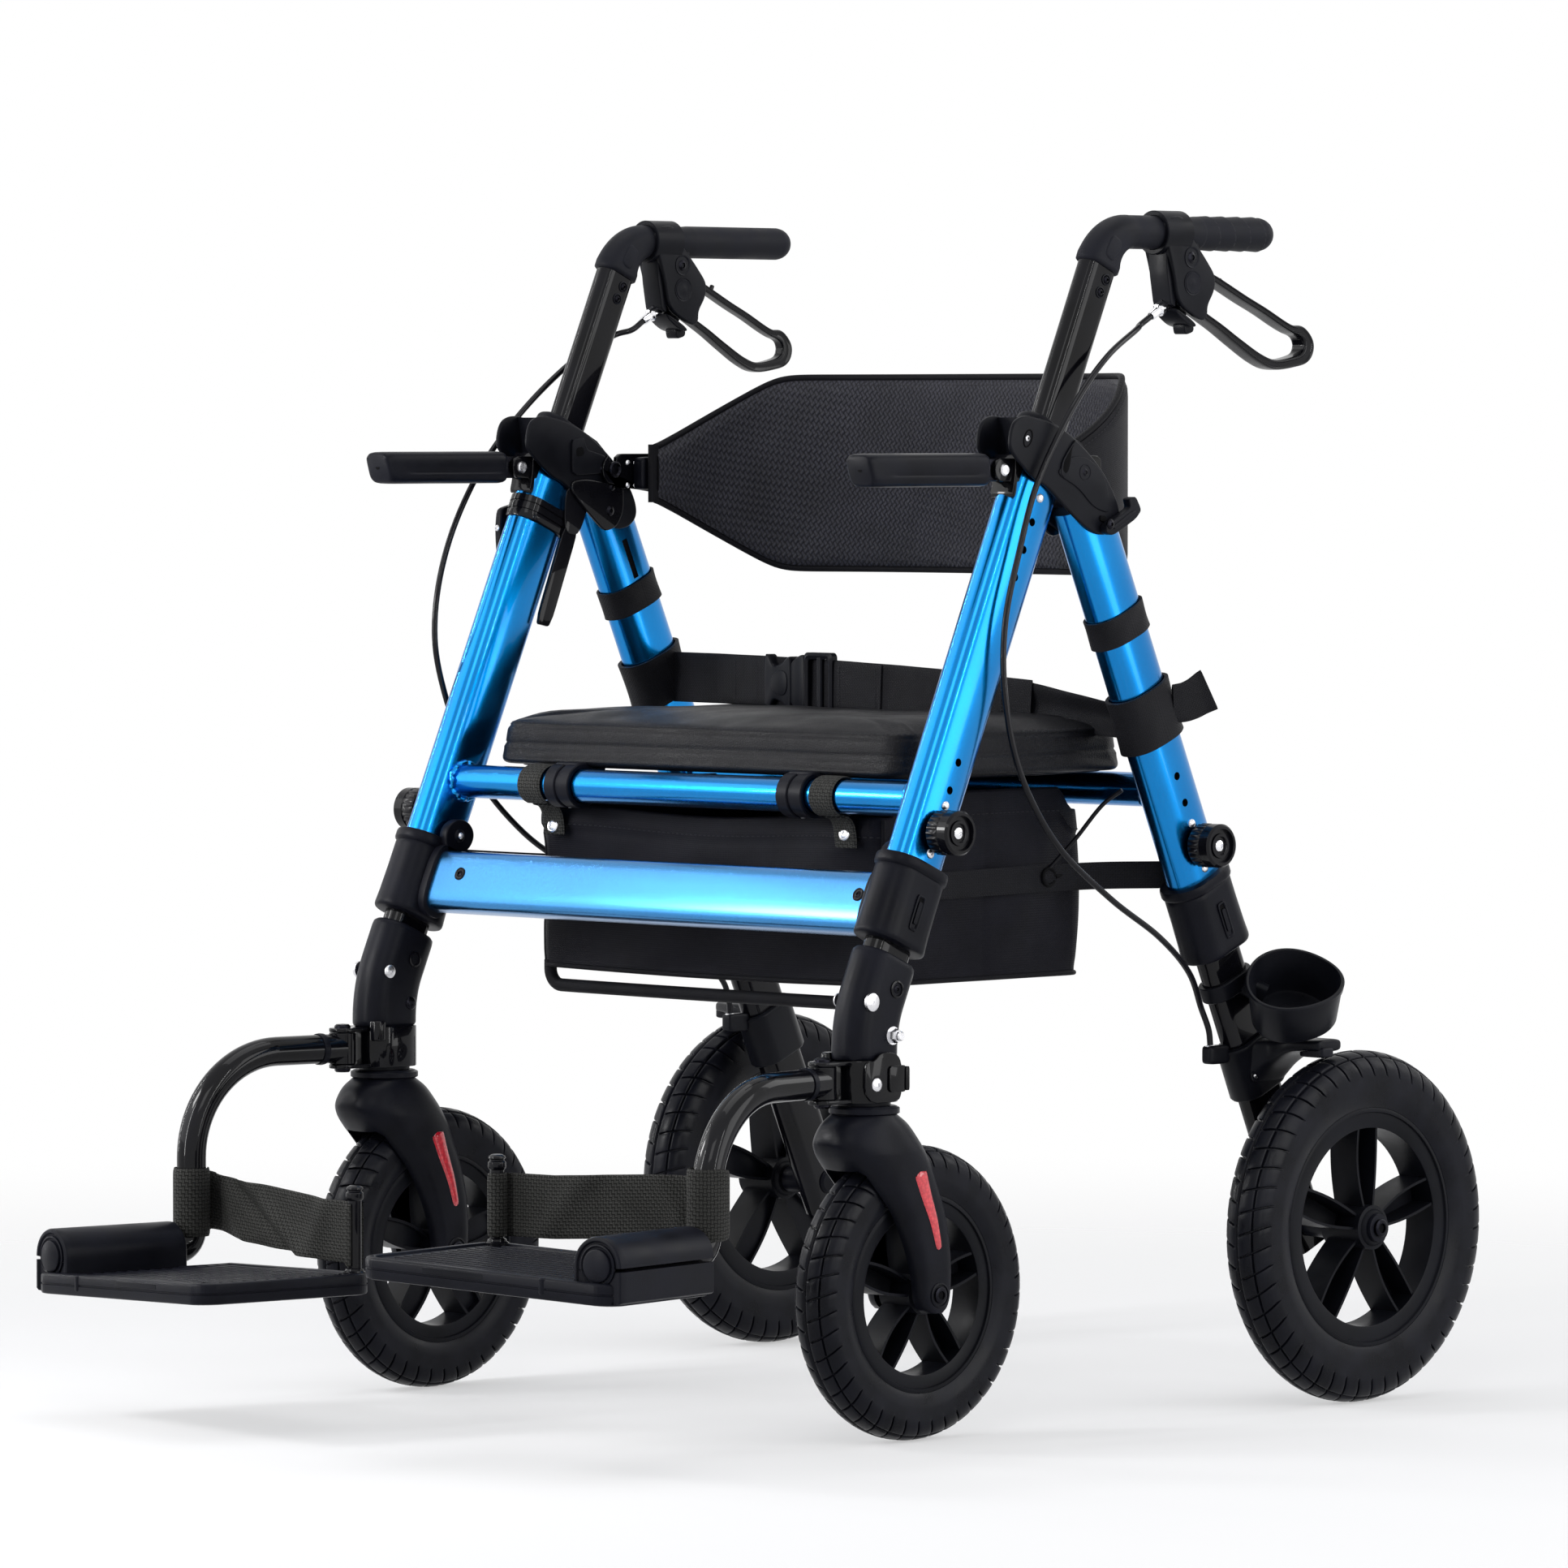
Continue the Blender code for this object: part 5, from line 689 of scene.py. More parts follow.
def setStudio():
    scene = bpy.context.scene
    scene.view_settings.view_transform = "Standard"
    world = bpy.data.worlds.new("paleRoom")
    scene.world = world
    world.use_nodes = True
    tree = world.node_tree
    tree.nodes.clear()
    rays = addNode(tree, "ShaderNodeLightPath")
    seen = rays.outputs["Is Camera Ray"]
    for name in ("Is Glossy Ray", "Is Transmission Ray"):
        seen = addNode(tree, "ShaderNodeMath", {"operation": "MAXIMUM"}, i0=seen, i1=rays.outputs[name]).outputs[0]
    room = addNode(tree, "ShaderNodeBackground", Color=hexColour(studio["roomColour"]),
                   Strength=studio["worldLight"])
    white = addNode(tree, "ShaderNodeBackground", Color=(1, 1, 1, 1), Strength=1.0)
    mixed = addNode(tree, "ShaderNodeMixShader", i0=seen, i1=room.outputs[0], i2=white.outputs[0])
    addNode(tree, "ShaderNodeOutputWorld", Surface=mixed.outputs[0])
    for name, spot, aim, width, height, watts in studio["softboxes"]:
        data = bpy.data.lights.new(name, "AREA")
        data.shape, data.size, data.size_y, data.energy = "RECTANGLE", width, height, watts
        lamp = bpy.data.objects.new(name, data)
        scene.collection.objects.link(lamp)
        back = unit(np.array(spot, float) - np.array(aim, float))
        right = unit(np.cross([0, 1, 0] if abs(back[2]) > 0.98 else [0, 0, 1], back))
        turn = Matrix(np.stack([right, np.cross(back, right), back], 1).tolist()).to_4x4()
        lamp.matrix_world = Matrix.Translation(spot) @ turn
    # the floor is a disc of rings whose edge melts into the room
    radii = np.linspace(0.0, studio["floorRadius"], 40)
    angle = circle(96)
    points = spots(radii[:, None] * np.cos(angle), radii[:, None] * np.sin(angle), -0.0004)
    material = bpy.data.materials.new("painted studio floor")
    material.use_nodes = True
    tree = material.node_tree
    shader = tree.nodes["Principled BSDF"]
    shader.inputs["Base Color"].default_value = hexColour(studio["floorColour"])
    shader.inputs["Roughness"].default_value = 0.9
    shader.inputs["Specular IOR Level"].default_value = 0.1
    coords = addNode(tree, "ShaderNodeTexCoord")
    reach = addNode(tree, "ShaderNodeVectorMath", {"operation": "LENGTH"})
    tree.links.new(coords.outputs["Object"], reach.inputs[0])
    fade = addNode(tree, "ShaderNodeMapRange", {"interpolation_type": "SMOOTHSTEP"}, Value=reach.outputs["Value"])
    for key, number in (("From Min", 0.55), ("From Max", studio["floorRadius"] * 0.9),
            ("To Min", studio["floorClear"]), ("To Max", 1.0)):
        fade.inputs[key].default_value = number
    clear = addNode(tree, "ShaderNodeBsdfTransparent")
    mixed = addNode(tree, "ShaderNodeMixShader", i0=fade.outputs["Result"], i1=shader.outputs[0],
                    i2=clear.outputs[0])
    tree.links.new(mixed.outputs[0], tree.nodes["Material Output"].inputs["Surface"])
    finishes["floor"] = material
    floor = makeMesh("studioFloor", [surface(points, caps=False)], "floor")


setCamera()
setStudio()
print("camera and studio set")


# brake cables: routes shared with the frame

cable = {
    "diameter": 0.0045,
    "clampY": 0.182,
    "rightShift": -0.028,
    "pivot": (0.197, 0.822),
    # outside the side frame's axis, y and z
    "left": [(0.006, 0.145, 0.791), (0.019, 0.1, 0.771), (0.024, 0.062, 0.738), (0.0235, 0.024, 0.683),
             (0.023, 0.004, 0.63), (0.023, -0.01, 0.58), (0.023, -0.01, 0.53), (0.023, 0.006, 0.473),
             (0.023, 0.045, 0.42), (0.023, 0.1, 0.38), (0.02, 0.155, 0.35), (0.01, 0.198, 0.322)],
    "right": [(0.007, 0.112, 0.789), (0.018, 0.08, 0.769), (0.024, 0.036, 0.733), (0.025, -0.006, 0.69),
              (0.024, -0.04, 0.636), (0.023, -0.056, 0.58), (0.023, -0.05, 0.53), (0.023, -0.018, 0.463),
              (0.023, 0.035, 0.412), (0.023, 0.098, 0.378), (0.02, 0.155, 0.35), (0.01, 0.198, 0.322)],
}


def brakeShift(side):
    # the far brake sits further forward
    return cable["rightShift"] if side == "right" else 0.0


def ferrule(shift=0.0):
    # root and tip of the silver adjuster in front of a brake, and its direction
    root = np.array([sideX, cable["pivot"][0] - 0.014 + shift, cable["pivot"][1] - 0.012])
    step = np.array([0, -0.016, -0.009])
    return root, root + step, unit(step)


def cableLug():
    z = 0.266
    front = (0.04 / 2 + 0.005) / cos(legLean)
    return np.array([sideX, rearY(z) - front - 0.01, z])


def makeCables():
    for side, sign in sides:
        tip, out = ferrule(brakeShift(side))[1:]
        first = tip + out * 0.0003
        lug = cableLug()
        points = [first, first + out * 3 * cable["diameter"]]
        points += [np.array([sideX + a, y, z]) for a, y, z in cable[side]]
        points += [lug + [0, -0.01, 0.028], lug + [0, -0.002, 0.012], lug + [0, 0, 0.0003]]
        path = smoothLine(points, 8) * [sign, 1, 1]
        section = roundSection(cable["diameter"] / 2, 16)
        piece = makeMesh(f"cable_sheath_{side}", [carry(path, section)], "sheath")
        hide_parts(f"brake_cable_{side}")
        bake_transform(piece)


makeCables()
print("cables made")


# wheels

wheels = {
    "front": {"x": 0.252, "y": -0.08447, "z": 0.10533, "radius": 0.10533, "half": 0.018, "rim": 0.0712,
              "hub": 0.015, "hubHalf": 0.0186, "axle": 0.0054, "sipes": 44, "channel": 0.0128},
    "rear": {"x": 0.307, "y": 0.33042, "z": 0.13018, "radius": 0.13018, "half": 0.019, "rim": 0.0885,
             "hub": 0.0165, "hubHalf": 0.0218, "axle": 0.0064, "sipes": 50, "channel": 0.015},
    "spokes": 5,
    "groove": 0.0022,          # depth of the tread's grooves
}


def tyrePart(w):
    # profile: superellipse-like section from bead to bead; the tread drops into grooves along the
    # tyre at three places across it and into slanted sipes that repeat round it
    steps = np.array([0, 0.18, 0.35, 0.435, 0.475, 0.525, 0.565, 0.65, 0.82])
    s = np.concatenate([np.linspace(-1, -0.93, 4), np.linspace(-0.9, -0.55, 7), np.linspace(-0.52, 0.52, 49),
                        np.linspace(0.55, 0.9, 7), np.linspace(0.93, 1, 4)])[:, None]
    # angle round the section, from one bead over the crown to the other
    bead = radians(128)
    turn = s * bead
    middle = (w["rim"] + w["radius"]) / 2
    rise = signedPower(np.cos(turn), 0.86)
    radial = middle + np.where(rise > 0, rise, rise / abs(cos(bead)) ** 0.86) * (w["radius"] - w["rim"]) / 2
    # the columns lean with the sipes, so that each sipe keeps its own columns across the tread
    far = np.abs(s)
    phase = np.tile(steps, w["sipes"])[None]
    theta = (np.repeat(np.arange(w["sipes"]), len(steps))[None] + phase - far * 0.9 - 0.5
        * (s > 0)) / w["sipes"] * 2 * pi
    # grooves along the tyre, and sipes: slanted, each a narrow notch with a flat floor
    long = sum(bell(s, place, 0.018) for place in (-0.3, 0.0, 0.3)) * ramp(far, 0.68, -0.03)
    notch = ramp(np.abs(phase - 0.5), 0.07, -0.042) * ramp(far, 0.66, -0.06) * ramp(far, 0.035, 0.02)
    # a moulded line where the tread ends on the sidewall
    depth = wheels["groove"] * np.maximum(long, notch) + 0.0006 * bell(far, 0.72, 0.012)
    a = signedPower(np.sin(turn), 0.92) * w["half"] - depth * np.sin(turn)
    r = radial - depth * np.cos(turn)
    # closed through the bead, so the rows form a loop
    return surface(spots(w["x"] + a, w["y"] + r * np.cos(theta), w["z"] + r * np.sin(theta)), loopRows=True,
        caps=False)


def rimParts(w):
    # flange: a stepped ring profile; hub: a turned barrel; spokes: two thin curved ribs with a web
    # set back between them, all functions of the distance from the axle
    centre = np.array([w["x"], w["y"], w["z"]])
    h, flange, inner = w["half"] * 0.8, w["rim"] - 0.0002, w["rim"] - w["channel"]
    near = [(h, flange), (h + 0.0006, flange - 0.0012), (h + 0.0006, flange - 0.003), (h - 0.001, flange - 0.0036),
            (h - 0.001, inner + 0.0012), (h - 0.0016, inner), (h * 0.4, inner - 0.0004)]
    hh, hub = w["hubHalf"], w["hub"]
    barrel = [(hh, w["axle"]), (hh, hub * 0.72), (hh - 0.0012, hub * 0.8), (hh - 0.003, hub * 0.84), (hh - 0.0036,
        hub)]
    parts = [ringRound(centre, [(-a, b) for a, b in near] + near[::-1], 120),
             ringRound(centre, [(-a, b) for a, b in barrel] + [(0, hub)] + barrel[::-1], 48)]
    r = np.linspace(hub * 0.8, inner + 0.002, 22)
    t = (r - r[0]) / (r[-1] - r[0])
    wave = np.sin(pi * t)
    halfGap = 0.0056 + (0.0118 * flange / 0.096 - 0.0056) * t ** 0.9 + 0.0026 * wave
    ribOut = h * (0.93 - 0.1 * wave) - 0.0012 * t   # outer edge of a rib dips between its ends
    webOut = h * (-0.35 - 0.3 * np.sin(pi * t * 0.9))
    for k in range(wheels["spokes"]):
        spin = 2 * pi * (k + 0.25) / wheels["spokes"]
        out, side = np.array([0, cos(spin), sin(spin)]), np.array([0, -sin(spin), cos(spin)])

        def strand(offset, depth):
            return centre + r[:, None] * out + offset[:, None] * side + (depth + 0 * r)[:, None] * across
        for hand in (1, -1):
            rib = hand * (halfGap - 0.0011)
            parts.append(surface(np.stack([strand(rib - 0.0011, -h * 0.9), strand(rib + 0.0011, -h * 0.9),
                                           strand(rib + 0.001, ribOut), strand(rib - 0.001, ribOut)], 1)))
        web = halfGap - 0.0012
        parts.append(surface(np.stack([strand(hand * web, webOut + level) for hand, level in (
            (-1, -0.0012), (1, -0.0012), (1, 0.0012), (-1, 0.0012))], 1)))
    return parts


def makeWheels():
    for end in ("front", "rear"):
        bothSides(f"{end}_tyre_rubber", [tyrePart(wheels[end])], "tyre", f"{end}_wheel", "tyre_rubber",
            f"{end}_tyre", 50)
        bothSides(f"{end}_wheel_rim", rimParts(wheels[end]), "rim", f"{end}_wheel", "moulded_black", f"{end}_rim", 32)


makeWheels()
print("wheels made")


# side frames, crossbar, sleeves and lower legs

def onFront(z, x=None, ahead=0.0):
    # a point on the front leg's line, moved square to the leg in the side plane by ahead
    step = np.array([0, -cos(legLean), sin(legLean)]) * ahead
    return np.array([sideX if x is None else x, frontY(z), z]) + step


def onRear(z, x=None):
    return np.array([sideX if x is None else x, rearY(z), z])


def roundRear(levels, section):
    # one section for each height, laid square to the rear leg; the skin closes through the bore
    flat = np.cross(across, rearAxis)
    return np.stack([onRear(z) + s[:, 1:] * across + s[:, :1] * flat for z, s in zip(levels, section)])


def legPath(point, levels):
    return np.array([point(z) for z in levels])


def cutAway(piece, cutter):
    # takes closed shapes out of a piece; the cut faces keep the cutter's finish
    hole = piece.modifiers.new("hole", "BOOLEAN")
    hole.operation, hole.solver, hole.object, hole.use_self = "DIFFERENCE", "EXACT", cutter, False
    bpy.context.view_layer.update()
    applyModifiers(piece)
    bpy.data.objects.remove(cutter)
    return piece


legs = {
    "frontTop": 0.712, "frontBottom": 0.362, "rearTop": 0.666, "rearBottom": 0.345,
    "outerWall": 0.266,
    "handleHoles": (0.6524, 0.6327, 0.6131), "frontHoles": (0.482, 0.4624), "rearHoles": (0.466, 0.4464),
    "holeRadius": 0.003,
    "barRadius": 0.0125,
}


def weldBead(x, y, z, radius):
    # a bead round the end of a bar: a small round section whose size ripples as the welder moved
    angle = circle(72)
    ripple = 1 + 0.16 * np.sin(angle * 17) + 0.1 * np.sin(angle * 5 + 1)
    ring = spots(x + 0.0008 * np.cos(angle * 9), y + radius * np.cos(angle), z + radius * np.sin(angle))
    return carry(ring, roundSection(0.0024, 12)[None] * ripple[:, None, None], loop=True)


def springButton(centre):
    return domeHead(centre, across, 0.0034, 0.0026, 1)


def carved(part, cutters, cutTone=None):
    # a closed shape with other closed shapes taken out of it; the cut faces may have a tone of their own
    work = cutAway(makeMesh("carving", [part[:3] + (0,)], "pit steel"),
                   makeMesh("cutter", [c[:3] + (1,) for c in flatParts(cutters)], "pit steel"))
    points = vertexArray(work.data)
    faces = [list(p.vertices) for p in work.data.polygons]
    tones = [part[3] if p.material_index == 0 or cutTone is None else cutTone for p in work.data.polygons]
    bpy.data.objects.remove(work)
    return points, faces, None, tones


def makeSideFrames():
    oval = squareSection(chair["legDepth"], chair["legWidth"], 2.45, 64)
    pit, hole = legs["outerWall"], legs["holeRadius"]
    barY, barZ = chair["seatBar"]
    trims = {"front": [springButton(onFront(0.6695, pit)), springButton(onFront(0.4517, pit)),
                       domeHead(onFront(0.418, pit), across, 0.0036, 0.0016, 1, 0.0012),
                       domeHead(onFront(0.7, pit), across, 0.0034, 0.0014, 1)],
             "rear": [springButton(onRear(0.431, pit)), domeHead(onRear(0.398, pit), across, 0.0034, 0.0014, 1)]}
    for name, levels, line, y in (("front", legs["handleHoles"] + legs["frontHoles"], onFront, barY),
                                  ("rear", legs["rearHoles"], onRear, float(rearY(barZ)))):
        leg = carry(legPath(line, np.linspace(legs[f"{name}Bottom"], legs[f"{name}Top"], 14)), oval)
        cutters = [turned([(-0.004, 0), (-0.004, hole), (0.003, hole), (0.003, 0)], line(level, pit), across, 24)
                   for level in levels]
        if name == "rear":  # the long slot near the top of the inner faces
            centre = onRear(0.62, 0.238)
            cutters.append(carry([centre - rearAxis * 0.016, centre + rearAxis * 0.016], ovalSection(0.0052, 0.0026,
                16)))
        # the walls of the holes and of the slot take the near-black pit finish (tone 1): painted shade
        half = [carved(leg, cutters, 1), weldBead(0.2375, y, barZ, 0.0135)]
        bar = carry(spots(np.linspace(-0.239, 0.239, 14), y, barZ), roundSection(legs["barRadius"], 44), side=upward)
        dress(f"{name}_side_frame", half + mirrored(half) + [bar], "blueTube pit steel", f"{name}_frame",
              (f"{name}_frame",), "blue_anodised", 32)
    # spring buttons and rivets of the two frames
    for name, parts in trims.items():
        dress(f"{name}_frame_buttons", parts + mirrored(parts), "nylon steel", f"{name}_frame",
            slotName="gloss_black")


makeSideFrames()

crossbar = {"z": 0.381, "height": 0.047, "depth": 0.022, "reach": 0.2332, "screwX": (0.219, -0.198)}


def makeCrossbar():
    # a wide oval bar; its faces bow out by a fraction of a millimetre as an extrusion's do
    forward, z = np.cross(across, frontAxis), crossbar["z"]
    y = float(frontY(z))
    path = spots(np.linspace(-crossbar["reach"], crossbar["reach"], 24), y, z)
    parts = [carry(path, squareSection(crossbar["height"], crossbar["depth"], 3.4, 64), side=forward)]
    for x in crossbar["screwX"]:
        centre = np.array([x, y, z]) + forward * (crossbar["depth"] / 2) + frontAxis * 0.003
        parts += [turned(pairs(-2, 0, -2, 5, 0.5, 5, 1, 4.2, 0.4, 3.6, 0.2, 0), centre, forward, 28, 1),
                  domeHead(centre, forward, 0.003, 0.0012, 2, 0.0011)]
    dress("crossbar_bar", parts, "blueBar glossNylon darkSteel", "front_frame", ("front_crossbar",), "blue_anodised")


makeCrossbar()

sleeves = {
    "front": {"top": 0.41, "bottom": 0.3535, "window": (0.3767, 0.0265, 0.0085)},
    "rear": {"top": 0.391, "bottom": 0.3365, "window": (0.3594, 0.0285, 0.0085)},
    "length": 0.057, "width": 0.037, "lip": 0.0016,
}


def sleeveParts(s, line, axis):
    # the oval shell is stretched by a lip at its top and drawn in at its foot; below the leg it
    # closes round the telescopic tube
    t = np.array([0.0, 0.01, 0.03, 0.06, 0.1, 0.22, 0.55, 0.8, 0.84, 0.86, 0.88, 0.9, 0.97, 0.995, 1.0])
    grow = np.array([-0.6, 0.1, 0.5, 0.6, 0.5, 0.25, 0.0, 0.0, 0.0, -0.3, 0.7, 1.0, 1.0, 0.7, 0.1]) * sleeves["lip"]
    outer = np.stack([ovalSection(sleeves["length"] + 2 * g, sleeves["width"] + 2 * g, 56) for g in grow])
    parts = [carry(legPath(line, s["bottom"] + (s["top"] - s["bottom"]) * t), outer)]
    # the latch window on the outer wall: a frame, its recess in the near-black pit finish, which is painted shade, and
    # the press piece
    centreZ, tall, wide = s["window"]
    centre, sideways = line(centreZ, 0.2706), np.cross(across, axis)

    def window(levels, tone=0, caps=True):
        # rings of the window: length, width and how far out each stands
        rows = [(squareSection(a, b, 7, 40), out) for a, b, out in levels]
        return surface(np.stack([centre + r[:, :1] * axis + r[:, 1:] * sideways + across * out for r, out in rows]),
                       caps=caps, tone=tone)
    edge = ((0.0, 0.0), (0.0, 0.0011), (0.002, 0.0013), (0.0034, 0.0007), (0.0036, -0.0008))
    return parts + [window([(tall - inset, wide - inset, out) for inset, out in edge], caps=False),
                    window([(tall - 0.003, wide - 0.003, out) for out in (-0.0012, 0.0002)], 1),
                    window([(tall * 0.62, wide * 0.42, out) for out in (-0.001, 0.001, 0.0014)])]


def crossbarLug():
    # the moulded flange that takes the crossbar's end, and the ear above it with the link's rivet
    y = float(frontY(crossbar["z"]))
    sizes = pairs(54, 27, 56, 29, 56, 29, 55.5, 28.5, 53.5, 26.5)
    path = spots([0.2338, 0.233, 0.2285, 0.227, 0.2265], y, crossbar["z"])
    ear = pairs(6, 398, 26, 402, 34, 414, 28, 425, 14, 428, 2, 418) + [y, 0]
    spot = np.array([0.2265, y + 0.017, 0.4147])
    return [carry(path, np.stack([squareSection(a, b, 3.0, 56) for a, b in sizes]), side=np.cross(across, frontAxis)),
            pressed(ear, 0.2265, 0.2345, 0.0012, 3), domeHead(spot, -across, 0.0052, 0.0022, 0, 0.0016),
            domeHead(spot + [-0.0005, 0, 0], -across, 0.003, 0.0026, 2, 0.0012)]


def makeSleeves():
    bothSides("front_leg_sleeve", sleeveParts(sleeves["front"], onFront, frontAxis) + crossbarLug(),
        "nylon pit steel", "front_frame", "moulded_black", "front_sleeve")
    bothSides("rear_leg_sleeve", sleeveParts(sleeves["rear"], onRear, rearAxis), "nylon pit steel", "rear_frame",
              "moulded_black", "rear_sleeve")


makeSleeves()

lower = {"depth": 0.04, "width": 0.02, "frontTop": 0.463, "frontBottom": 0.3223, "rearTop": 0.445,
         "rearFoot": 0.1122}


def makeLowerTubes():
    oval = ovalSection(lower["depth"], lower["width"], 48)
    front = carry(legPath(onFront, np.linspace(lower["frontBottom"], lower["frontTop"], 8)), oval)
    bothSides("front_telescope", [front], "glossTube", "front_leg", "gloss_black", "front_lower_tube")
    y, z = wheels["rear"]["y"], wheels["rear"]["z"]
    rear = carry(legPath(onRear, [lower["rearFoot"], *np.linspace(0.1135, lower["rearTop"], 12)]), oval)
    # spacer, axle through the hub and its outer washer, measured out from the side frame's axis
    axle = turned(pairs(-1, 0, -1, 6, 10, 6, 10, 9.8, 12, 10.4, 31.4, 10.4, 32.6, 9.2, 32.6, 6, 77.4, 6, 77.4, 10.6,
                        79.6, 10.2, 80, 8, 80, 0), (sideX, y, z), across, 40, 1)
    nut = socketHead((0.3318, y, z), across, 0.0066, 0.003, 2, 3)
    cap = turned(pairs(-2, 0, -2, 9.5, 0, 9.5, 1.8, 7.5, 1.8, 0), (0.2412, y, z), -across, 30, 1)
    bothSides("rear_telescope", [rear, axle, nut, cap], "glossTube nylon darkSteel pit", "rear_leg", "gloss_black",
              "rear_lower_tube")


makeLowerTubes()

knob = {"frontZ": 0.433, "rearZ": 0.415, "radius": 0.016, "start": 0.2663, "end": 0.2903}


def knobParts(y, z):
    # the rim is fluted: its radius dips as a cosine that repeats round it; the face carries rings
    angle = circle(144)
    rows = np.concatenate([pairs(-6.3, 3, 0, 3, 0, 8.8, 3, 8.8, 3, 14.8, 4.2, 15.8, 13, 15.8, 13.8, 15.2, 14.6, 16,
                                 22.4, 16, 24, 14.5, 24, 12.6, 21, 11.8, 21, 9.2, 22.4, 8.8, 22.4, 7, 20.8, 6.4,
                                 20.8, 0.1)]) + [knob["start"], 0]
    fluted = np.isin(np.arange(len(rows)), (5, 6))[:, None]
    radius = rows[:, 1:] + fluted * 0.00035 * np.cos(angle * 24)
    spot = np.array([knob["end"] - 0.0032, y, z])
    return [surface(spots(rows[:, :1], y + radius * np.cos(angle), z + radius * np.sin(angle))),
            domeHead(spot, across, 0.0048, 0.0022, 1, 0.0016, 32)]


def makeKnobs():
    for name, line, z in (("front", frontY, knob["frontZ"]), ("rear", rearY, knob["rearZ"])):
        bothSides(f"{name}_leg_knob", knobParts(float(line(z)), z), "glossNylon chrome", f"{name}_knob",
                  "gloss_plastic", f"{name}_knob")


makeKnobs()
print("side frames made")


# caster housings, forks and footrest brackets

caster = {"y": -0.12947, "x": 0.252, 
          "forkHalf": 0.031}


def makeHousings():
    # an oval sleeve that follows the leg, bends upright and steps in to a neck
    x, y = caster["x"], caster["y"]
    t = np.linspace(0, 1, 12)[:, None]
    # quadratic curve from upright to the leg's lean
    start, corner, end = np.array([y, 0.278]), np.array([y, 0.3]), np.array([float(frontY(0.318)), 0.318])
    curve = (1 - t) ** 2 * start + 2 * t * (1 - t) * corner + t ** 2 * end
    upper = [(float(frontY(z)), z) for z in (0.33, 0.3405, 0.3435, 0.345)]
    line = np.vstack([pairs(0, 241.5, 0, 273, 0, 274.5, 0, 276) + [y, 0], curve, upper])
    sizes = np.vstack([pairs(40, 32, 40, 32, 50, 32.5, 51.8, 33.8), pairs(52, 34).repeat(14, 0),
                       pairs(51.2, 33.2, 48, 30)])
    face = 0.269
    lowPin, highPin, recess = np.array([face - 0.0004, -0.118, 0.2908]), (face, -0.1385, 0.3153), (-0.114, 0.3234)
    parts = [carry(spots(x, *line.T), np.stack([ovalSection(a, b, 56) for a, b in sizes])),
             turned(pairs(-1.5, 0, -1.5, 6.4, 0.8, 6.4, 1.4, 5.4, 1.4, 0.8, 0.9, 0.6, 0.9, 0), highPin, across, 36, 1),
             turned(pairs(-1, 0, -1, 6.2, 0.8, 6.2, 1.2, 5, -0.2, 4.4, -0.2, 0), (face, *recess), across, 36, 2),
             domeHead((face - 0.0003, *recess), across, 0.003, 0.0012, 3, 0.0014),
             hexHead(lowPin, across, 0.0052, 0.0062, 1),
             turned(pairs(4, 0, 4, 3.4, 8.5, 3.4, 9.5, 2.6, 9.5, 0), lowPin, across, 28, 1),
             # the same fasteners end in plain heads on the inner face
             domeHead((0.235, *highPin[1:]), -across, 0.005, 0.0012, 1, 0.001),
             domeHead((0.235, *lowPin[1:]), -across, 0.005, 0.0016, 3),
             turned(pairs(-1, 0, -1, 5.8, 0.9, 5.8, 1.2, 4.6, -0.1, 4, -0.1, 0), (0.235, *recess), -across, 30, 2)]
    bothSides("caster_socket", parts, "nylon steel glossNylon darkSteel", "front_leg", "moulded_black",
              "caster_housing")


makeHousings()

bracket = {"top": 0.274, "bottom": 0.244, "pinY": -0.17147, "wall": 0.005}


def makeFootrestBrackets():
    # pressed steel: a band round the neck, two ears in front with the hanger's pin, a latch tab
    x, y, low, high = caster["x"], caster["y"], bracket["bottom"], bracket["top"]
    outer = pairs(49.4, 41.4, 50, 42, 50, 42, 49.4, 41.4, 40.6, 32.6, 40.6, 32.6)
    levels = (low, low + 0.0006, high - 0.0006, high, high, low)
    parts = [surface(layers(x, [(z, y, ovalSection(*size, 56)) for size, z in zip(outer, levels)]), loopRows=True,
                     caps=False)]
    root, pin = y - 0.0205, (x, bracket["pinY"], 0)
    ear = np.vstack([arcLine(pin, 0.01, 180, 360, 16), [(x + 0.01, root), (x - 0.01, root)]])
    parts += [plate(ear, high - 0.003, high, 0.0006, "xy"), plate(ear, low, low + 0.003, 0.0006, "xy"),
              turned(pairs(245.2, 0, 245.2, 4, 272.8, 4, 272.8, 0), pin, upward, 28, 1),
              turned(pairs(273.8, 0, 273.8, 6.2, 275.6, 6, 276.8, 4.6, 277.2, 0), pin, upward, 28, 1),
              turned(pairs(241.2, 0, 241.2, 5, 242.4, 6, 244.2, 6, 244.2, 0), pin, upward, 28, 1)]
    # outer cheek that rises behind the ears, with its rivet, and the bent latch tab with its hook
    cheek = pairs(-20, 244, 10, 244, 17, 247, 17.5, 270, 12, 279, -3, 280, -9, 275, -12, 273.5, -20, 273.5)
    tab, hook = pairs(3, 251, 20, 251, 20, 270, 3, 270), pairs(18.5, 252, 22.2, 252, 22.2, 269, 18.5, 269)
    # release tongue on the inner side of the ears
    tongue = pairs(-20.5, -4, -10.5, -6, -10, 4, -20.5, 6) + [x, root]
    parts += [pressed(cheek + [y, 0], 0.2706, 0.273), domeHead((0.273, y - 0.0085, 0.257), across, 0.005, 0.0018, 2,
        0.0014, 32), pressed(tab + [y, 0], 0.273, 0.2746, 0.0005, 2, 0.12), pressed(hook + [y, 0], 0.2706, 0.2756,
        0.0006, 2, 0.12), pressed(tongue, 0.264, 0.279, 0.0012, plane="xy")]
    bothSides("footrest_catch", parts, "glossTube darkSteel steel", "front_leg", "gloss_black", "footrest_bracket",
        34)


makeFootrestBrackets()


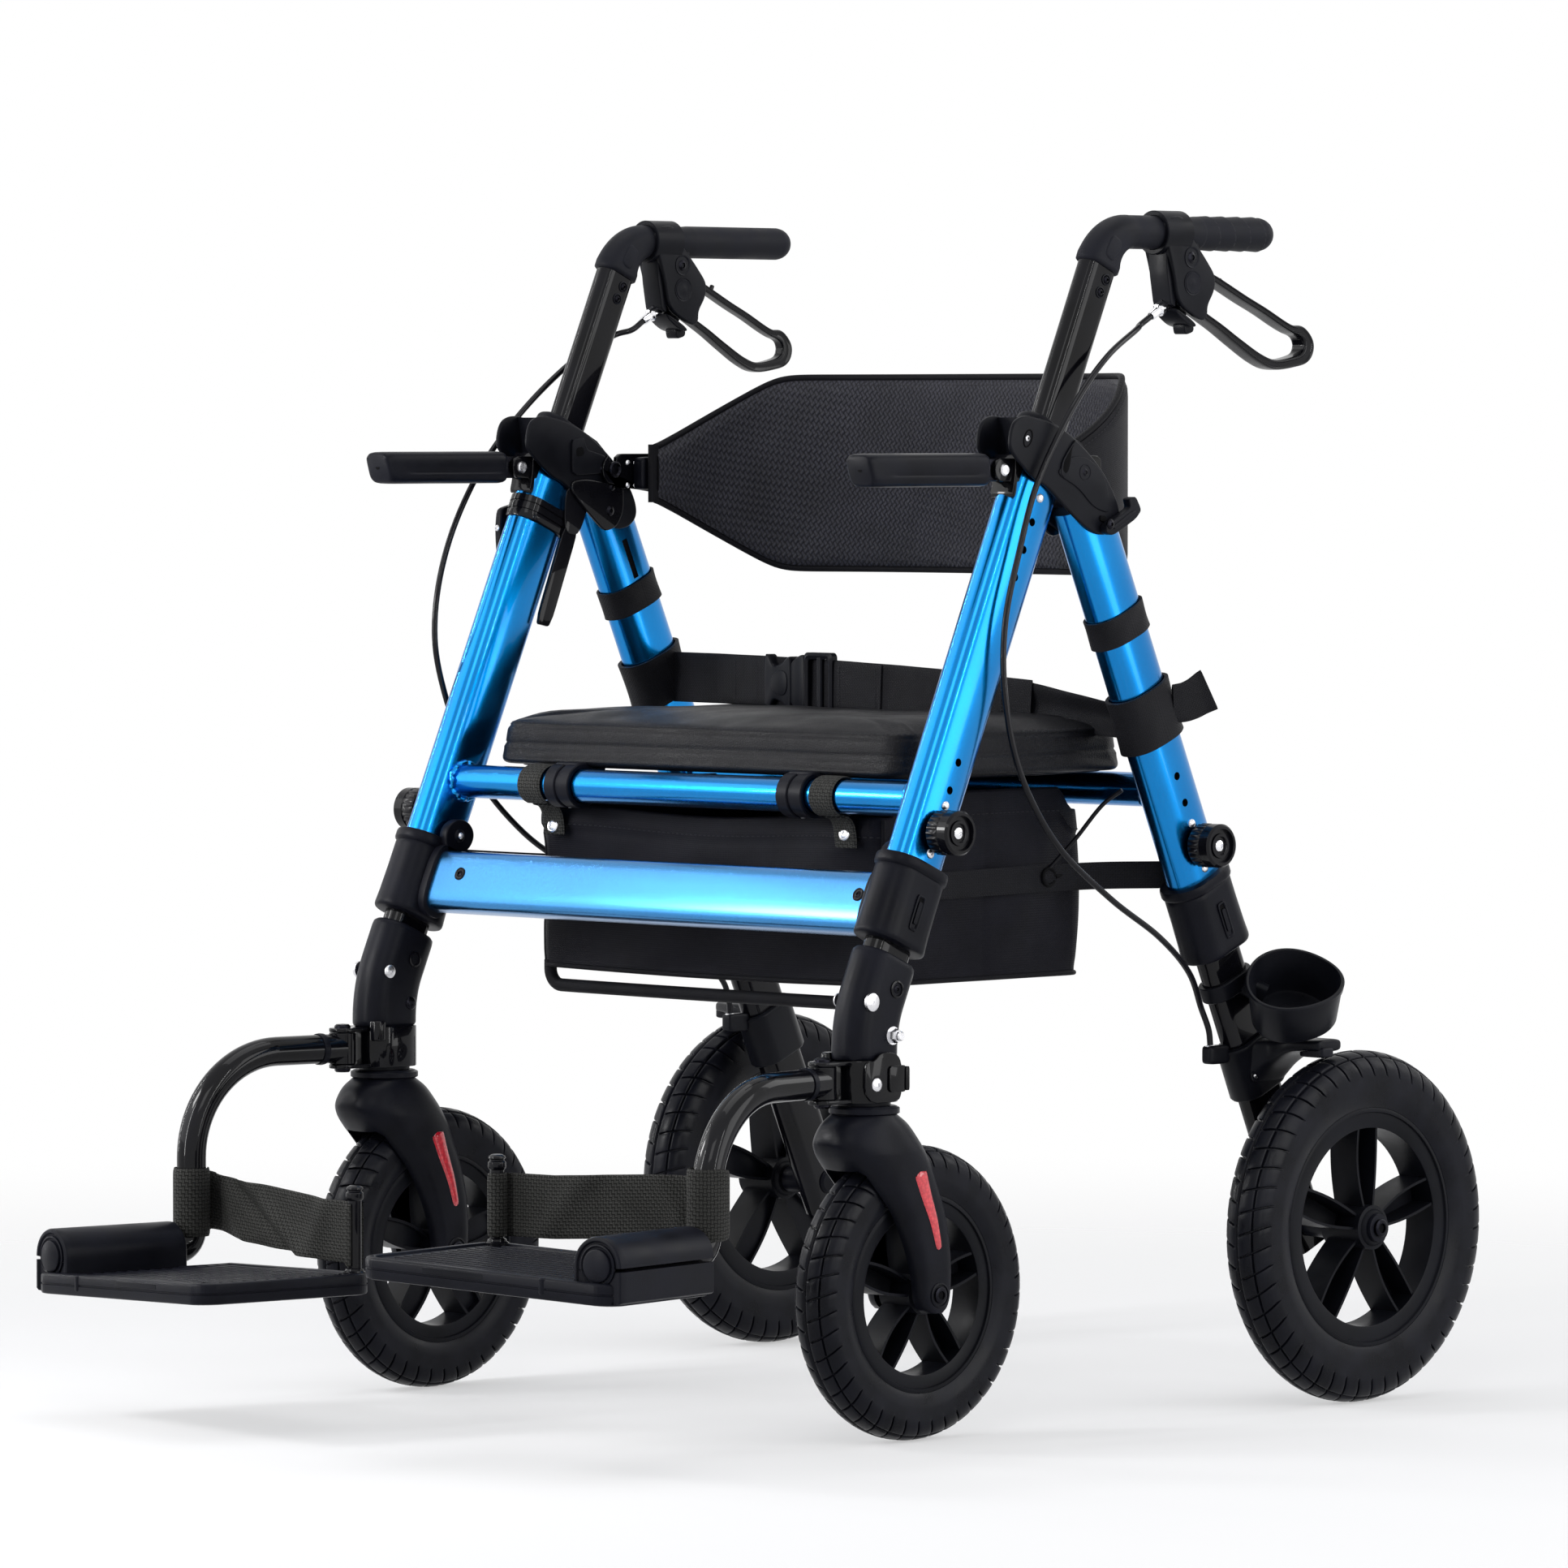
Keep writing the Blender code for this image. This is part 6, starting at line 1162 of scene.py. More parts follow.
def makeForks():
    # the fork is a column of superellipses that leans back to the axle; the wheel's space is cut out
    w, x, head = wheels["front"], caster["x"], caster["forkHalf"]
    axle = np.array([x, w["y"], w["z"]])
    # height, middle, depth, share of the width, roundness
    levels = smoothLine([(0.2352, -0.1298, 0.044, 0.76, 2.1), (0.2278, -0.1298, 0.066, 0.86, 2.2), (0.217, -0.1282,
        0.08, 0.95, 2.4), (0.208, -0.124, 0.082, 1, 2.6), (0.199, -0.118, 0.0785, 1, 2.8), (0.1877, -0.1105, 0.069,
        1, 3.1), (0.1659, -0.0972, 0.055, 1, 3.5), (0.1415, -0.0886, 0.0448, 1, 4), (0.1204, -0.0848, 0.0374, 1,
        4.4), (0.1045, -0.0846, 0.033, 1, 4.6), (0.0965, -0.0845, 0.0266, 0.995, 4.2), (0.0925, -0.0845, 0.0152,
        0.98, 4)], 7)
    column = layers(x, [(z, middle, squareSection(depth, 2 * head * min(width, 1), power, 72))
                        for z, middle, depth, width, power in levels])
    half, space = w["hubHalf"] + 0.0008, w["radius"] + 0.0085
    side = [(half - 0.0035, space), (half, space - 0.006), (half, 0)]
    parts = [carved(surface(column), [turned([(-a, b) for a, b in side[::-1]] + side, axle, across, 96)]),
        turned(pairs(233.2, 0, 233.2, 22.6, 235.2, 22.6, 235.6, 24.4, 236.2, 25.2, 239.6, 25.2, 240.2, 24.6, 240.4,
        23.6, 240.9, 23.2, 241.2, 22.2, 241.2, 8, 260.6, 8, 260.6, 0), (x, caster["y"], 0), upward, 56),
        turned([(-half, 0), (-half, 0.0052), (half, 0.0052), (half, 0)], axle, across, 28, 2)]
    for out in (across, -across):
        spot = axle + out * head
        parts += [turned(pairs(-1, 0, -1, 9.2, 0.6, 9, 1, 7.8, 0.2, 7.4, 0.2, 0), spot, out, 36, 1),
                  socketHead(spot + out * 0.0001, out, 0.0058, 0.0018, 2, 3)]
    # the reflector follows the blade: a tapering drop set in a shallow frame
    line = smoothLine(pairs(-104.5, 194.5, -98.5, 178, -90.5, 158, -84.8, 137), 9)
    s = np.linspace(0, 1, len(line))
    ends = np.sqrt(np.clip(1 - ((s - 0.06) / 0.06) ** 2 * (s < 0.06), 0, 1)) * np.sqrt(
        np.clip(1 - ((s - 0.93) / 0.07) ** 2 * (s > 0.93), 0, 1))
    wide = (0.0122 * (1 - s) + 0.0056 * s) * np.maximum(ends, 0.02)
    tangent = unit(np.gradient(line, axis=0))
    normal = np.stack([-tangent[:, 1], tangent[:, 0]], -1)

    def skin(outX, grow):
        cross = np.linspace(-1, 1, 9)
        middle = line[:, None] + normal[:, None] * (cross[None, :, None] * (wide + grow)[:, None, None] / 2)
        bulge = outX * (1 - 0.55 * cross[None] ** 4) * np.clip(ends * 1.4, 0, 1)[:, None]
        return np.concatenate([(head - 0.0006 + bulge)[..., None], middle], -1)
    drop = [surface(np.concatenate([skin(out, grow), skin(0, grow)[:, ::-1]], 1), tone=tone)
            for out, grow, tone in ((0.0016, 0, 4), (0.001, 0.0022, 1))]
    bothSides("caster_fork_arms", parts + moved(drop, (x, 0, 0)) + moved(mirrored(drop), (x, 0, 0)),
              "nylon nylonSmooth darkSteel pit reflector", "caster", "moulded_black", "caster_fork", 40)


makeForks()
print("casters made")


# handles, grips, brakes

handle = {"cornerY": 0.12075, "cornerZ": 0.862, "bend": 0.034, "bottom": 0.56, "gripEnd": 0.294,
          "tube": (0.032, 0.018), "gripTube": 0.0095, "grip": 0.0123, }


def handleBend(steps=16):
    corner = np.array([sideX, handle["cornerY"], handle["cornerZ"]])
    turn = pi / 2 - legLean
    start = corner - frontAxis * handle["bend"] * tan(turn / 2)
    side = np.array([0, cos(legLean), -sin(legLean)])
    centre = start + side * handle["bend"]
    t = np.linspace(0, turn, steps + 1)[:, None]
    return centre - side * handle["bend"] * np.cos(t) + frontAxis * handle["bend"] * np.sin(t)


def halfStep(section):
    # turned by half a step, so that its points face those of an oval
    angle = pi / len(section)
    return section @ np.array([[cos(angle), sin(angle)], [-sin(angle), cos(angle)]])


def mixedSections(share, oval, radius, count=48):
    # an oval that turns into a circle as share goes from 0 to 1
    share = share[:, None, None]
    return ovalSection(*oval, count)[None] * (1 - share) + halfStep(roundSection(radius, count))[None] * share


def makeHandleTubes():
    bend, x = handleBend(), sideX
    low = legPath(onFront, np.linspace(handle["bottom"], bend[0][2] - 0.004, 10))
    path = np.vstack([low, bend, spots(x, [0.2, 0.24, 0.2789], handle["cornerZ"])])
    share = np.concatenate([np.zeros(len(low)), np.linspace(0, 1, len(bend)), np.ones(3)])
    parts = [carry(path, mixedSections(share, handle["tube"], handle["gripTube"]))]
    for z, ahead in ((0.8286, -0.004), (0.8186, -0.002)):
        for hand in (1, -1):
            spot = onFront(z, x + hand * 0.009, ahead)
            parts += [turned(pairs(-1, 0, -1, 4.4, 0.6, 4.2, 0.8, 3.4, 0, 3, 0, 0), spot, across * hand, 28, 1),
                      domeHead(spot, across * hand, 0.0028, 0.0016, 2, 0.001)]
    bothSides("handle_post", parts, "glossTube nylon darkSteel", "handle", "gloss_black", "handle_tube")


makeHandleTubes()


def gripParts(side):
    # one rubber skin from the tube over the elbow to the rounded end: its radius steps at the edges of
    # the elbow cover, and on the wrapped grip each turn of tape thins towards the next in a slant
    bend, x, z = handleBend(22), sideX, handle["cornerZ"]
    clampStart = cable["clampY"] + brakeShift(side)
    first = legPath(onFront, bend[0][2] - np.array([0.006, 0.0048, 0.003]))
    elbowEnd, gripFrom = clampStart - 0.0035, clampStart + 0.03
    y = np.concatenate([np.linspace(bend[-1][1] + 0.002, elbowEnd - 0.0035, 6),
                        elbowEnd + np.array([-0.003, -0.0024, -0.0004, 0, 0.0006]),
                        np.linspace(elbowEnd + 0.002, gripFrom + 0.001, 4),
                        np.linspace(gripFrom + 0.0018, handle["gripEnd"] - 0.0123, 90)])
    path = np.vstack([first, bend, spots(x, y, z)])
    share = np.concatenate([np.zeros(3), np.linspace(0, 1, len(bend)) ** 0.8, np.ones(len(y))])
    outer = mixedSections(share, (0.037, 0.023), handle["grip"], 56)
    y = path[:, 1]
    grow = np.zeros(len(path))
    grow[:2] = -0.0018, -0.0001
    grow[(np.arange(len(path)) > 2) & (y > elbowEnd - 0.0032) & (y < elbowEnd + 0.0001)] = 0.0005
    grow[(y > elbowEnd + 0.0003) & (y < gripFrom)] = -0.0008
    radial = unit(outer)
    sections = outer + radial * grow[:, None, None]
    if side == "left":
        turns = ((y[:, None] - gripFrom) / 0.0165 + 0.45 * np.sin(circle(56)[None]) * 0.35) % 1.0
        tape = np.where((y > gripFrom + 0.002)[:, None], 0.0009 * turns - 0.0003, 0.0)
        sections = sections + radial * tape[..., None]
    t = np.linspace(0.12, 1.0, 9)[:, None] * pi / 2
    dome = path[-1] + np.array([0, 1, 0]) * (0.0123 * np.sin(t))
    domeSections = halfStep(roundSection(1.0, 56))[None] * (handle["grip"] * np.cos(t))[:, None] * 0.985
    parts = [carry(np.vstack([path, dome]), np.concatenate([sections, domeSections]))]
    # the raised oblong on both faces of the elbow
    spot, slant = onFront(0.8498, x), unit(frontAxis + np.array([0, 0.2, 0]))
    for hand in (1, -1):
        rows = []
        for size, out in ((1.0, 0.01), (1.0, 0.0128), (0.92, 0.0132), (0.84, 0.0134)):
            s = squareSection(0.029 * size, 0.0125 * size, 3.4, 40)
            rows.append(spot + s[:, 1:] * np.cross(across, slant) + s[:, :1] * slant * 0.62 + across * hand
                * (out - 0.0012))
        parts.append(surface(np.stack(rows)))
    return parts


def makeGrips():
    bothSides("grip_rubber", gripParts, "grip", "handle", "grip_rubber", "hand_grip", 50)


makeGrips()

brake = {"pivot": (0.197, 0.822), "cheekIn": 0.008, "cheekOut": 0.0125, "leverHalf": 0.0075,
         "lever": {"left": (0.015, 1.0), "right": (0.01, 0.9)}}     # width, share of the length


def brakeCase(side):
    # two cheeks and the wall between them, hung from a clamp ring on the grip
    (y, z), top, x, cheek = brake["pivot"], handle["cornerZ"], sideX, brake["cheekOut"]
    case = rounded(pairs(168, 868.2, 173.1, 872.9, 186.9, 874.5, 194.8, 867.2, 197.5, 859.3, 211.2, 845.4, 222.8, 832,
                         223.2, 824.5, 221.4, 818.6, 215, 809.2, 214.7, 801, 208.7, 797.2, 183.6, 810.1, 178.4, 834.5,
                         169.7, 860), share=0.2)
    wall = pairs(173.5, 858, 175, 832, 179, 810, 184, 808, 184, 830.5, 192.5, 836, 209.5, 836, 208.5, 858)
    # clamp ring, closed round the grip: place along it and radius
    ring = pairs(169, 15.4, 169.6, 16.1, 196.4, 16.1, 197, 15.4, 197, 12.8, 169, 12.8)
    angle = circle(56)
    # a lower lip and the tab under the case
    lip = pairs(-16, -13.5, 6.5, -25, 7.5, -29, -2, -27, -14, -18.5) + [y, z]
    tab = pairs(-1, -26, 9.5, -23.5, 10.5, -32, 1, -34.5) + [y, z]
    parts = [plate(case, x + brake["cheekIn"], x + cheek + 0.0002, 0.0014), plate(case, x - cheek - 0.0002, x
        - brake["cheekIn"], 0.0014), pressed(wall, x - 0.009, x + 0.009, 0.0006, 1, 0.1),
        surface(spots(x + ring[:, 1:] * np.cos(angle), ring[:, :1], top + ring[:, 1:] * np.sin(angle)),
        loopRows=True, caps=False), pressed(lip, x - 0.011, x + 0.011, 0.001), pressed(tab, x - 0.006, x + 0.006,
        0.001, 2, 0.18)]
    for out in (across, -across):
        face = np.array([x, 0, 0]) + out * (cheek + 0.0002)
        for spot, radius, head in (((0, 0.1838, 0.8649), 0.0056, 0.003), ((0, 0.1973, 0.8441), 0.008, 0.0048)):
            parts += [turned([(-0.001, 0), (-0.001, radius), (0.0006, radius - 0.0003), (0.0002, radius - 0.0014),
                              (-0.0004, radius - 0.0018), (-0.0004, 0)], face + spot, out, 36, 1),
                      domeHead(face + spot - out * 0.0006, out, head, 0.0016, 2, head * 0.42)]
        # the round cap is bare: a shallow dish inside two rims
        parts.append(turned(pairs(-1, 0, -1, 9.2, 0.5, 9, 0.2, 8, 0.6, 7.4, 0.2, 4, 0.7, 2.2, 0.7, 0),
                            face + [0, 0.1982, 0.8254], out, 44, 3))
    root, tip, out = ferrule()
    step = np.linalg.norm(tip - root)
    parts += [turned(pairs(-3, 0, -3, 5.2, 3, 5.2, 3.4, 4.6, 3.4, 0), root, out, 6, 2),
              turned([*pairs(3, 0, 3, 4.6, 4.2, 5, 9.2, 5, 9.8, 4.4, 10.4, 3.6), (step - 0.001, 0.0034),
                      (step, 0.0028), (step, 0)], root, out, 32, 4),
              turned([(0.001 - cheek, 0), (0.001 - cheek, 0.003), (cheek - 0.001, 0.003), (cheek - 0.001, 0)],
                     (x, y, z), across, 24, 2)]
    return moved(parts, (0, brakeShift(side), 0))


def leverParts(side):
    # a band bent into a loop: both rails start inside the case and the band thickens round the tip
    (y, z), x, h = brake["pivot"], sideX, brake["leverHalf"]
    width, shorter = brake["lever"][side]
    line = smoothLine(pairs(203, 833, 215, 833.5, 228.3, 829.4, 242.2, 823.6, 263.2, 814.4, 284.3, 805.8, 303.8, 797,
        314.4, 793, 324, 791.2, 330, 786.8, 332.8, 780, 329.2, 772.8, 319, 769, 296.8, 766.4, 279.2, 771, 256.3,
        782.4, 237.1, 792.8, 221.4, 800.5, 206, 808), 9)
    line[:, 0] = y + (line[:, 0] - y) * shorter
    share = np.linspace(0, 1, len(line))
    thick = 0.0052 + 0.0058 * bell(share, 0.56, 0.09) + 0.002 * bell(share, 0.44, 0.04) + 0.0022 * bell(share, 0.72,
        0.12)
    # the outer faces are dished, so that a rail reads as a channel with two thin lips
    flat = squareSection(1.0, 1.0, 4.6, 40)
    flat[:, 1] *= 1 - 0.22 * bell(flat[:, 0], 0, 0.26, 4)
    section = flat[None] * np.stack([thick, np.full(len(line), width)], -1)[:, None]
    arm = pairs(190, 827, 200, 840, 220, 834.5, 223, 825, 215, 806, 204, 804, 193, 813)
    # the last part is the stop screw on the upper rail
    return moved([carry(spots(x, *line.T), section), pressed(arm, x - h + 0.001, x + h - 0.001, 0.0008),
        turned(pairs(-3.5, 0, -3.5, 1.8, 3, 1.8, 3.4, 1.2, 3.4, 0), (x, 0.2402, 0.8262), (0, 0.38, 0.92), 16, 1)],
        (0, brakeShift(side), 0))


def makeBrakes():
    bothSides("brake_case", brakeCase, "nylonSmooth nylon darkSteel nylon chrome", "handle", "moulded_black",
              "brake_housing", 34)
    bothSides("brake_arm", leverParts, "glossNylon", "brake_lever", "gloss_plastic", "brake_lever", 34)


makeBrakes()
print("handles and brakes made")


# upper brackets, armrests and backrest clips

def recessed(centre, axis, radius, tones=(0, 1), stretch=1.0, along=upward):
    # a low lip round a dished pocket, with the head of a screw in it
    lip = [(-0.001, 0), (-0.001, radius), (0.0006, radius * 0.96), (0.0006, radius * 0.86), (-0.0004, radius * 0.76),
           (-0.0004, 0)]
    points, faces, uv, tone = turned(lip, centre, axis, 36, tones[0])
    points = points + ((points - centre) @ along)[:, None] * along * (stretch - 1)
    return [(points, faces, uv, tone),
            domeHead(np.array(centre) - axis * 0.0006, axis, radius * 0.58, 0.0014, tones[1], radius * 0.24)]


joint = {"half": 0.0177, "cheek": 0.0034, "sleeve": (0.057, 0.0354), "top": 0.731, "pin": (0.00317, 0.69)}


def bracketParts(side):
    x, half, cheek = sideX, joint["half"], joint["cheek"]
    (y, z), pin = chair["foldPivot"], np.array(joint["pin"])
    # sleeve: the oval shell, its top edge rolled over
    steps = pairs(698.5, -2.2, 699, -0.4, 700, 0, 727, 0, 729, -0.3, 730.2, -1, 731, -2.4)
    parts = [carry(legPath(onFront, steps[:, 0]), np.stack([
        squareSection(joint["sleeve"][0] + 2 * g, joint["sleeve"][1] + 2 * g, 2.7, 64) for _, g in steps]))]
    # the sleeve's mouth is cut slanting down towards the back
    shell = parts[0][0]
    shell[:, 2] -= 0.3 * np.clip(shell[:, 1] - 0.006, 0, None) * ramp(shell[:, 2], 0.7, 0.027)
    if side == "right":  # the ringed collar below the sleeve
        rings = pairs(644, -1.6, 644.4, -0.4, 645, 0, 649.4, 0, 649.7, -0.9, 650.4, -0.9, 650.7, 0, 654.8, 0, 655.1,
            -0.9, 655.8, -0.9, 656.1, 0, 660.4, 0, 661, -1.2, 661.4, -3)
        parts.append(carry(legPath(onFront, rings[:, 0]), np.stack([
            ovalSection(0.051 + 2 * g, 0.0312 + 2 * g, 56) for _, g in rings]), tone=4))
    outline = rounded(pairs(4, 724, 14, 729, 26.9, 728, 46, 723.5, 65.1, 715, 91.8, 695.5, 106, 679, 115, 664, 116.5,
        652, 108, 644, 94.7, 642, 76.8, 649.7, 56, 665, 38.5, 679, 26.7, 682.4, 3.6, 701, 0, 709), 3)
    web = np.vstack([pairs(-76, 72.5, -62, 72, -45, 67.5, -20, 54.5, -4.5, 40.5) + [y, z],
                     arcLine((y, z), 0.0288, 98, 165, 14), pairs(-50, 18, -70, 32) + [y, z]])
    parts += [plate(web, x - 0.015, x + 0.015), plate(outline, x + half - cheek, x + half, 0.0014),
              plate(outline, x - half, x - half + cheek, 0.0014)]

    def raised(points, hand, high, tone=0, edge=0.0006, smooth=2, share=0.2):
        face = x + hand * half
        return pressed(points, *sorted((face - hand * 0.001, face + hand * high)), edge, smooth, share, tone=tone)

    # outer face: a leaf-shaped pad, a teardrop pocket inside a thin rim and a small slot beside the pin; the pocket,
    # the slot and the lip of the oval screw pocket at the front are in the near-black pit finish: painted shade
    drop = pairs(66.8, 710, 64, 706, 62.5, 696, 60, 688, 56.5, 685.5, 53, 688.5, 54.5, 696, 61, 704)
    leaf = pairs(48.7, 686.8, 56, 695, 65, 699.5, 77.8, 699.5, 91.9, 692.2, 101.3, 680.1, 104.9, 657.6, 87.3, 662.5,
                 70.9, 677.1)
    away = drop - drop.mean(0)
    parts += [raised(leaf, 1, 0.0009), raised(drop.mean(0) + away * 1.16, 1, 0.0014, 0, 0.0004),
              raised(drop.mean(0) + away * 0.86, 1, 0.0015, 3, 0.0001),
              raised(pairs(93.5, 653, 99.8, 652, 100.2, 656, 94, 657.2), 1, 0.0012, 3, 0.0002),
              recessed((x + half + 0.0006, 0.078, 0.688), across, 0.0062, (0, 2)),
              recessed((x + half, 0.019, 0.7125), across, 0.0042, (3, 1), 1.7, frontAxis)]
    # inner face: the gloss cover of the fold pin, a ribbed block above it and five screws; a small square on the block
    # is in the near-black pit finish, painted shade
    cover = pairs(46.1, 679.5, 61.6, 681.1, 79, 678.6, 99.9, 679.2, 100.6, 656.5, 92.9, 644, 80.7, 640.8, 68.5, 650.5,
                  46, 670.7)
    block = pairs(46.1, 710.8, 58.2, 712.5, 61.7, 703.2, 77.3, 699.4, 86, 695.6, 84.2, 685.6, 46.1, 683.2)
    parts += [raised(cover, -1, 0.0018, 4, 0.001), raised(block, -1, 0.0022, 0, 0.0008, share=0.12),
              raised(pairs(50, 704.5, 57, 705.5, 58.5, 699, 50, 697.5), -1, 0.0023, 3, 0.0001, 1)]
    for spot, radius in (((0.0773, 0.6886), 0.0026), ((0.0964, 0.6893), 0.0022), ((0.0964, 0.6846), 0.0022),
                         ((0.0877, 0.6745), 0.003), ((0.0859, 0.6566), 0.004)):
        parts.append(domeHead((x - half - 0.0016, *spot), -across, radius, 0.0013, 2, radius * 0.42))
    # armrest ears, their lip and pin, and the backrest's pin on the inner face
    ear = np.vstack([arcLine(pin, 0.0088, 110, 250, 14), pairs(24, -8.5, 30, 8) + pin])
    lip = pairs(6, -19, 10.5, -20, 12.5, -6, 14, 11, 11, 11, 9, -8) + pin
    parts += [plate(ear, x + 0.0058, x + 0.0093, tone=4), plate(ear, x - 0.0093, x - 0.0058, tone=4), pressed(lip, x
        - 0.011, x + 0.011, tone=4), turned(pairs(-11.2, 0, -11.2, 3.4, -10.4, 4.4, -9.2, 4.6, -9.2, 3, 9.2, 3, 9.2,
        4.6, 10.4, 4.4, 11.2, 3.4, 11.2, 0), (x, *pin), across, 28, 1), turned(pairs(-2, 5, 4.6, 5, 4.6, 6.4, 5.8,
        6.2, 6.4, 5, 5, 3.8, 5, 0), (x - half, 0.088, 0.688), -across, 36, 2)]
    if side == "left":
        return parts
    # release tongue at the front of the leg, the flat bar that hangs behind it, and a flat clip on the
    # outer face whose front edge stands out past the leg
    clip = pairs(8, 660, 29, 664, 26, 618, 9, 614, 4, 618, 2, 642, 3.5, 657)
    return parts + [pressed(pairs(56, 644, 42, 648, 12, 572, 26, 569), x - 0.0166, x - 0.0136, 0.0005, 2, 0.12,
        tone=4), pressed(pairs(69, 670, 42, 678, 40, 640, 56, 638), x - 0.0172, x - 0.013, 0.0005, 2, 0.2, tone=4),
        pressed(clip, x + 0.0138, x + 0.02, 0.0014, 2, 0.2), domeHead((x + 0.0172, 0.0025, 0.644), (0, -1, 0.1),
        0.0024, 0.0012, 1, 0.001)]


bothSides("bracket_shell", bracketParts, "nylonSmooth steel darkSteel pit glossNylon", "front_frame",
          "moulded_black", "upper_bracket", 34)

armrest = {"start": 0.0165, "length": 0.138, "width": 0.026, "height": 0.024, "slant": 0.0035, "groove": 0.0012}


def armrestParts():
    # superellipse bars: a groove follows both sides, the front end leans back at its foot
    a, (y, z), x = armrest, joint["pin"], sideX
    d = np.concatenate([[0, 0.0006, 0.0022, 0.005], np.linspace(0.012, 0.104, 22), [0.112, 0.117, 0.1196, 0.121,
        0.1214]])
    scale = np.concatenate([[0.86, 0.92, 0.97, 1.0], np.ones(22), [1.0, 0.985, 0.95, 0.88, 0.8]])
    section = squareSection(a["height"], a["width"], 4.2, 120)
    notch = a["groove"] * bell(section[:, 0], -0.003, 0.0009) * (np.abs(section[:, 1]) > 0.009)
    offset = section[None] * scale[:, None, None]
    offset[..., 1] -= np.sign(section[None, :, 1]) * notch * (ramp(d, 0.006, 0.004) * ramp(d, 0.104, -0.006))[:, None]
    back = a["slant"] * ramp(d, 0.1 - a["start"], 0.03)[:, None] * (-offset[..., 0] / 0.012)
    d = d + a["start"]
    rows = spots(x + offset[..., 1], y - d[:, None] + np.maximum(back, -0.002), z + offset[..., 0])
    lug = np.vstack([arcLine((y, z), 0.008, 100, -100, 16), pairs(-22, -8, -22, 8) + [y, z]])
    # the small disc at the front end is in the near-black pit finish: painted shade of a hole
    return [surface(rows), turned(pairs(-6, 0, -6, 2.1, 0.3, 2.1, 0.3, 0), (x + 0.0005, y - d[-1] + 0.0002, z
        + 0.0008), (0, -1, 0), 24, 1), plate(lug, x - 0.0055, x + 0.0055, 0.0008, tone=2)]


bothSides("armrest_pad", armrestParts(), "nylon pit darkSteel", "armrest",
          "moulded_black", "armrest", 40)


def clipParts():
    # pressed plate beside the bracket with slots and rivets, and the block that holds the band's end
    y, z = 0.088, 0.685
    tail = rounded(pairs(2, -15, 46, -15, 46, 15, 2, 15) + [y, z], share=0.1)[2:-2]
    parts = [plate(np.vstack([arcLine((y, z + 0.003), 0.012, 120, 240, 14), tail]), 0.23, 0.2338, tone=1),
             softBlock((0.2249, y + 0.032, z), (0.0122, 0.025, 0.025), 7)]
    for a, b in pairs(14, 8, 22, 8, 14, -9, 22, -9):
        parts += [domeHead((0.2302, y + a, z + b), -across, 0.0022, 0.001, 2, 0.0008, 20),
                  domeHead((0.2336, y + a, z + b), across, 0.0022, 0.0006, 2, 0.0008, 20)]
    return parts


bothSides("backrest_clip_plate", clipParts(), "nylon glossTube steel",
          "backrest", "moulded_black", "backrest_clip", 34)

latch = {"low": 0.2701, "high": 0.278}


def latchParts():
    (y, z), high = chair["foldPivot"], latch["high"]
    hook = pairs(93.6, 649.7, 110, 657.6, 119.4, 662.4, 117.1, 669, 125, 670.5, 131, 660.4, 125.2, 654.3, 110, 646.4,
                 100.6, 642.4, 93.6, 644.1)
    rib = pairs(101, 646, 111, 650, 123, 656.8, 124.5, 660, 120, 660, 110, 654.5, 100, 649.5)
    return [pressed(hook, latch["low"], high - 0.0008, 0.001, 2, 0.16), pressed(rib, high - 0.0016, high, 0.0007),
            domeHead((high - 0.0006, y + 0.001, z - 0.0045), across, 0.0038, 0.0014, 1, 0.0013)]


dress("fold_latch_hook", latchParts(), "nylonSmooth darkSteel", "fold_latch",
      ("fold_latch",), "moulded_black")
print("brackets and armrests made")


# footrests

foot = {
    "pinY": -0.17147, "toe": radians(8), "lift": {"left": 0.016, "right": -0.015}, "reach": 0.134,
    "bend": 0.075, "hangerZ": 0.259, "spigotBend": 0.014, "z": 0.132, "tube": 0.0108,
    "barrelStart": 0.151, "barrelEnd": 0.256, "barrel": 0.021, "flat": 0.025, "plateWidth": 0.21,
    "plateRear": 0.112, "plateFront": 0.262, "thick": 0.013, "rise": radians(2), "notch": 0.021,
    "post": (-0.196, 0.122), "strapHeight": 0.045, "strapThick": 0.002,
}


def footSpot(points, lift=0.0):
    # from (sideways, forward, up) on the footrest to the object's frame, with the toe-out turn
    p = np.array(points, float)
    c, s = cos(foot["toe"]), sin(foot["toe"])
    a, f = p[..., 0], -p[..., 1]
    return np.stack([sideX + a * c - f * s, foot["pinY"] + a * s + f * c, p[..., 2] + lift], -1)


def onFoot(parts, lift):
    return [(footSpot(points, lift), faces, uv, tone) for points, faces, uv, tone in flatParts(parts)]


def hangerParts(side):
    # in the footrest's own directions; the lift only moves the lower part
    f, r, top = foot, foot["reach"], foot["hangerZ"]
    bend, low = f["bend"], f["spigotBend"]
    under = np.vstack([arcLine((r + low, f["z"] + low), low, 180, 270, 10), [(0.16, f["z"]), (0.238, f["z"])]])
    line = np.vstack([[(0.002, top), (0.02, top)], arcLine((r - bend, top - bend), bend, 90, 0, 22),
                      under + [0, f["lift"][side]]])
    return [carry(footSpot(spots(0, *line.T)), roundSection(f["tube"]), side=(cos(f["toe"]), sin(f["toe"]), 0)),
        turned(pairs(-11.7, 4.2, -11.7, 9.4, -11.1, 10, 11.1, 10, 11.7, 9.4, 11.7, 4.2), footSpot((0, 0, top)),
        upward, caps=False), turned(pairs(0, 10.6, 0, 11.6, 2.4, 11.9, 4.8, 11.6, 4.8, 10.6),
        footSpot((0, 0.0225, top)), footSpot((0, -1, 0)) - footSpot((0, 0, 0)), 36, 1, caps=False)]


def deckLevel(a):
    return foot["z"] - foot["flat"] + 0.0005 - (a - foot["barrel"]) * tan(foot["rise"])


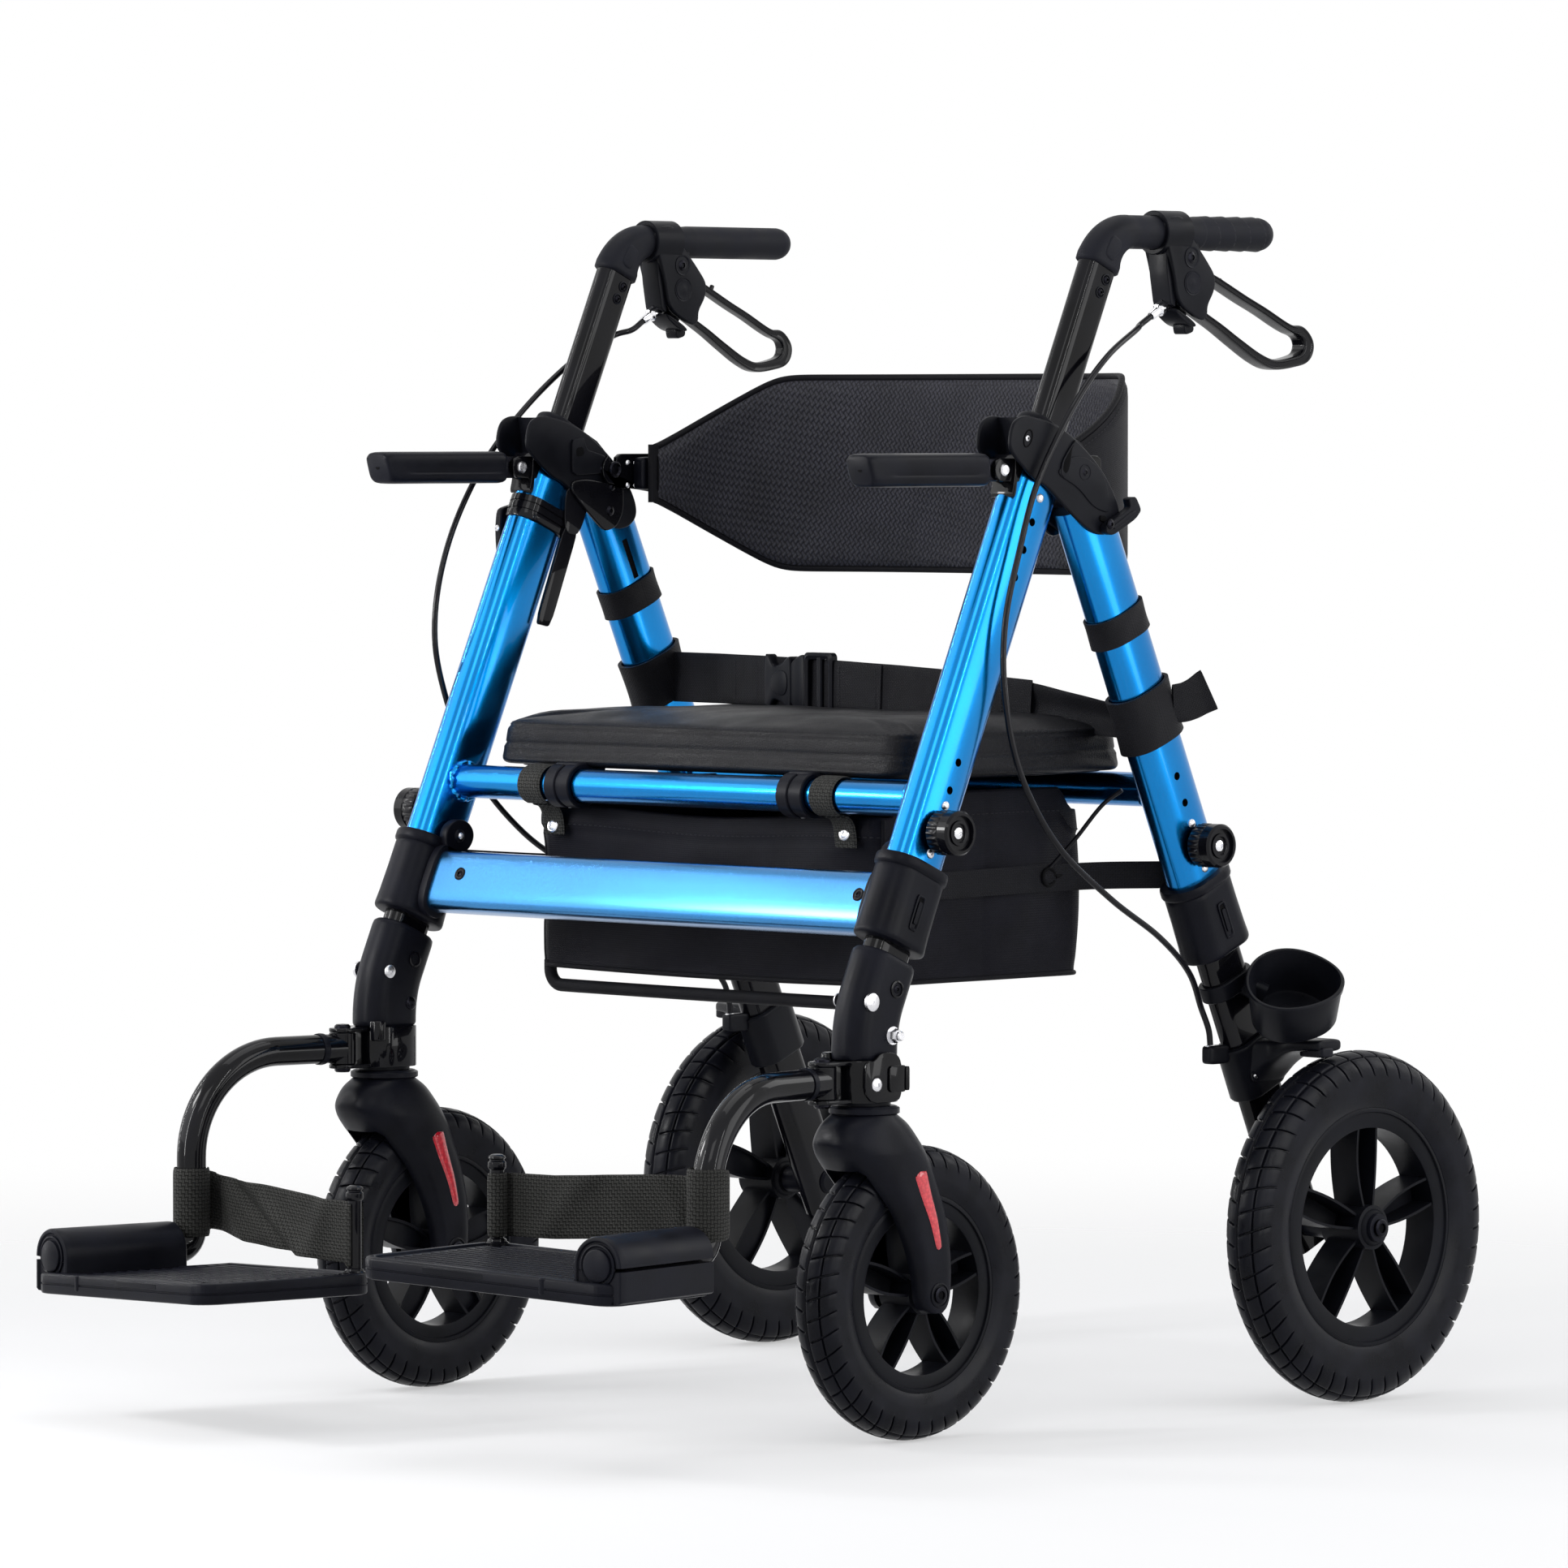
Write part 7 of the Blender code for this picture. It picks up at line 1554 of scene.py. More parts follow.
def footplateParts(side):
    f, t = foot, foot["thick"]
    inner, outer, front, rear = -f["plateWidth"], f["barrel"] * 0.8, f["plateFront"], f["plateRear"]
    start, end = f["barrelStart"], f["barrelEnd"]
    outline = np.vstack([[(outer, start + 0.003)], arcLine((outer - 0.018, front - 0.018), 0.018, 0, 90, 10),
                         arcLine((inner + 0.018, front - 0.018), 0.018, 90, 180, 10),
                         arcLine((inner + 0.018, rear + 0.018), 0.018, 180, 270, 10),
                         [(-f["notch"], rear), (-f["notch"], start + 0.003)]])
    # closer points along the straight sides, so that the slab's tilt and its rim stay even
    steps = np.linspace(0, 1, 6, endpoint=False)[:, None]
    outline = np.concatenate([a + (b - a) * steps for a, b in zip(outline, np.roll(outline, -1, 0))])
    # inset and height of each level, the upper ones counted from the deck
    parts = [slab(outline, np.vstack([pairs(3, -2.5, 0.8, -1.9, 0, -0.5, 0, 4.4, 0.8, 4.8, 0.8, 5.6, 0, 6), pairs(
        0, -2.2, 0.7, -0.8, 2.2, 0, 6, 0, 6.8, -0.4, 7.4, -1.6, 8.4, -1.8) + [0, t]]))]
    # ribs run along the long side of the tread
    for b in np.linspace(rear + 0.016, front - 0.016, 13):
        low = inner + (0.016 if rear + 0.02 < b < front - 0.02 else 0.024)
        line = spots(np.linspace(low, -f["barrel"] - 0.006, 6), b, t - 0.0016)
        parts.append(carry(line, squareSection(0.0022, 0.0036, 3, 16), side=(0, 1, 0)))
    # the block at the front corner beside the barrel, and a pad of finer grain set in the front edge
    block = rounded([(-0.046, front - 0.012), (-0.022, front - 0.012), (-0.02, end), (-0.036, end - 0.001),
                     (-0.042, front + 0.0015), (-0.048, front)])
    pad = rounded(pairs(-150, -4, -95, -4, -96, 0.6, -149, 0.6) + [0, front], 1, 0.1)
    parts += [slab(block, [(0.001, 0.0008), (0, 0.0022), (0, t - 0.0012), (0.001, t - 0.0002)]),
              slab(pad, [(0.0004, 0.0068), (0, 0.0072), (0, t - 0.0024), (0.0004, t - 0.002)], tone=1)]
    parts = [(p + spots(0, 0, deckLevel(p[:, 0])), faces, uv, tone) for p, faces, uv, tone in parts]
    # barrel: half round above, straight below, its front end rolled to a rim round a ringed cap
    r, flat = f["barrel"], f["flat"]

    def section(grow):
        wide = r + grow
        lowHalf = rounded([(-wide, 0), (-wide, -flat), (wide, -flat), (wide, 0)], 3, 0.06)
        return np.vstack([arcLine((0, 0), wide, 0, 180, 30), lowHalf[lowHalf[:, 1] < -0.002]])
    stations = [*(pairs(0, -1.4, 1.2, -0.2, 3, 0) + [start, 0]), *(pairs(
        -8, 0, -7.4, 0, -6.8, 0, -2, 0, -0.6, -0.5, 0, -1.6, 0, -3, -1.4, -4) + [end, 0])]
    a, b = f["post"]
    post = pairs(-4, 0, -4, 8.5, 0.6, 8.5, 1.6, 7, 3, 6.6, 3.6, 5, 52, 5, 53, 6.2, 54.5, 6.6, 57.5, 6.4, 58.6, 5.2,
        59.5, 5.2, 60.4, 6.2, 61.8, 5.8, 63, 3.6, 63, 0)
    # the small dome under the barrel is in the near-black pit finish: painted shade
    parts += [surface(np.stack([spots(section(g)[:, 0], s, f["z"] + section(g)[:, 1]) for s, g in stations])),
              turned(pairs(0, 0, 0, 15, 1.2, 14.8, 1.6, 13.8, 0.6, 12.8, 0.6, 11.8, 2.4, 11.4, 3, 10.2, 3.1, 0),
                     (0, end - 0.0014, f["z"] + 0.0008), (0, 1, 0), 56),
              turned(post, (a, b, deckLevel(a) + t), upward, 32, 2),
              domeHead((0.006, start + 0.03, f["z"] - flat), -upward, 0.003, 0.0008, 3, 0.0012, 20)]
    return onFoot(parts, f["lift"][side])


def strapSection(width, thick, count=16):
    # two flat faces whose ends round off: half the thickness times the root of 1 - v to the 12th
    v = np.linspace(-1, 1, count)
    half = thick / 2 * np.sqrt(np.clip(1 - v ** 12, 0.02, 1))
    return np.concatenate([np.column_stack([half, v * width / 2]),
                           np.column_stack([-half[::-1], v[::-1] * width / 2])])


def heelStrapParts(side):
    # one ribbon from round the post to round the hanger; creases are slanting waves across it
    f, thick, height = foot, foot["strapThick"], foot["strapHeight"]
    wrap = (f["tube"] + 0.0006) / cos(radians(12)) + thick / 2
    first = arcLine(f["post"], 0.0053 / cos(radians(16)) + thick / 2, 120, -90, 16)
    # the loop closes under the ribbon that comes in, one thickness closer to the tube
    spin = np.radians(np.linspace(-100, 258, 44))
    near = ramp(spin, spin[0] + 2.2, -2.2)
    radius = wrap + thick * 1.4 * near
    last = np.column_stack([radius * np.cos(spin), f["reach"] - 0.004 * near + radius * np.sin(spin)])
    line = np.vstack([first, first[-1] + (last[0] - first[-1]) * np.linspace(0, 1, 46)[1:-1, None], last])
    s = np.linspace(0, 1, len(line))
    free = ramp(s, 0.14, 0.12) * ramp(s, 0.6, -0.08)
    # it climbs a little from the post to the tube
    path = spots(*line.T, f["z"] + height / 2 + 0.001 + 0.011 * ramp(s, 0.14, 0.42) - 0.003 * free)
    section = np.repeat(strapSection(height, thick, 22)[None], len(path), 0)
    s = s[:, None]
    section[..., 0] += free[:, None] * sum(depth * bell(s, middle + slope * section[..., 1] / height, wide)
                                           for depth, middle, slope, wide in creases[side])
    # the ribbon gathers where it meets the tube and flares towards the post
    section[..., 1] *= 1 - 0.1 * bell(s, 0.56, 0.05) + 0.12 * ramp(s, 0.62, 0.08)
    return onFoot([carry(path, section, side=upward, uvScale=1)], f["lift"][side])


creases = {
    "left": [(0.0034, 0.5, -0.05, 0.02), (-0.0026, 0.55, 0.06, 0.018), (0.002, 0.28, 0.1, 0.03),
             (-0.0014, 0.4, -0.08, 0.024)],
    "right": [(0.0048, 0.4, 0.16, 0.026), (-0.0042, 0.46, 0.18, 0.02), (0.0028, 0.28, -0.05, 0.028),
              (0.0026, 0.54, 0.1, 0.02)],
}


def makeFootrests():
    bothSides("hanger_tube", hangerParts, "glossTube nylon", "footrest", "gloss_black", "footrest_hanger", 36)
    bothSides("footplate_deck", footplateParts, "nylon nylonSmooth glossNylon pit", "footplate", "moulded_black",
              "footplate", 36)
    for side, sign in sides:
        strap = heelStrapParts(side)
        piece = makeMesh(f"heel_strap_band_{side}", strap if sign > 0 else mirrored(strap), "webbing", 36)
        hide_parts(f"heel_strap_{side}")
        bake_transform(piece)


makeFootrests()
print("footrests made")


# brake collars and cup holder

collar = {"top": 0.27, "bottom": 0.232, "wall": 0.005, "shoeY": 0.29105, "armZ": 0.26615}


def rearRing(levels):
    # an oval shell round the lower tube, closed through its bore: height and growth of each station
    return surface(roundRear([z for z, _ in levels], [ovalSection(lower["depth"] + 2 * g, lower["width"] + 2 * g, 56)
        for _, g in levels]), loopRows=True, caps=False)


def collarParts():
    x, shoeY, armZ, wall = sideX, collar["shoeY"], collar["armZ"], collar["wall"]
    high, low = collar["top"], collar["bottom"]
    side, z, lug = x + lower["width"] / 2 + wall, (high + low) / 2, cableLug()
    y = float(rearY(z))
    # the arm: place, depth and height of each station
    stations = smoothLine([(side - 0.006, y + 0.004, z + 0.002, 0.04, 0.034), (side - 0.001, y + 0.005, z + 0.003,
        0.04, 0.033), (side + 0.008, y + 0.01, z + 0.009, 0.036, 0.022), (0.29, shoeY - 0.003, armZ - 0.001, 0.036,
        0.012), (0.304, shoeY - 0.001, armZ, 0.031, 0.0095), (0.315, shoeY + 0.001, armZ, 0.026, 0.009),
        (0.317, shoeY + 0.001, armZ, 0.02, 0.006)], 6)
    rows = [(a, b, c, squareSection(d, e, 3.6)) for a, b, c, d, e in stations]
    return [rearRing([(high, 0.0003), (high + 0.0004, 0.003), (high - 0.0004, 0.0048), (high - 0.0016, 0.0052),
        (high - 0.003, wall - 0.0004), (low + 0.0016, wall - 0.0002), (low, wall - 0.0014), (low, 0.0003)]),
        surface(np.stack([spots(a, b + s[:, 0], c + s[:, 1]) for a, b, c, s in rows])),
        softBlock((wheels["rear"]["x"], shoeY - 0.003, armZ - 0.005), (0.024, 0.014, 0.0078), 6, tone=1),
        softBlock((x, lug[1] + 0.006, lug[2] - 0.007), (0.01, 0.022, 0.014), 6), turned(pairs(-6, 0, -6, 4, 0, 4,
        0.6, 3.4, 0.6, 0), lug - [0, 0, 0.0006], upward, 28, 2), recessed((side, y - 0.01, z - 0.008), across, 0.005,
        (0, 2))]


bothSides("brake_cuff", collarParts(), "nylonSmooth tyre steel", "rear_leg",
          "moulded_black", "brake_collar", 40)

cup = {"centre": (0.3015, 0.2679, 0.303), "axis": (0.4, -0.42, 0.82), "radius": 0.036, "height": 0.042,
    "wall": 0.0028, "taper": 0.86, "lobe": 0.045, "clampLow": 0.3055, "clampHigh": 0.3165, "clampThick": 0.0035,
    "lowRim": 0.005}


def cupParts():
    # radius = (scale) times 1 + lobe x cosine of three times the angle
    centre, axis, angle = np.array(cup["centre"]), unit(np.array(cup["axis"])), circle(72, -pi / 2)
    second = unit(across - axis * (axis @ across))
    first = np.cross(second, axis)
    shape = (1 + cup["lobe"] * np.cos(3 * angle))[:, None] * (
        np.cos(angle)[:, None] * first + np.sin(angle)[:, None] * second)
    half, r, wall, thick = cup["height"] / 2, cup["radius"], cup["wall"], cup["clampThick"]
    top, floor = half - cup["lowRim"], wall - half

    def size(height):
        return r * (cup["taper"] + (1 - cup["taper"]) * (height + half) / (2 * half))
    foot, inner = size(-half), size(-half) - wall
    profile = [(-half, foot - 0.003), (-half + 0.0008, foot - 0.0008), (-half + 0.003, size(-half + 0.003)),
        (top - 0.006, size(top - 0.006)), (top - 0.0055, size(top) + 0.0002), (top - 0.001, r + 0.0003),
        (top, r - 0.0006), (top, r - wall + 0.0006), (top - 0.001, r - wall), (floor + 0.004, inner + 0.0006),
        (floor + 0.001, inner - 0.001), (floor, inner - 0.004), *(pairs(0, 13, 0.8, 12, 0.8, 3.5, -0.4, 3)
        + [floor, 0])]
    low, high = cup["clampLow"], cup["clampHigh"]
    z = (low + high) / 2
    root, end = onRear(z) + [lower["width"] / 2 + thick - 0.002, 0.004, 0], centre - [r * 0.86, 0, 0]
    path = smoothLine([root, root * 0.5 + end * 0.5 + [0, 0, 0.0005], end + [0.004, 0, 0]], 4)
    return [surface(np.stack([centre + axis * h + shape * s for h, s in profile])),
            domeHead(centre + axis * (floor + 0.0004), axis, 0.0028, 0.0012, 1, 0.001),
            rearRing([(high, 0.0003), (high, thick - 0.0006), (high - 0.0006, thick), (low + 0.0006, thick),
                      (low, thick - 0.0006), (low, 0.0003)]),
            carry(path, squareSection(0.015, 0.0105, 3.5, 32), side=(0, 1, 0))]


dress("cup_shell", cupParts(), "nylonSmooth steel", "rear_leg_left", ("cup_holder",), "moulded_black", 34)
print("collars and cup made")


# seat: board, clips and cushion

def roundedPlan(halfX, lowY, highY, corner, steps=8, straight=6):
    # a rectangle with round corners, its straight sides split into even steps
    arcs = [arcLine(spot, corner, start, start + 90, steps) for spot, start in (
        ((halfX - corner, highY - corner), 0), ((corner - halfX, highY - corner), 90),
        ((corner - halfX, lowY + corner), 180), ((halfX - corner, lowY + corner), 270))]
    t = np.linspace(0, 1, straight + 1, endpoint=False)[1:, None]
    return np.vstack([np.vstack([arc, arc[-1] + (after[0] - arc[-1]) * t])
                      for arc, after in zip(arcs, arcs[1:] + arcs[:1])])


seat = {
    "clipX": 0.122, "boardZ": 0.4678, 
    "halfX": 0.2165, "frontY": -0.0565, "rearY": 0.187, "corner": 0.026, "bottom": 0.4742, "top": 0.5052,
    "skirt": 0.0048,          # how far the rim of the cover hangs round the board
    "swell": 0.0045,          # how far the cover may be pushed out by its filling
    "seams": (0.4972, 0.4845), "stitchPitch": 0.0044, "stitchLength": 0.0031,
}


def ringBand(centre, outer, inner, width, edge=0.0008):
    # a tube along x with rolled edges
    half = [(width / 2 - edge, outer), (width / 2, outer - edge), (width / 2, inner + edge), (width / 2 - edge,
        inner)]
    return ringRound(centre, [(-a, b) for a, b in half[::-1]] + half)


def seatBoardParts():
    (y, z), board = chair["seatBar"], seat["boardZ"]
    parts = [slab(roundedPlan(0.2, -0.046, 0.18, 0.018), pairs(1.6, 467.8, 0.4, 468.2, 0, 469.4, 0, 472.6, 0.8, 473.6,
                                                               2.4, 473.8))]
    for x in (seat["clipX"], -seat["clipX"]):
        # two jaws side by side with a slit between them, and the foot that carries them
        parts += [ringBand((x - 0.0072, y, z), 0.0165, 0.0128, 0.0116), ringBand((x + 0.0072, y, z), 0.0165, 0.0128,
            0.0116), ringBand((x, y, z), 0.0152, 0.0129, 0.006), softBlock((x, y + 0.011, board + 0.0006),
            (0.025, 0.03, 0.006), 7), softBlock((x, y + 0.004, z + 0.0148), (0.025, 0.018, 0.005), 6),
            domeHead((x - 0.004, y + 0.004, z - 0.0158), (0, 0.1, -1), 0.0026, 0.0014, 1)]
    # stiffening ribs under the board
    return parts + [softBlock((x, 0.085, board - 0.0002), (0.006, 0.17, 0.005), 8) for x in (-0.165, -0.055, 0.055,
        0.165)]


dress("seat_board", seatBoardParts(), "nylon steel", "seat", ("seat_base",),
      "moulded_black")


def stitchRow(path, outward, pitch, length, radius, lift=0.0002, tone=0, closed=True):
    # small rounded stitches laid end to end along a line
    line, way = (np.vstack([rows, rows[:1]]) if closed else np.array(rows) for rows in (path, outward))
    steps = running(line)
    count = max(int(steps[-1] / pitch), 1)
    places = (np.arange(count) + 0.5) * steps[-1] / count

    def along(values, shift):
        return np.stack([np.interp(np.clip(places + shift, 0, steps[-1]), steps, values[:, k]) for k in range(3)], -1)
    middle, out = along(line, 0), unit(along(way, 0))
    forward = unit(along(line, length / 2) - along(line, -length / 2))
    beside = np.cross(out, forward)
    # stitch, station, point round it, coordinate
    middle, out, forward, beside = (rows[:, None, None] for rows in (middle, out, forward, beside))
    station = np.array([-1, -0.8, 0, 0.8, 1.0])[None, :, None, None]
    girth = radius * np.array([0.05, 0.75, 1, 0.75, 0.05])[None, :, None, None]
    angle = circle(6)[None, None, :, None]
    points = (middle + out * lift + forward * (station * length / 2)
              + (np.cos(angle) * beside + np.sin(angle) * out * 0.8) * girth)
    faces = (gridQuads(5, 6, False, True)[None] + (np.arange(count) * 30)[:, None, None]).reshape(-1, 4).tolist()
    ends = [[base + shift + k for k in range(6)] for shift in (0, 24) for base in range(0, count * 30, 30)]
    return points.reshape(-1, 3), faces + ends, None, tone


def settle(piece, held, pressure, cap, frames=20):
    # blows the cover up from inside for a few frames, then keeps that shape, no point moving more than cap
    before = vertexArray(piece.data)
    group = piece.vertex_groups.new(name="held")
    group.add(held, 1.0, "REPLACE")
    cloth = piece.modifiers.new("cloth", "CLOTH")
    cloth.settings.use_pressure = True
    cloth.settings.uniform_pressure_force = pressure
    cloth.settings.effector_weights.gravity = 0
    cloth.settings.vertex_group_mass = "held"
    scene = bpy.context.scene
    for step in range(1, frames + 1):
        scene.frame_set(step)
    applyModifiers(piece)
    scene.frame_set(1)
    piece.vertex_groups.clear()
    move = vertexArray(piece.data) - before
    size = np.linalg.norm(move, axis=1, keepdims=True)
    setVertices(piece.data, before + move / np.maximum(size, 1e-9) * cap * np.tanh(size / cap))


def makeCushion():
    # rows go from the middle of the underside out to the edge, up the side and in to the middle of the top
    s, base = seat, seat["bottom"]
    height, middle = s["top"] - base, np.array([0, (s["frontY"] + s["rearY"]) / 2])
    # side wall: how far in, and height as a share
    side = np.array([(0.01, -0.17), (0.004, -0.165), (0.0012, -0.12), (0, -0.04), (0, 0.05), (0, 0.2), (0, 0.3),
        (0, 0.4), (0, 0.5), (0, 0.6), (0.0004, 0.7), (0.0012, 0.79), (0.003, 0.87), (0.0058, 0.93), (0.0095, 0.97)])
    shrink = (0.05, 0.3, 0.55, 0.78, 0.93)
    board = roundedPlan(0.203, -0.049, 0.183, 0.018, 9, 9)
    rows = [(middle + (board - middle) * k, base) for k in shrink]
    rows += [(board, base - 0.0006), (board, base - s["skirt"] * 0.8)]
    rows += [(roundedPlan(s["halfX"] - inset, s["frontY"] + inset, s["rearY"] - inset, s["corner"] - inset * 0.8, 9,
        9), base + share * height) for inset, share in side]
    last = rows[-1][0]
    rows += [(middle + (last - middle) * k, base + height * 0.985 + 0.0022 * (1 - k ** 2))
             for k in (0.94, 0.86, 0.76, 0.65, 0.53, 0.41, 0.29, 0.17, 0.06)]
    grid = np.stack([spots(*ring.T, z) for ring, z in rows])
    piece = makeMesh("seat_cover", [surface(grid)], "leather", 60)
    z = vertexArray(piece.data)[:, 2]
    settle(piece, np.nonzero(z < base + 0.0008)[0].tolist(), 4.0, s["swell"])
    found = vertexArray(piece.data)
    grid = found.reshape(grid.shape) if len(found) == grid.shape[0] * grid.shape[1] else grid
    smooth = piece.modifiers.new("smooth", "SUBSURF")
    smooth.levels = smooth.render_levels = 1
    applyModifiers(piece)
    points = vertexArray(piece.data)
    # seams: narrow valleys round the side, the upper one between two raised welts
    away = points[:, :2] - middle
    out = signedPower(away / [s["halfX"], s["rearY"] - middle[1]], 7)
    onSide = ramp(np.linalg.norm(out, axis=1), 0.35, 0.3)
    upper, lowerSeam = s["seams"]
    z = points[:, 2]
    sunk = (0.0011 * bell(z, upper, 0.0009) - 0.0005 * bell(z, upper + 0.0024, 0.0014)
            + 0.001 * bell(z, lowerSeam, 0.001) - 0.0004 * bell(z, lowerSeam - 0.003, 0.0018))
    points[:, :2] -= unit(out) * (sunk * onSide)[:, None]
    # slow hollows of a cover that has been sat on, and fine creases that run in from the corners
    x, y = points[:, 0], points[:, 1]
    points[:, 2] += ramp(z, s["top"] - 0.006, 0.005) * (
        0.0005 * np.sin(x * 31 + 1.2) * np.sin(y * 37 + 0.5) + 0.00025 * np.sin(x * 83 + y * 61))
    setVertices(piece.data, points)
    piece.data.shade_smooth()
    place(piece, "seat", ("seat_cushion",), "leather_black")
    # threads of the two seams
    threads = []
    wall = grid[len(shrink) + 2:len(shrink) + 2 + len(side)]
    cols = np.arange(wall.shape[1])
    for level in (upper + 0.003, lowerSeam - 0.003):
        share = np.array([np.interp(level, wall[:, c, 2], np.arange(len(side))) for c in cols])
        low = np.minimum(share.astype(int), len(side) - 2)
        part = (share - low)[:, None]
        path = wall[low, cols] * (1 - part) + wall[low + 1, cols] * part
        outward = np.cross(unit(np.roll(path, -1, 0) - np.roll(path, 1, 0)), upward)
        outward *= np.sign((outward[:, :2] * (path[:, :2] - middle)).sum(1))[:, None]
        threads.append(stitchRow(path, outward, s["stitchPitch"], s["stitchLength"], 0.00038, 0.0001))
    dress("seat_stitching", threads, "thread", "seat", (), "leather_black", 60)


makeCushion()
print("seat made")


# backrest band

band = {"halfWidth": 0.2135, "startY": 0.114, "deep": 0.15, "middleZ": 0.685, "endHeight": 0.045,
        "height": 0.151, "flare": 0.215, "thick": 0.0092, "bead": 0.0025}


def makeBand():
    # plan: x = half width times cosine to the 0.70, y = start + depth times sine to the 0.86
    b, middleZ = band, band["middleZ"]
    t = np.linspace(0, 1, 1201)
    plan = np.column_stack([b["halfWidth"] * signedPower(np.cos(pi * t), 0.7), b["startY"] + b["deep"]
        * np.sin(pi * t) ** 0.86])
    length = running(plan)
    even = np.linspace(0, length[-1], 161)
    line = np.column_stack([np.interp(even, length, plan[:, k]) for k in (0, 1)])
    soft = np.convolve(np.pad(line, ((4, 4), (0, 0)), "edge")[:, 0], np.ones(9) / 9, "valid")
    line[6:-6, 0] = soft[6:-6]
    tangent = unit(np.gradient(line, axis=0))
    inward = np.column_stack([tangent[:, 1], -tangent[:, 0]])
    inward *= np.sign(((np.array([0, b["startY"]]) - line) * inward).sum(1) + 1e-9)[:, None]
    share = np.interp(even, length, t)
    # a straight flare with a rounded shoulder
    rise = np.clip(1 - np.log1p(np.exp((1 - np.minimum(share, 1 - share) / b["flare"]) * 16)) / 16, 0, 1)
    half = (b["endHeight"] + (b["height"] - b["endHeight"]) * rise) / 2
    # section, from the middle of the inner face round the top bead, the outer face and the lower bead
    flat, around = np.linspace(-1, 1, 27), np.radians(np.linspace(-50, 230, 13))
    r, thick = b["bead"], b["thick"] / 2

    def faceDepth(w, h):
        edge = h - np.abs(w)
        return thick * (1 - 0.46 * bell(edge, 2.4 * r, 0.003)) * np.clip(0.45 + edge / 0.012, 0, 1)
    rows, heights = [], []
    for at, (x, y), (inX, inY), h in zip(even, line, inward, half):
        w = flat * (h - 1.9 * r)
        # the inner face pillows a little between its edges and creases where the band bends most
        swell = 0.0012 * np.sin(at * 21 + 1) * np.cos(w * 26) + 0.0006 * np.sin(at * 67 + w * 40)
        calm = np.clip((h - 1.9 * r - np.abs(w)) / 0.012, 0, 1)
        bead = np.column_stack([r * np.cos(around), h - r + r * np.sin(around)])
        deep, high = np.vstack([np.column_stack([faceDepth(w, h) + swell * calm * 0.8, w]), bead,
                                np.column_stack([-faceDepth(w, h)[::-1], w[::-1]]), -bead]).T
        rows.append(spots(x + inX * deep, y + inY * deep, middleZ + high))
        heights.append(np.append(high, high[0]))
    uv = np.stack(np.broadcast_arrays(even[:, None], np.array(heights)), -1)
    tones = np.full(rows[0].shape[0], 1)
    tones[:len(flat) - 1] = 0
    tones[len(flat) + 13:2 * len(flat) + 12] = 2
    parts = [surface(np.stack(rows), uv=uv)[:3] + (np.tile(tones, len(rows) - 1).tolist() + [1, 1],)]
    # the ends are bound by a roll of the same tape
    for k, hand in ((0, -1), (-1, 1)):
        end = spots(*line[k], middleZ + np.linspace(-half[k] + 0.0005, half[k] - 0.0005, 12))
        end[:, :2] += tangent[k] * hand * 0.001
        parts.append(carry(end, roundSection(0.004, 20), side=(*inward[k], 0), tone=1, uvScale=1))
    piece = makeMesh("backrest_pad", parts, "meshCloth piping backCloth", 50)
    place(piece, "backrest", ("backrest_band",), "mesh_fabric")
    # stitches that hold the tape, on both faces
    threads = []
    for hand in (1, -1):
        for level in (1, -1):
            w = level * (half - 0.0086)
            path = spots(*(line + inward * (faceDepth(w, half) * hand)[:, None]).T, middleZ + w)[4:-4]
            threads.append(stitchRow(path, spots(*(inward * hand).T, 0)[4:-4], 0.0046, 0.0032, 0.00034, 0.0001,
                                     closed=False))
    dress("backrest_stitching", threads, "thread", "backrest", (), "mesh_fabric", 60)


makeBand()
print("backrest made")


# storage bag

bag = {"halfX": 0.178, "frontY": -0.037, "rearY": 0.17, "top": 0.44, "bottom": 0.3185, "corner": 0.009,
       "wall": 0.0022, "hem": 0.016, "sag": 0.0035, "seamY": 0.07, "rodRadius": 0.004, "rodZ": 0.304,
       "loopX": 0.153, "loopWidth": 0.024, "loopWall": 0.0022}


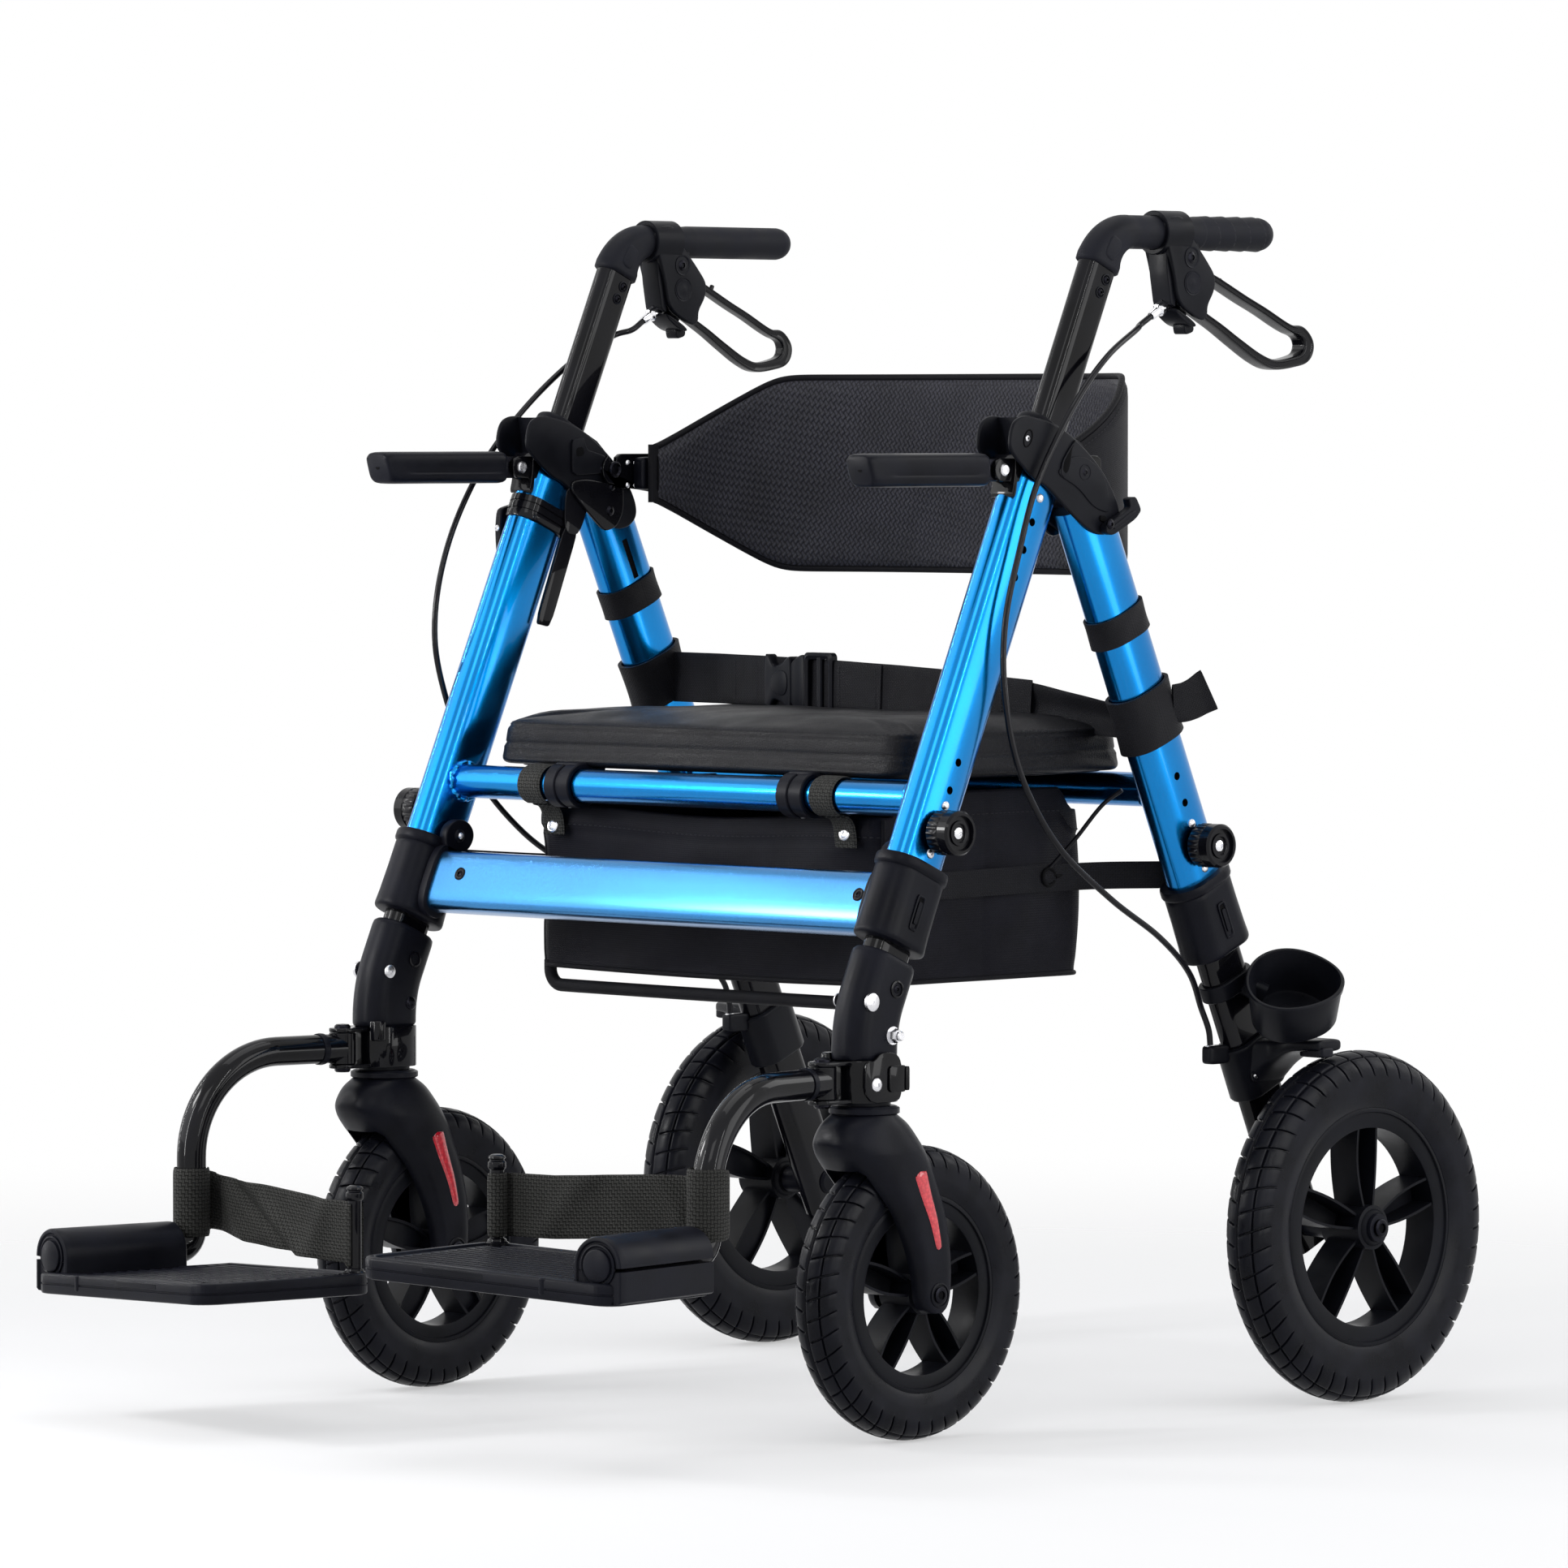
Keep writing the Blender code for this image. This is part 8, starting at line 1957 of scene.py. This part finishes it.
def makeBag():
    # walls: a rounded rectangle lowered from the hem to the floor; every wall bellies out by a half sine
    # of its height, its top sags between its hangers and slanting folds run to the corners
    b, deep = bag, bag["top"] - bag["bottom"]
    plan = roundedPlan(b["halfX"], b["frontY"], b["rearY"], b["corner"], 5, 34)
    middle = np.array([0, (b["frontY"] + b["rearY"]) / 2])
    halves = np.array([b["halfX"], b["rearY"] - middle[1]])
    normal = unit(np.sign(plan - middle) * (np.abs(plan - middle) > halves - b["corner"] * 0.9) + 1e-9)
    v = np.concatenate([np.linspace(0, 0.12, 8), np.linspace(0.15, 0.9, 24), [0.93, 0.96, 0.98, 0.992, 1.0]])
    x, y = plan.T
    frontShare, backShare = ramp(y, b["frontY"] + 0.02, -0.02), ramp(y, b["rearY"] - 0.02, 0.02)
    sideShare = np.clip(1 - frontShare - backShare, 0, 1)
    acrossX, acrossY = ((plan - middle) / halves).T
    # the front and back hang from two hangers each and droop between and beyond them
    droop = (frontShare + backShare) * 0.005 * np.cos(np.clip(acrossX / 0.86, -1.2, 1.2) * pi / 2) ** 2
    # the side walls stand up beside the seat bars and drop to the hem at their ends
    droop += sideShare * (0.002 - 0.019 * np.clip((0.93 - np.abs(acrossY)) * 6, 0, 1))
    rows = []
    for t in v:
        belly = sin(pi * min(t * 1.05, 1)) ** 0.8
        out = frontShare * (
            0.0042 * belly * np.cos(acrossX * pi / 2) ** 0.6 + 0.0013 * np.sin(acrossX * 9 + t * 5)
            - 0.0016 * bell(t, 0.3 + 0.35 * np.abs(acrossX), 0.05)
            + 0.0078 * np.exp(-((np.abs(x) - b["loopX"]) / 0.026) ** 2 - ((t - 0.1) / 0.13) ** 2))
        out = out + backShare * 0.0045 * belly + sideShare * (
            0.003 * belly * (1 - acrossY ** 2) + 0.0016 * np.sin(acrossY * 8 + t * 6 + 1)
            - 0.0012 * bell(y, b["seamY"], 0.0016))
        # the folded hem, and the line pressed in under it
        out = out + 0.0007 * (t < b["hem"] / deep) - 0.0012 * bell(t, b["hem"] / deep + 0.012, 0.01)
        ring = plan + normal * (out * min(1, (1 - t) * 9 + 0.15))[:, None]
        rows.append(spots(*ring.T, b["top"] - t * deep - droop * (1 - t) ** 1.5 - b["sag"] * (1 - acrossX ** 2) * t
            * 0.5))
    edge = rows[-1]
    for k, drop in ((0.985, 0.0012), (0.95, 0.0016), (0.85, 0.002), (0.65, 0.0026), (0.4, 0.0032), (0.15, 0.0034),
                    (0.03, 0.0034)):
        ring = middle + (edge[:, :2] - middle) * k
        rows.append(spots(*ring.T, edge[:, 2] - drop + 0.0006 * np.sin(ring[:, 0] * 60) * (1 - k)))
    grid = np.stack(rows)
    down = np.concatenate([[0], np.cumsum(np.linalg.norm(np.diff(grid, axis=0), axis=2).mean(1))])
    uv = np.stack(np.broadcast_arrays(running(np.vstack([plan, plan[:1]]))[None, :], -down[:, None]), -1)
    points, faces, corners, _ = surface(grid, caps=False, uv=uv)
    ring = (len(grid) - 1) * grid.shape[1] + np.arange(grid.shape[1])
    faces.append(ring.tolist())
    piece = makeMesh("bag_shell", [(points, faces, np.vstack([corners, points[ring][:, :2]]), 0)], "oxford", 60)
    # an open shell: its faces are turned outwards before it gets its wall
    if np.dot(piece.data.polygons[0].normal, np.array(piece.data.polygons[0].center) - [0, middle[1], 0.38]) < 0:
        piece.data.flip_normals()
    wall = piece.modifiers.new("wall", "SOLIDIFY")
    wall.thickness, wall.offset = b["wall"], -1
    applyModifiers(piece)
    foldBag(piece)
    place(piece, "front_frame", ("storage_bag",), "bag_oxford")

    trim = []
    # piping down the front corners and round the floor
    for sx in (1, -1):
        nearest = np.abs(plan[:, 0] * sx - b["halfX"] + 0.002) + np.abs(plan[:, 1] - b["frontY"] - 0.002)
        trim.append(carry(grid[1:len(v), np.argmin(nearest)], roundSection(0.0018, 12), tone=1, uvScale=1))
    trim.append(carry(grid[len(v) - 2][::2], roundSection(0.0019, 10), side=upward, loop=True, tone=1, uvScale=1))
    # the covered rod below the floor, turned up at its ends into the front corners
    edge, y, z = b["halfX"] - b["rodRadius"] - 0.0008, b["frontY"] + b["rodRadius"], b["rodZ"]
    sag = np.linspace(0.03 - edge, edge - 0.03, 24)
    rod = np.vstack([[(-edge, b["bottom"] + 0.004)], arcLine((0.012 - edge, z + 0.012), 0.012, 180, 270, 8),
                     np.column_stack([sag, z - 0.0004 * np.sin(pi * (sag + edge) / (2 * edge))]),
                     arcLine((edge - 0.012, z + 0.012), 0.012, 270, 360, 8), [(edge, b["bottom"] + 0.004)]])
    trim.append(carry(spots(rod[:, 0], y, rod[:, 1]), ovalSection(0.0098, 0.009, 24), side=(0, 1, 0), tone=1,
        uvScale=1))
    # webbing loops round the seat bar with their tabs and snaps
    ring = arcLine(chair["seatBar"], 0.0141, -72, 250, 34)
    ring = np.vstack([smoothLine([ring[0] + [0.0008, 0.0002], ring[0]], 2), ring[1:]])
    tab = smoothLine(pairs(-60, 440.5, -55, 439.2, -51.2, 435, -49, 428, -47.8, 417.5), 4)
    shape = np.repeat(strapSection(b["loopWidth"] * 0.92, 0.0024, 14)[None], 17, 0)
    shape[-1, :, 1] *= 0.95
    out = unit(np.array([0, -0.97, 0.22]))
    for x, snapZ in ((b["loopX"], 0.431), (-b["loopX"], 0.427)):
        snap = np.array([x, -0.0488, snapZ - 0.003]) + out * 0.0006
        trim += [carry(spots(x, *ring.T), strapSection(b["loopWidth"], b["loopWall"] * 0.85, 14), tone=2, uvScale=1),
            carry(spots(x, *tab.T), shape, tone=2, uvScale=1), turned(pairs(-1, 0, -1, 5.6, 0.6, 5.5, 1.2, 4.6, 1,
            3.8, 1.6, 3, 1.8, 1.2, 1, 0.8, 1, 0), snap, out, 32, 3)]
    # an elastic cord's hook, hung on the near side strap
    trim += [carry(spots(0.1875, *arcLine((0.128, 0.3915), 0.0062, 0, 330, 22).T), roundSection(0.0015, 12), tone=1),
             carry(triples(187.5, 134.2, 391.5, 188, 142, 393, 188.5, 145, 390), roundSection(0.0022, 12), tone=1)]
    piece = makeMesh("bag_trim", trim, "oxford piping webbing steel", 45)
    foldBag(piece)
    place(piece, "front_frame", slotName="bag_oxford")
    # stitches under the hem, on all four sides
    level = int(np.argmin(np.abs(v - b["hem"] / deep + 0.01)))
    piece = makeMesh("bag_stitching", [stitchRow(grid[level], spots(*normal.T, 0), 0.005, 0.0034, 0.00036)],
        "thread", 60)
    foldBag(piece)
    place(piece, "front_frame", slotName="bag_oxford")
    # the elastic cord from the rear seat bar to its hook
    line = smoothLine(triples(240, 150, 456, 225, 144, 444, 205, 137, 419, 188, 129, 398.5), 8)
    cord = makeMesh("bag_elastic", [carry(line, roundSection(0.0016, 12))], "sheath")
    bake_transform(cord)
    # the strap along each side, from the bag's front part to the rear leg
    line = smoothLine(triples(233, -66, 394, 208, -47, 392.5, 189, -16, 390.5, 183.6, 22, 388.7, 183.5, 70, 389.5,
        186, 125, 390.5, 201, 170, 391.5, 229, 199, 392, 237.2, 208.5, 392.2), 10)
    for side, sign in sides:
        strap = carry(line * [sign, 1, 1], strapSection(0.02, 0.0016, 12), side=upward, uvScale=1)
        strap = makeMesh(f"bag_side_strap_{side}", [strap], "beltWebbing", 50)
        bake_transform(strap)


def foldBag(piece):
    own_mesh(piece)


makeBag()
print("bag made")


# waist belt and the straps on the legs

belt = {"height": 0.038, "thick": 0.0019, "left": 0.511, "right": 0.53, "rise": -0.001, "bow": 0.012, "arch": 0.005,
        "reach": 0.2366}


def beltSpot(x):
    # the strap's middle line: it arches up by a parabola and bows forward by another
    b, share = belt, x / belt["reach"]
    lift = 1 - share ** 2
    level = (b["left"] * (1 + share) + b["right"] * (1 - share)) / 2 + b["rise"]
    return spots(x, rearY((b["left"] + b["right"]) / 2 + b["rise"]) - b["bow"] * lift, level + b["arch"] * lift)


def legBand(z, height, grow, flare):
    # a ribbon wrapped once round a rear leg, its edges a little loose
    levels, turn, sections = np.linspace(-1, 1, 9), circle(96), []
    for thick, places in ((grow, levels), (0.0004, levels[::-1])):
        for v in places:
            s = squareSection(chair["legDepth"] + 2 * thick + 2 * flare * v * v,
                              chair["legWidth"] + 2 * thick + flare * v * v, 2.45, 96)
            s[:, 1] *= 1 + (0.014 * np.sin(turn * 3 + v * 2) + 0.012 * np.sin(turn * 7 - v * 3)) * (thick == grow)
            sections.append(s)
    around = np.concatenate([levels, levels[::-1]]) * height / 2
    uv = np.stack(np.broadcast_arrays(np.linspace(0, 0.135, 97)[None, :], np.append(around, around[0])[:, None]), -1)
    return surface(roundRear(z + around * cos(legLean), sections), loopRows=True, caps=False, uv=uv)


def makeBelt():
    b = belt
    x = np.linspace(-b["reach"], b["reach"], 121)
    path, share = beltSpot(x), x / b["reach"]
    section = np.repeat(strapSection(b["height"], b["thick"], 20)[None], len(x), 0)
    # towards the near end the strap folds in on itself and tips
    tuck = ramp(share, 0.45, 0.5)
    section[..., 1] *= (1 - 0.34 * tuck ** 1.3)[:, None]
    section[..., 0] += 0.0045 * tuck[:, None] * np.cos(section[..., 1] / b["height"] * 7)
    path[:, 2] -= 0.004 * tuck
    ripple = 0.0011 * np.sin(x * 52)[:, None] * np.sin(section[..., 1] * 60 + 1) + 0.0006 * np.sin(x * 131)[:, None]
    section[..., 0] += ripple * np.clip((1 - np.abs(share)) * 12, 0, 1)[:, None]
    parts = [carry(path, section, side=upward, uvScale=1)]
    # the sewn-back layers on both sides of the buckle
    for low, high, out in ((-0.18, -0.126, -0.0016), (-0.05, 0.0, -0.0016), (0.118, 0.15, -0.0014)):
        parts.append(carry(beltSpot(np.linspace(low, high, 24)) + [0, out, 0], strapSection(b["height"] - 0.002,
            0.0016), side=upward, uvScale=1))
    parts += [legBand(b["left"], 0.042, 0.003, 0.001), mirrored([legBand(b["right"], 0.038, 0.003, 0.001)])]
    # the loose tab of the near loop
    tab = smoothLine(triples(266.2, 176, 519, 269, 185, 520, 270.8, 193, 522.5, 272.5, 200, 526, 275.5, 205, 529), 8)
    shape = np.repeat(strapSection(0.033, 0.0024)[None], len(tab), 0)
    shape[..., 1] *= np.linspace(0.86, 1.0, len(tab))[:, None]
    parts.append(carry(tab, shape, side=unit(np.array([0, -0.35, 1])), uvScale=1))
    for spot in beltSpot(np.array([-0.16, -0.136, -0.044, -0.006, 0.122])):
        column = spots(spot[0], spot[1] - 0.0026, spot[2] + np.linspace(-0.015, 0.015, 12))
        parts.append(stitchRow(column, np.tile([0, -1.0, 0], (12, 1)), 0.003, 0.0022, 0.0004, 0, 1, False))
    dress("belt_webbing", parts, "beltWebbing thread", "rear_frame", ("seat_belt",), "webbing", 50)

    # side-release buckle: the socket with its V-shaped mouth, the prongs, and the slider frame beside it
    socket = pairs(-152, 21.5, -147.5, 21.5, -142.5, 12, -133, 15, -127, 20, -123.5, 20, -123.5, -20, -127, -20,
        -133, -15, -142.5, -12, -147.5, -21.5, -152, -21.5)
    plug = pairs(-126, 15, -115, 21.5, -109, 21.5, -109, -21.5, -115, -21.5, -126, -15)
    slideX, halfSlide = -0.0955, 0.015
    outer = roundedPlan(halfSlide, -0.0235, 0.0235, 0.004, 5, 3) + [slideX, 0]
    inner = roundedPlan(halfSlide - 0.0042, -0.0185, 0.0185, 0.0024, 5, 3) + [slideX, 0]
    loop = [spots(line[:, 0], level, line[:, 1]) for line, level in (
        (outer, -0.0046), (outer, 0.001), (inner, 0.001), (inner, -0.0046), (inner * 0.5 + outer * 0.5, -0.0056))]
    pieces = [pressed(socket, -0.006, 0.004, 0.0016, 2, 0.2, "xz"), pressed(plug, -0.0052, 0.0034, 0.0014, 2, 0.2,
        "xz"), pressed(pairs(-144, 7.5, -127, 11, -127, -11, -144, -7.5), -0.0066, -0.004, plane="xz"),
        surface(np.stack(loop), loopRows=True, caps=False), carry(spots(slideX + 0.001, -0.0032, np.linspace(-0.02,
        0.02, 6)), ovalSection(0.0058, 0.004, 20), side=(0, 1, 0))]
    centre = beltSpot(np.array([-0.086]))[0] - [-0.116, 0, 0]
    dress("belt_buckle", moved(pieces, centre), "nylonSmooth", "rear_frame", (), "moulded_black", 34)
    # hook-and-loop straps round the upper part of the rear legs
    bothSides("leg_strap", lambda side: [legBand(0.578 if side == "left" else 0.593, 0.0215, 0.0019, 0.0004)],
              "beltWebbing", "rear_frame", "webbing", None, 50)


makeBelt()
print("belt and straps made")


# frame nodes that keep their own shape

def dressNodes():
    # a CAD node that is still shown gets the finish of its slot
    bySlot = {"blue_anodised": "blueTube", "gloss_black": "glossTube", "moulded_black": "nylon",
              "gloss_plastic": "glossNylon", "tyre_rubber": "tyre", "grip_rubber": "grip", "webbing": "webbing",
              "leather_black": "leather", "mesh_fabric": "meshCloth", "bag_oxford": "oxford"}
    for name, node in frame["nodes"].items():
        if node.hide_render:
            continue
        for slot in node.material_slots:
            base = slot.material.name.split(".")[0] if slot.material else "moulded_black"
            slot.material = finishes[bySlot.get(base, "nylon")]


dressNodes()
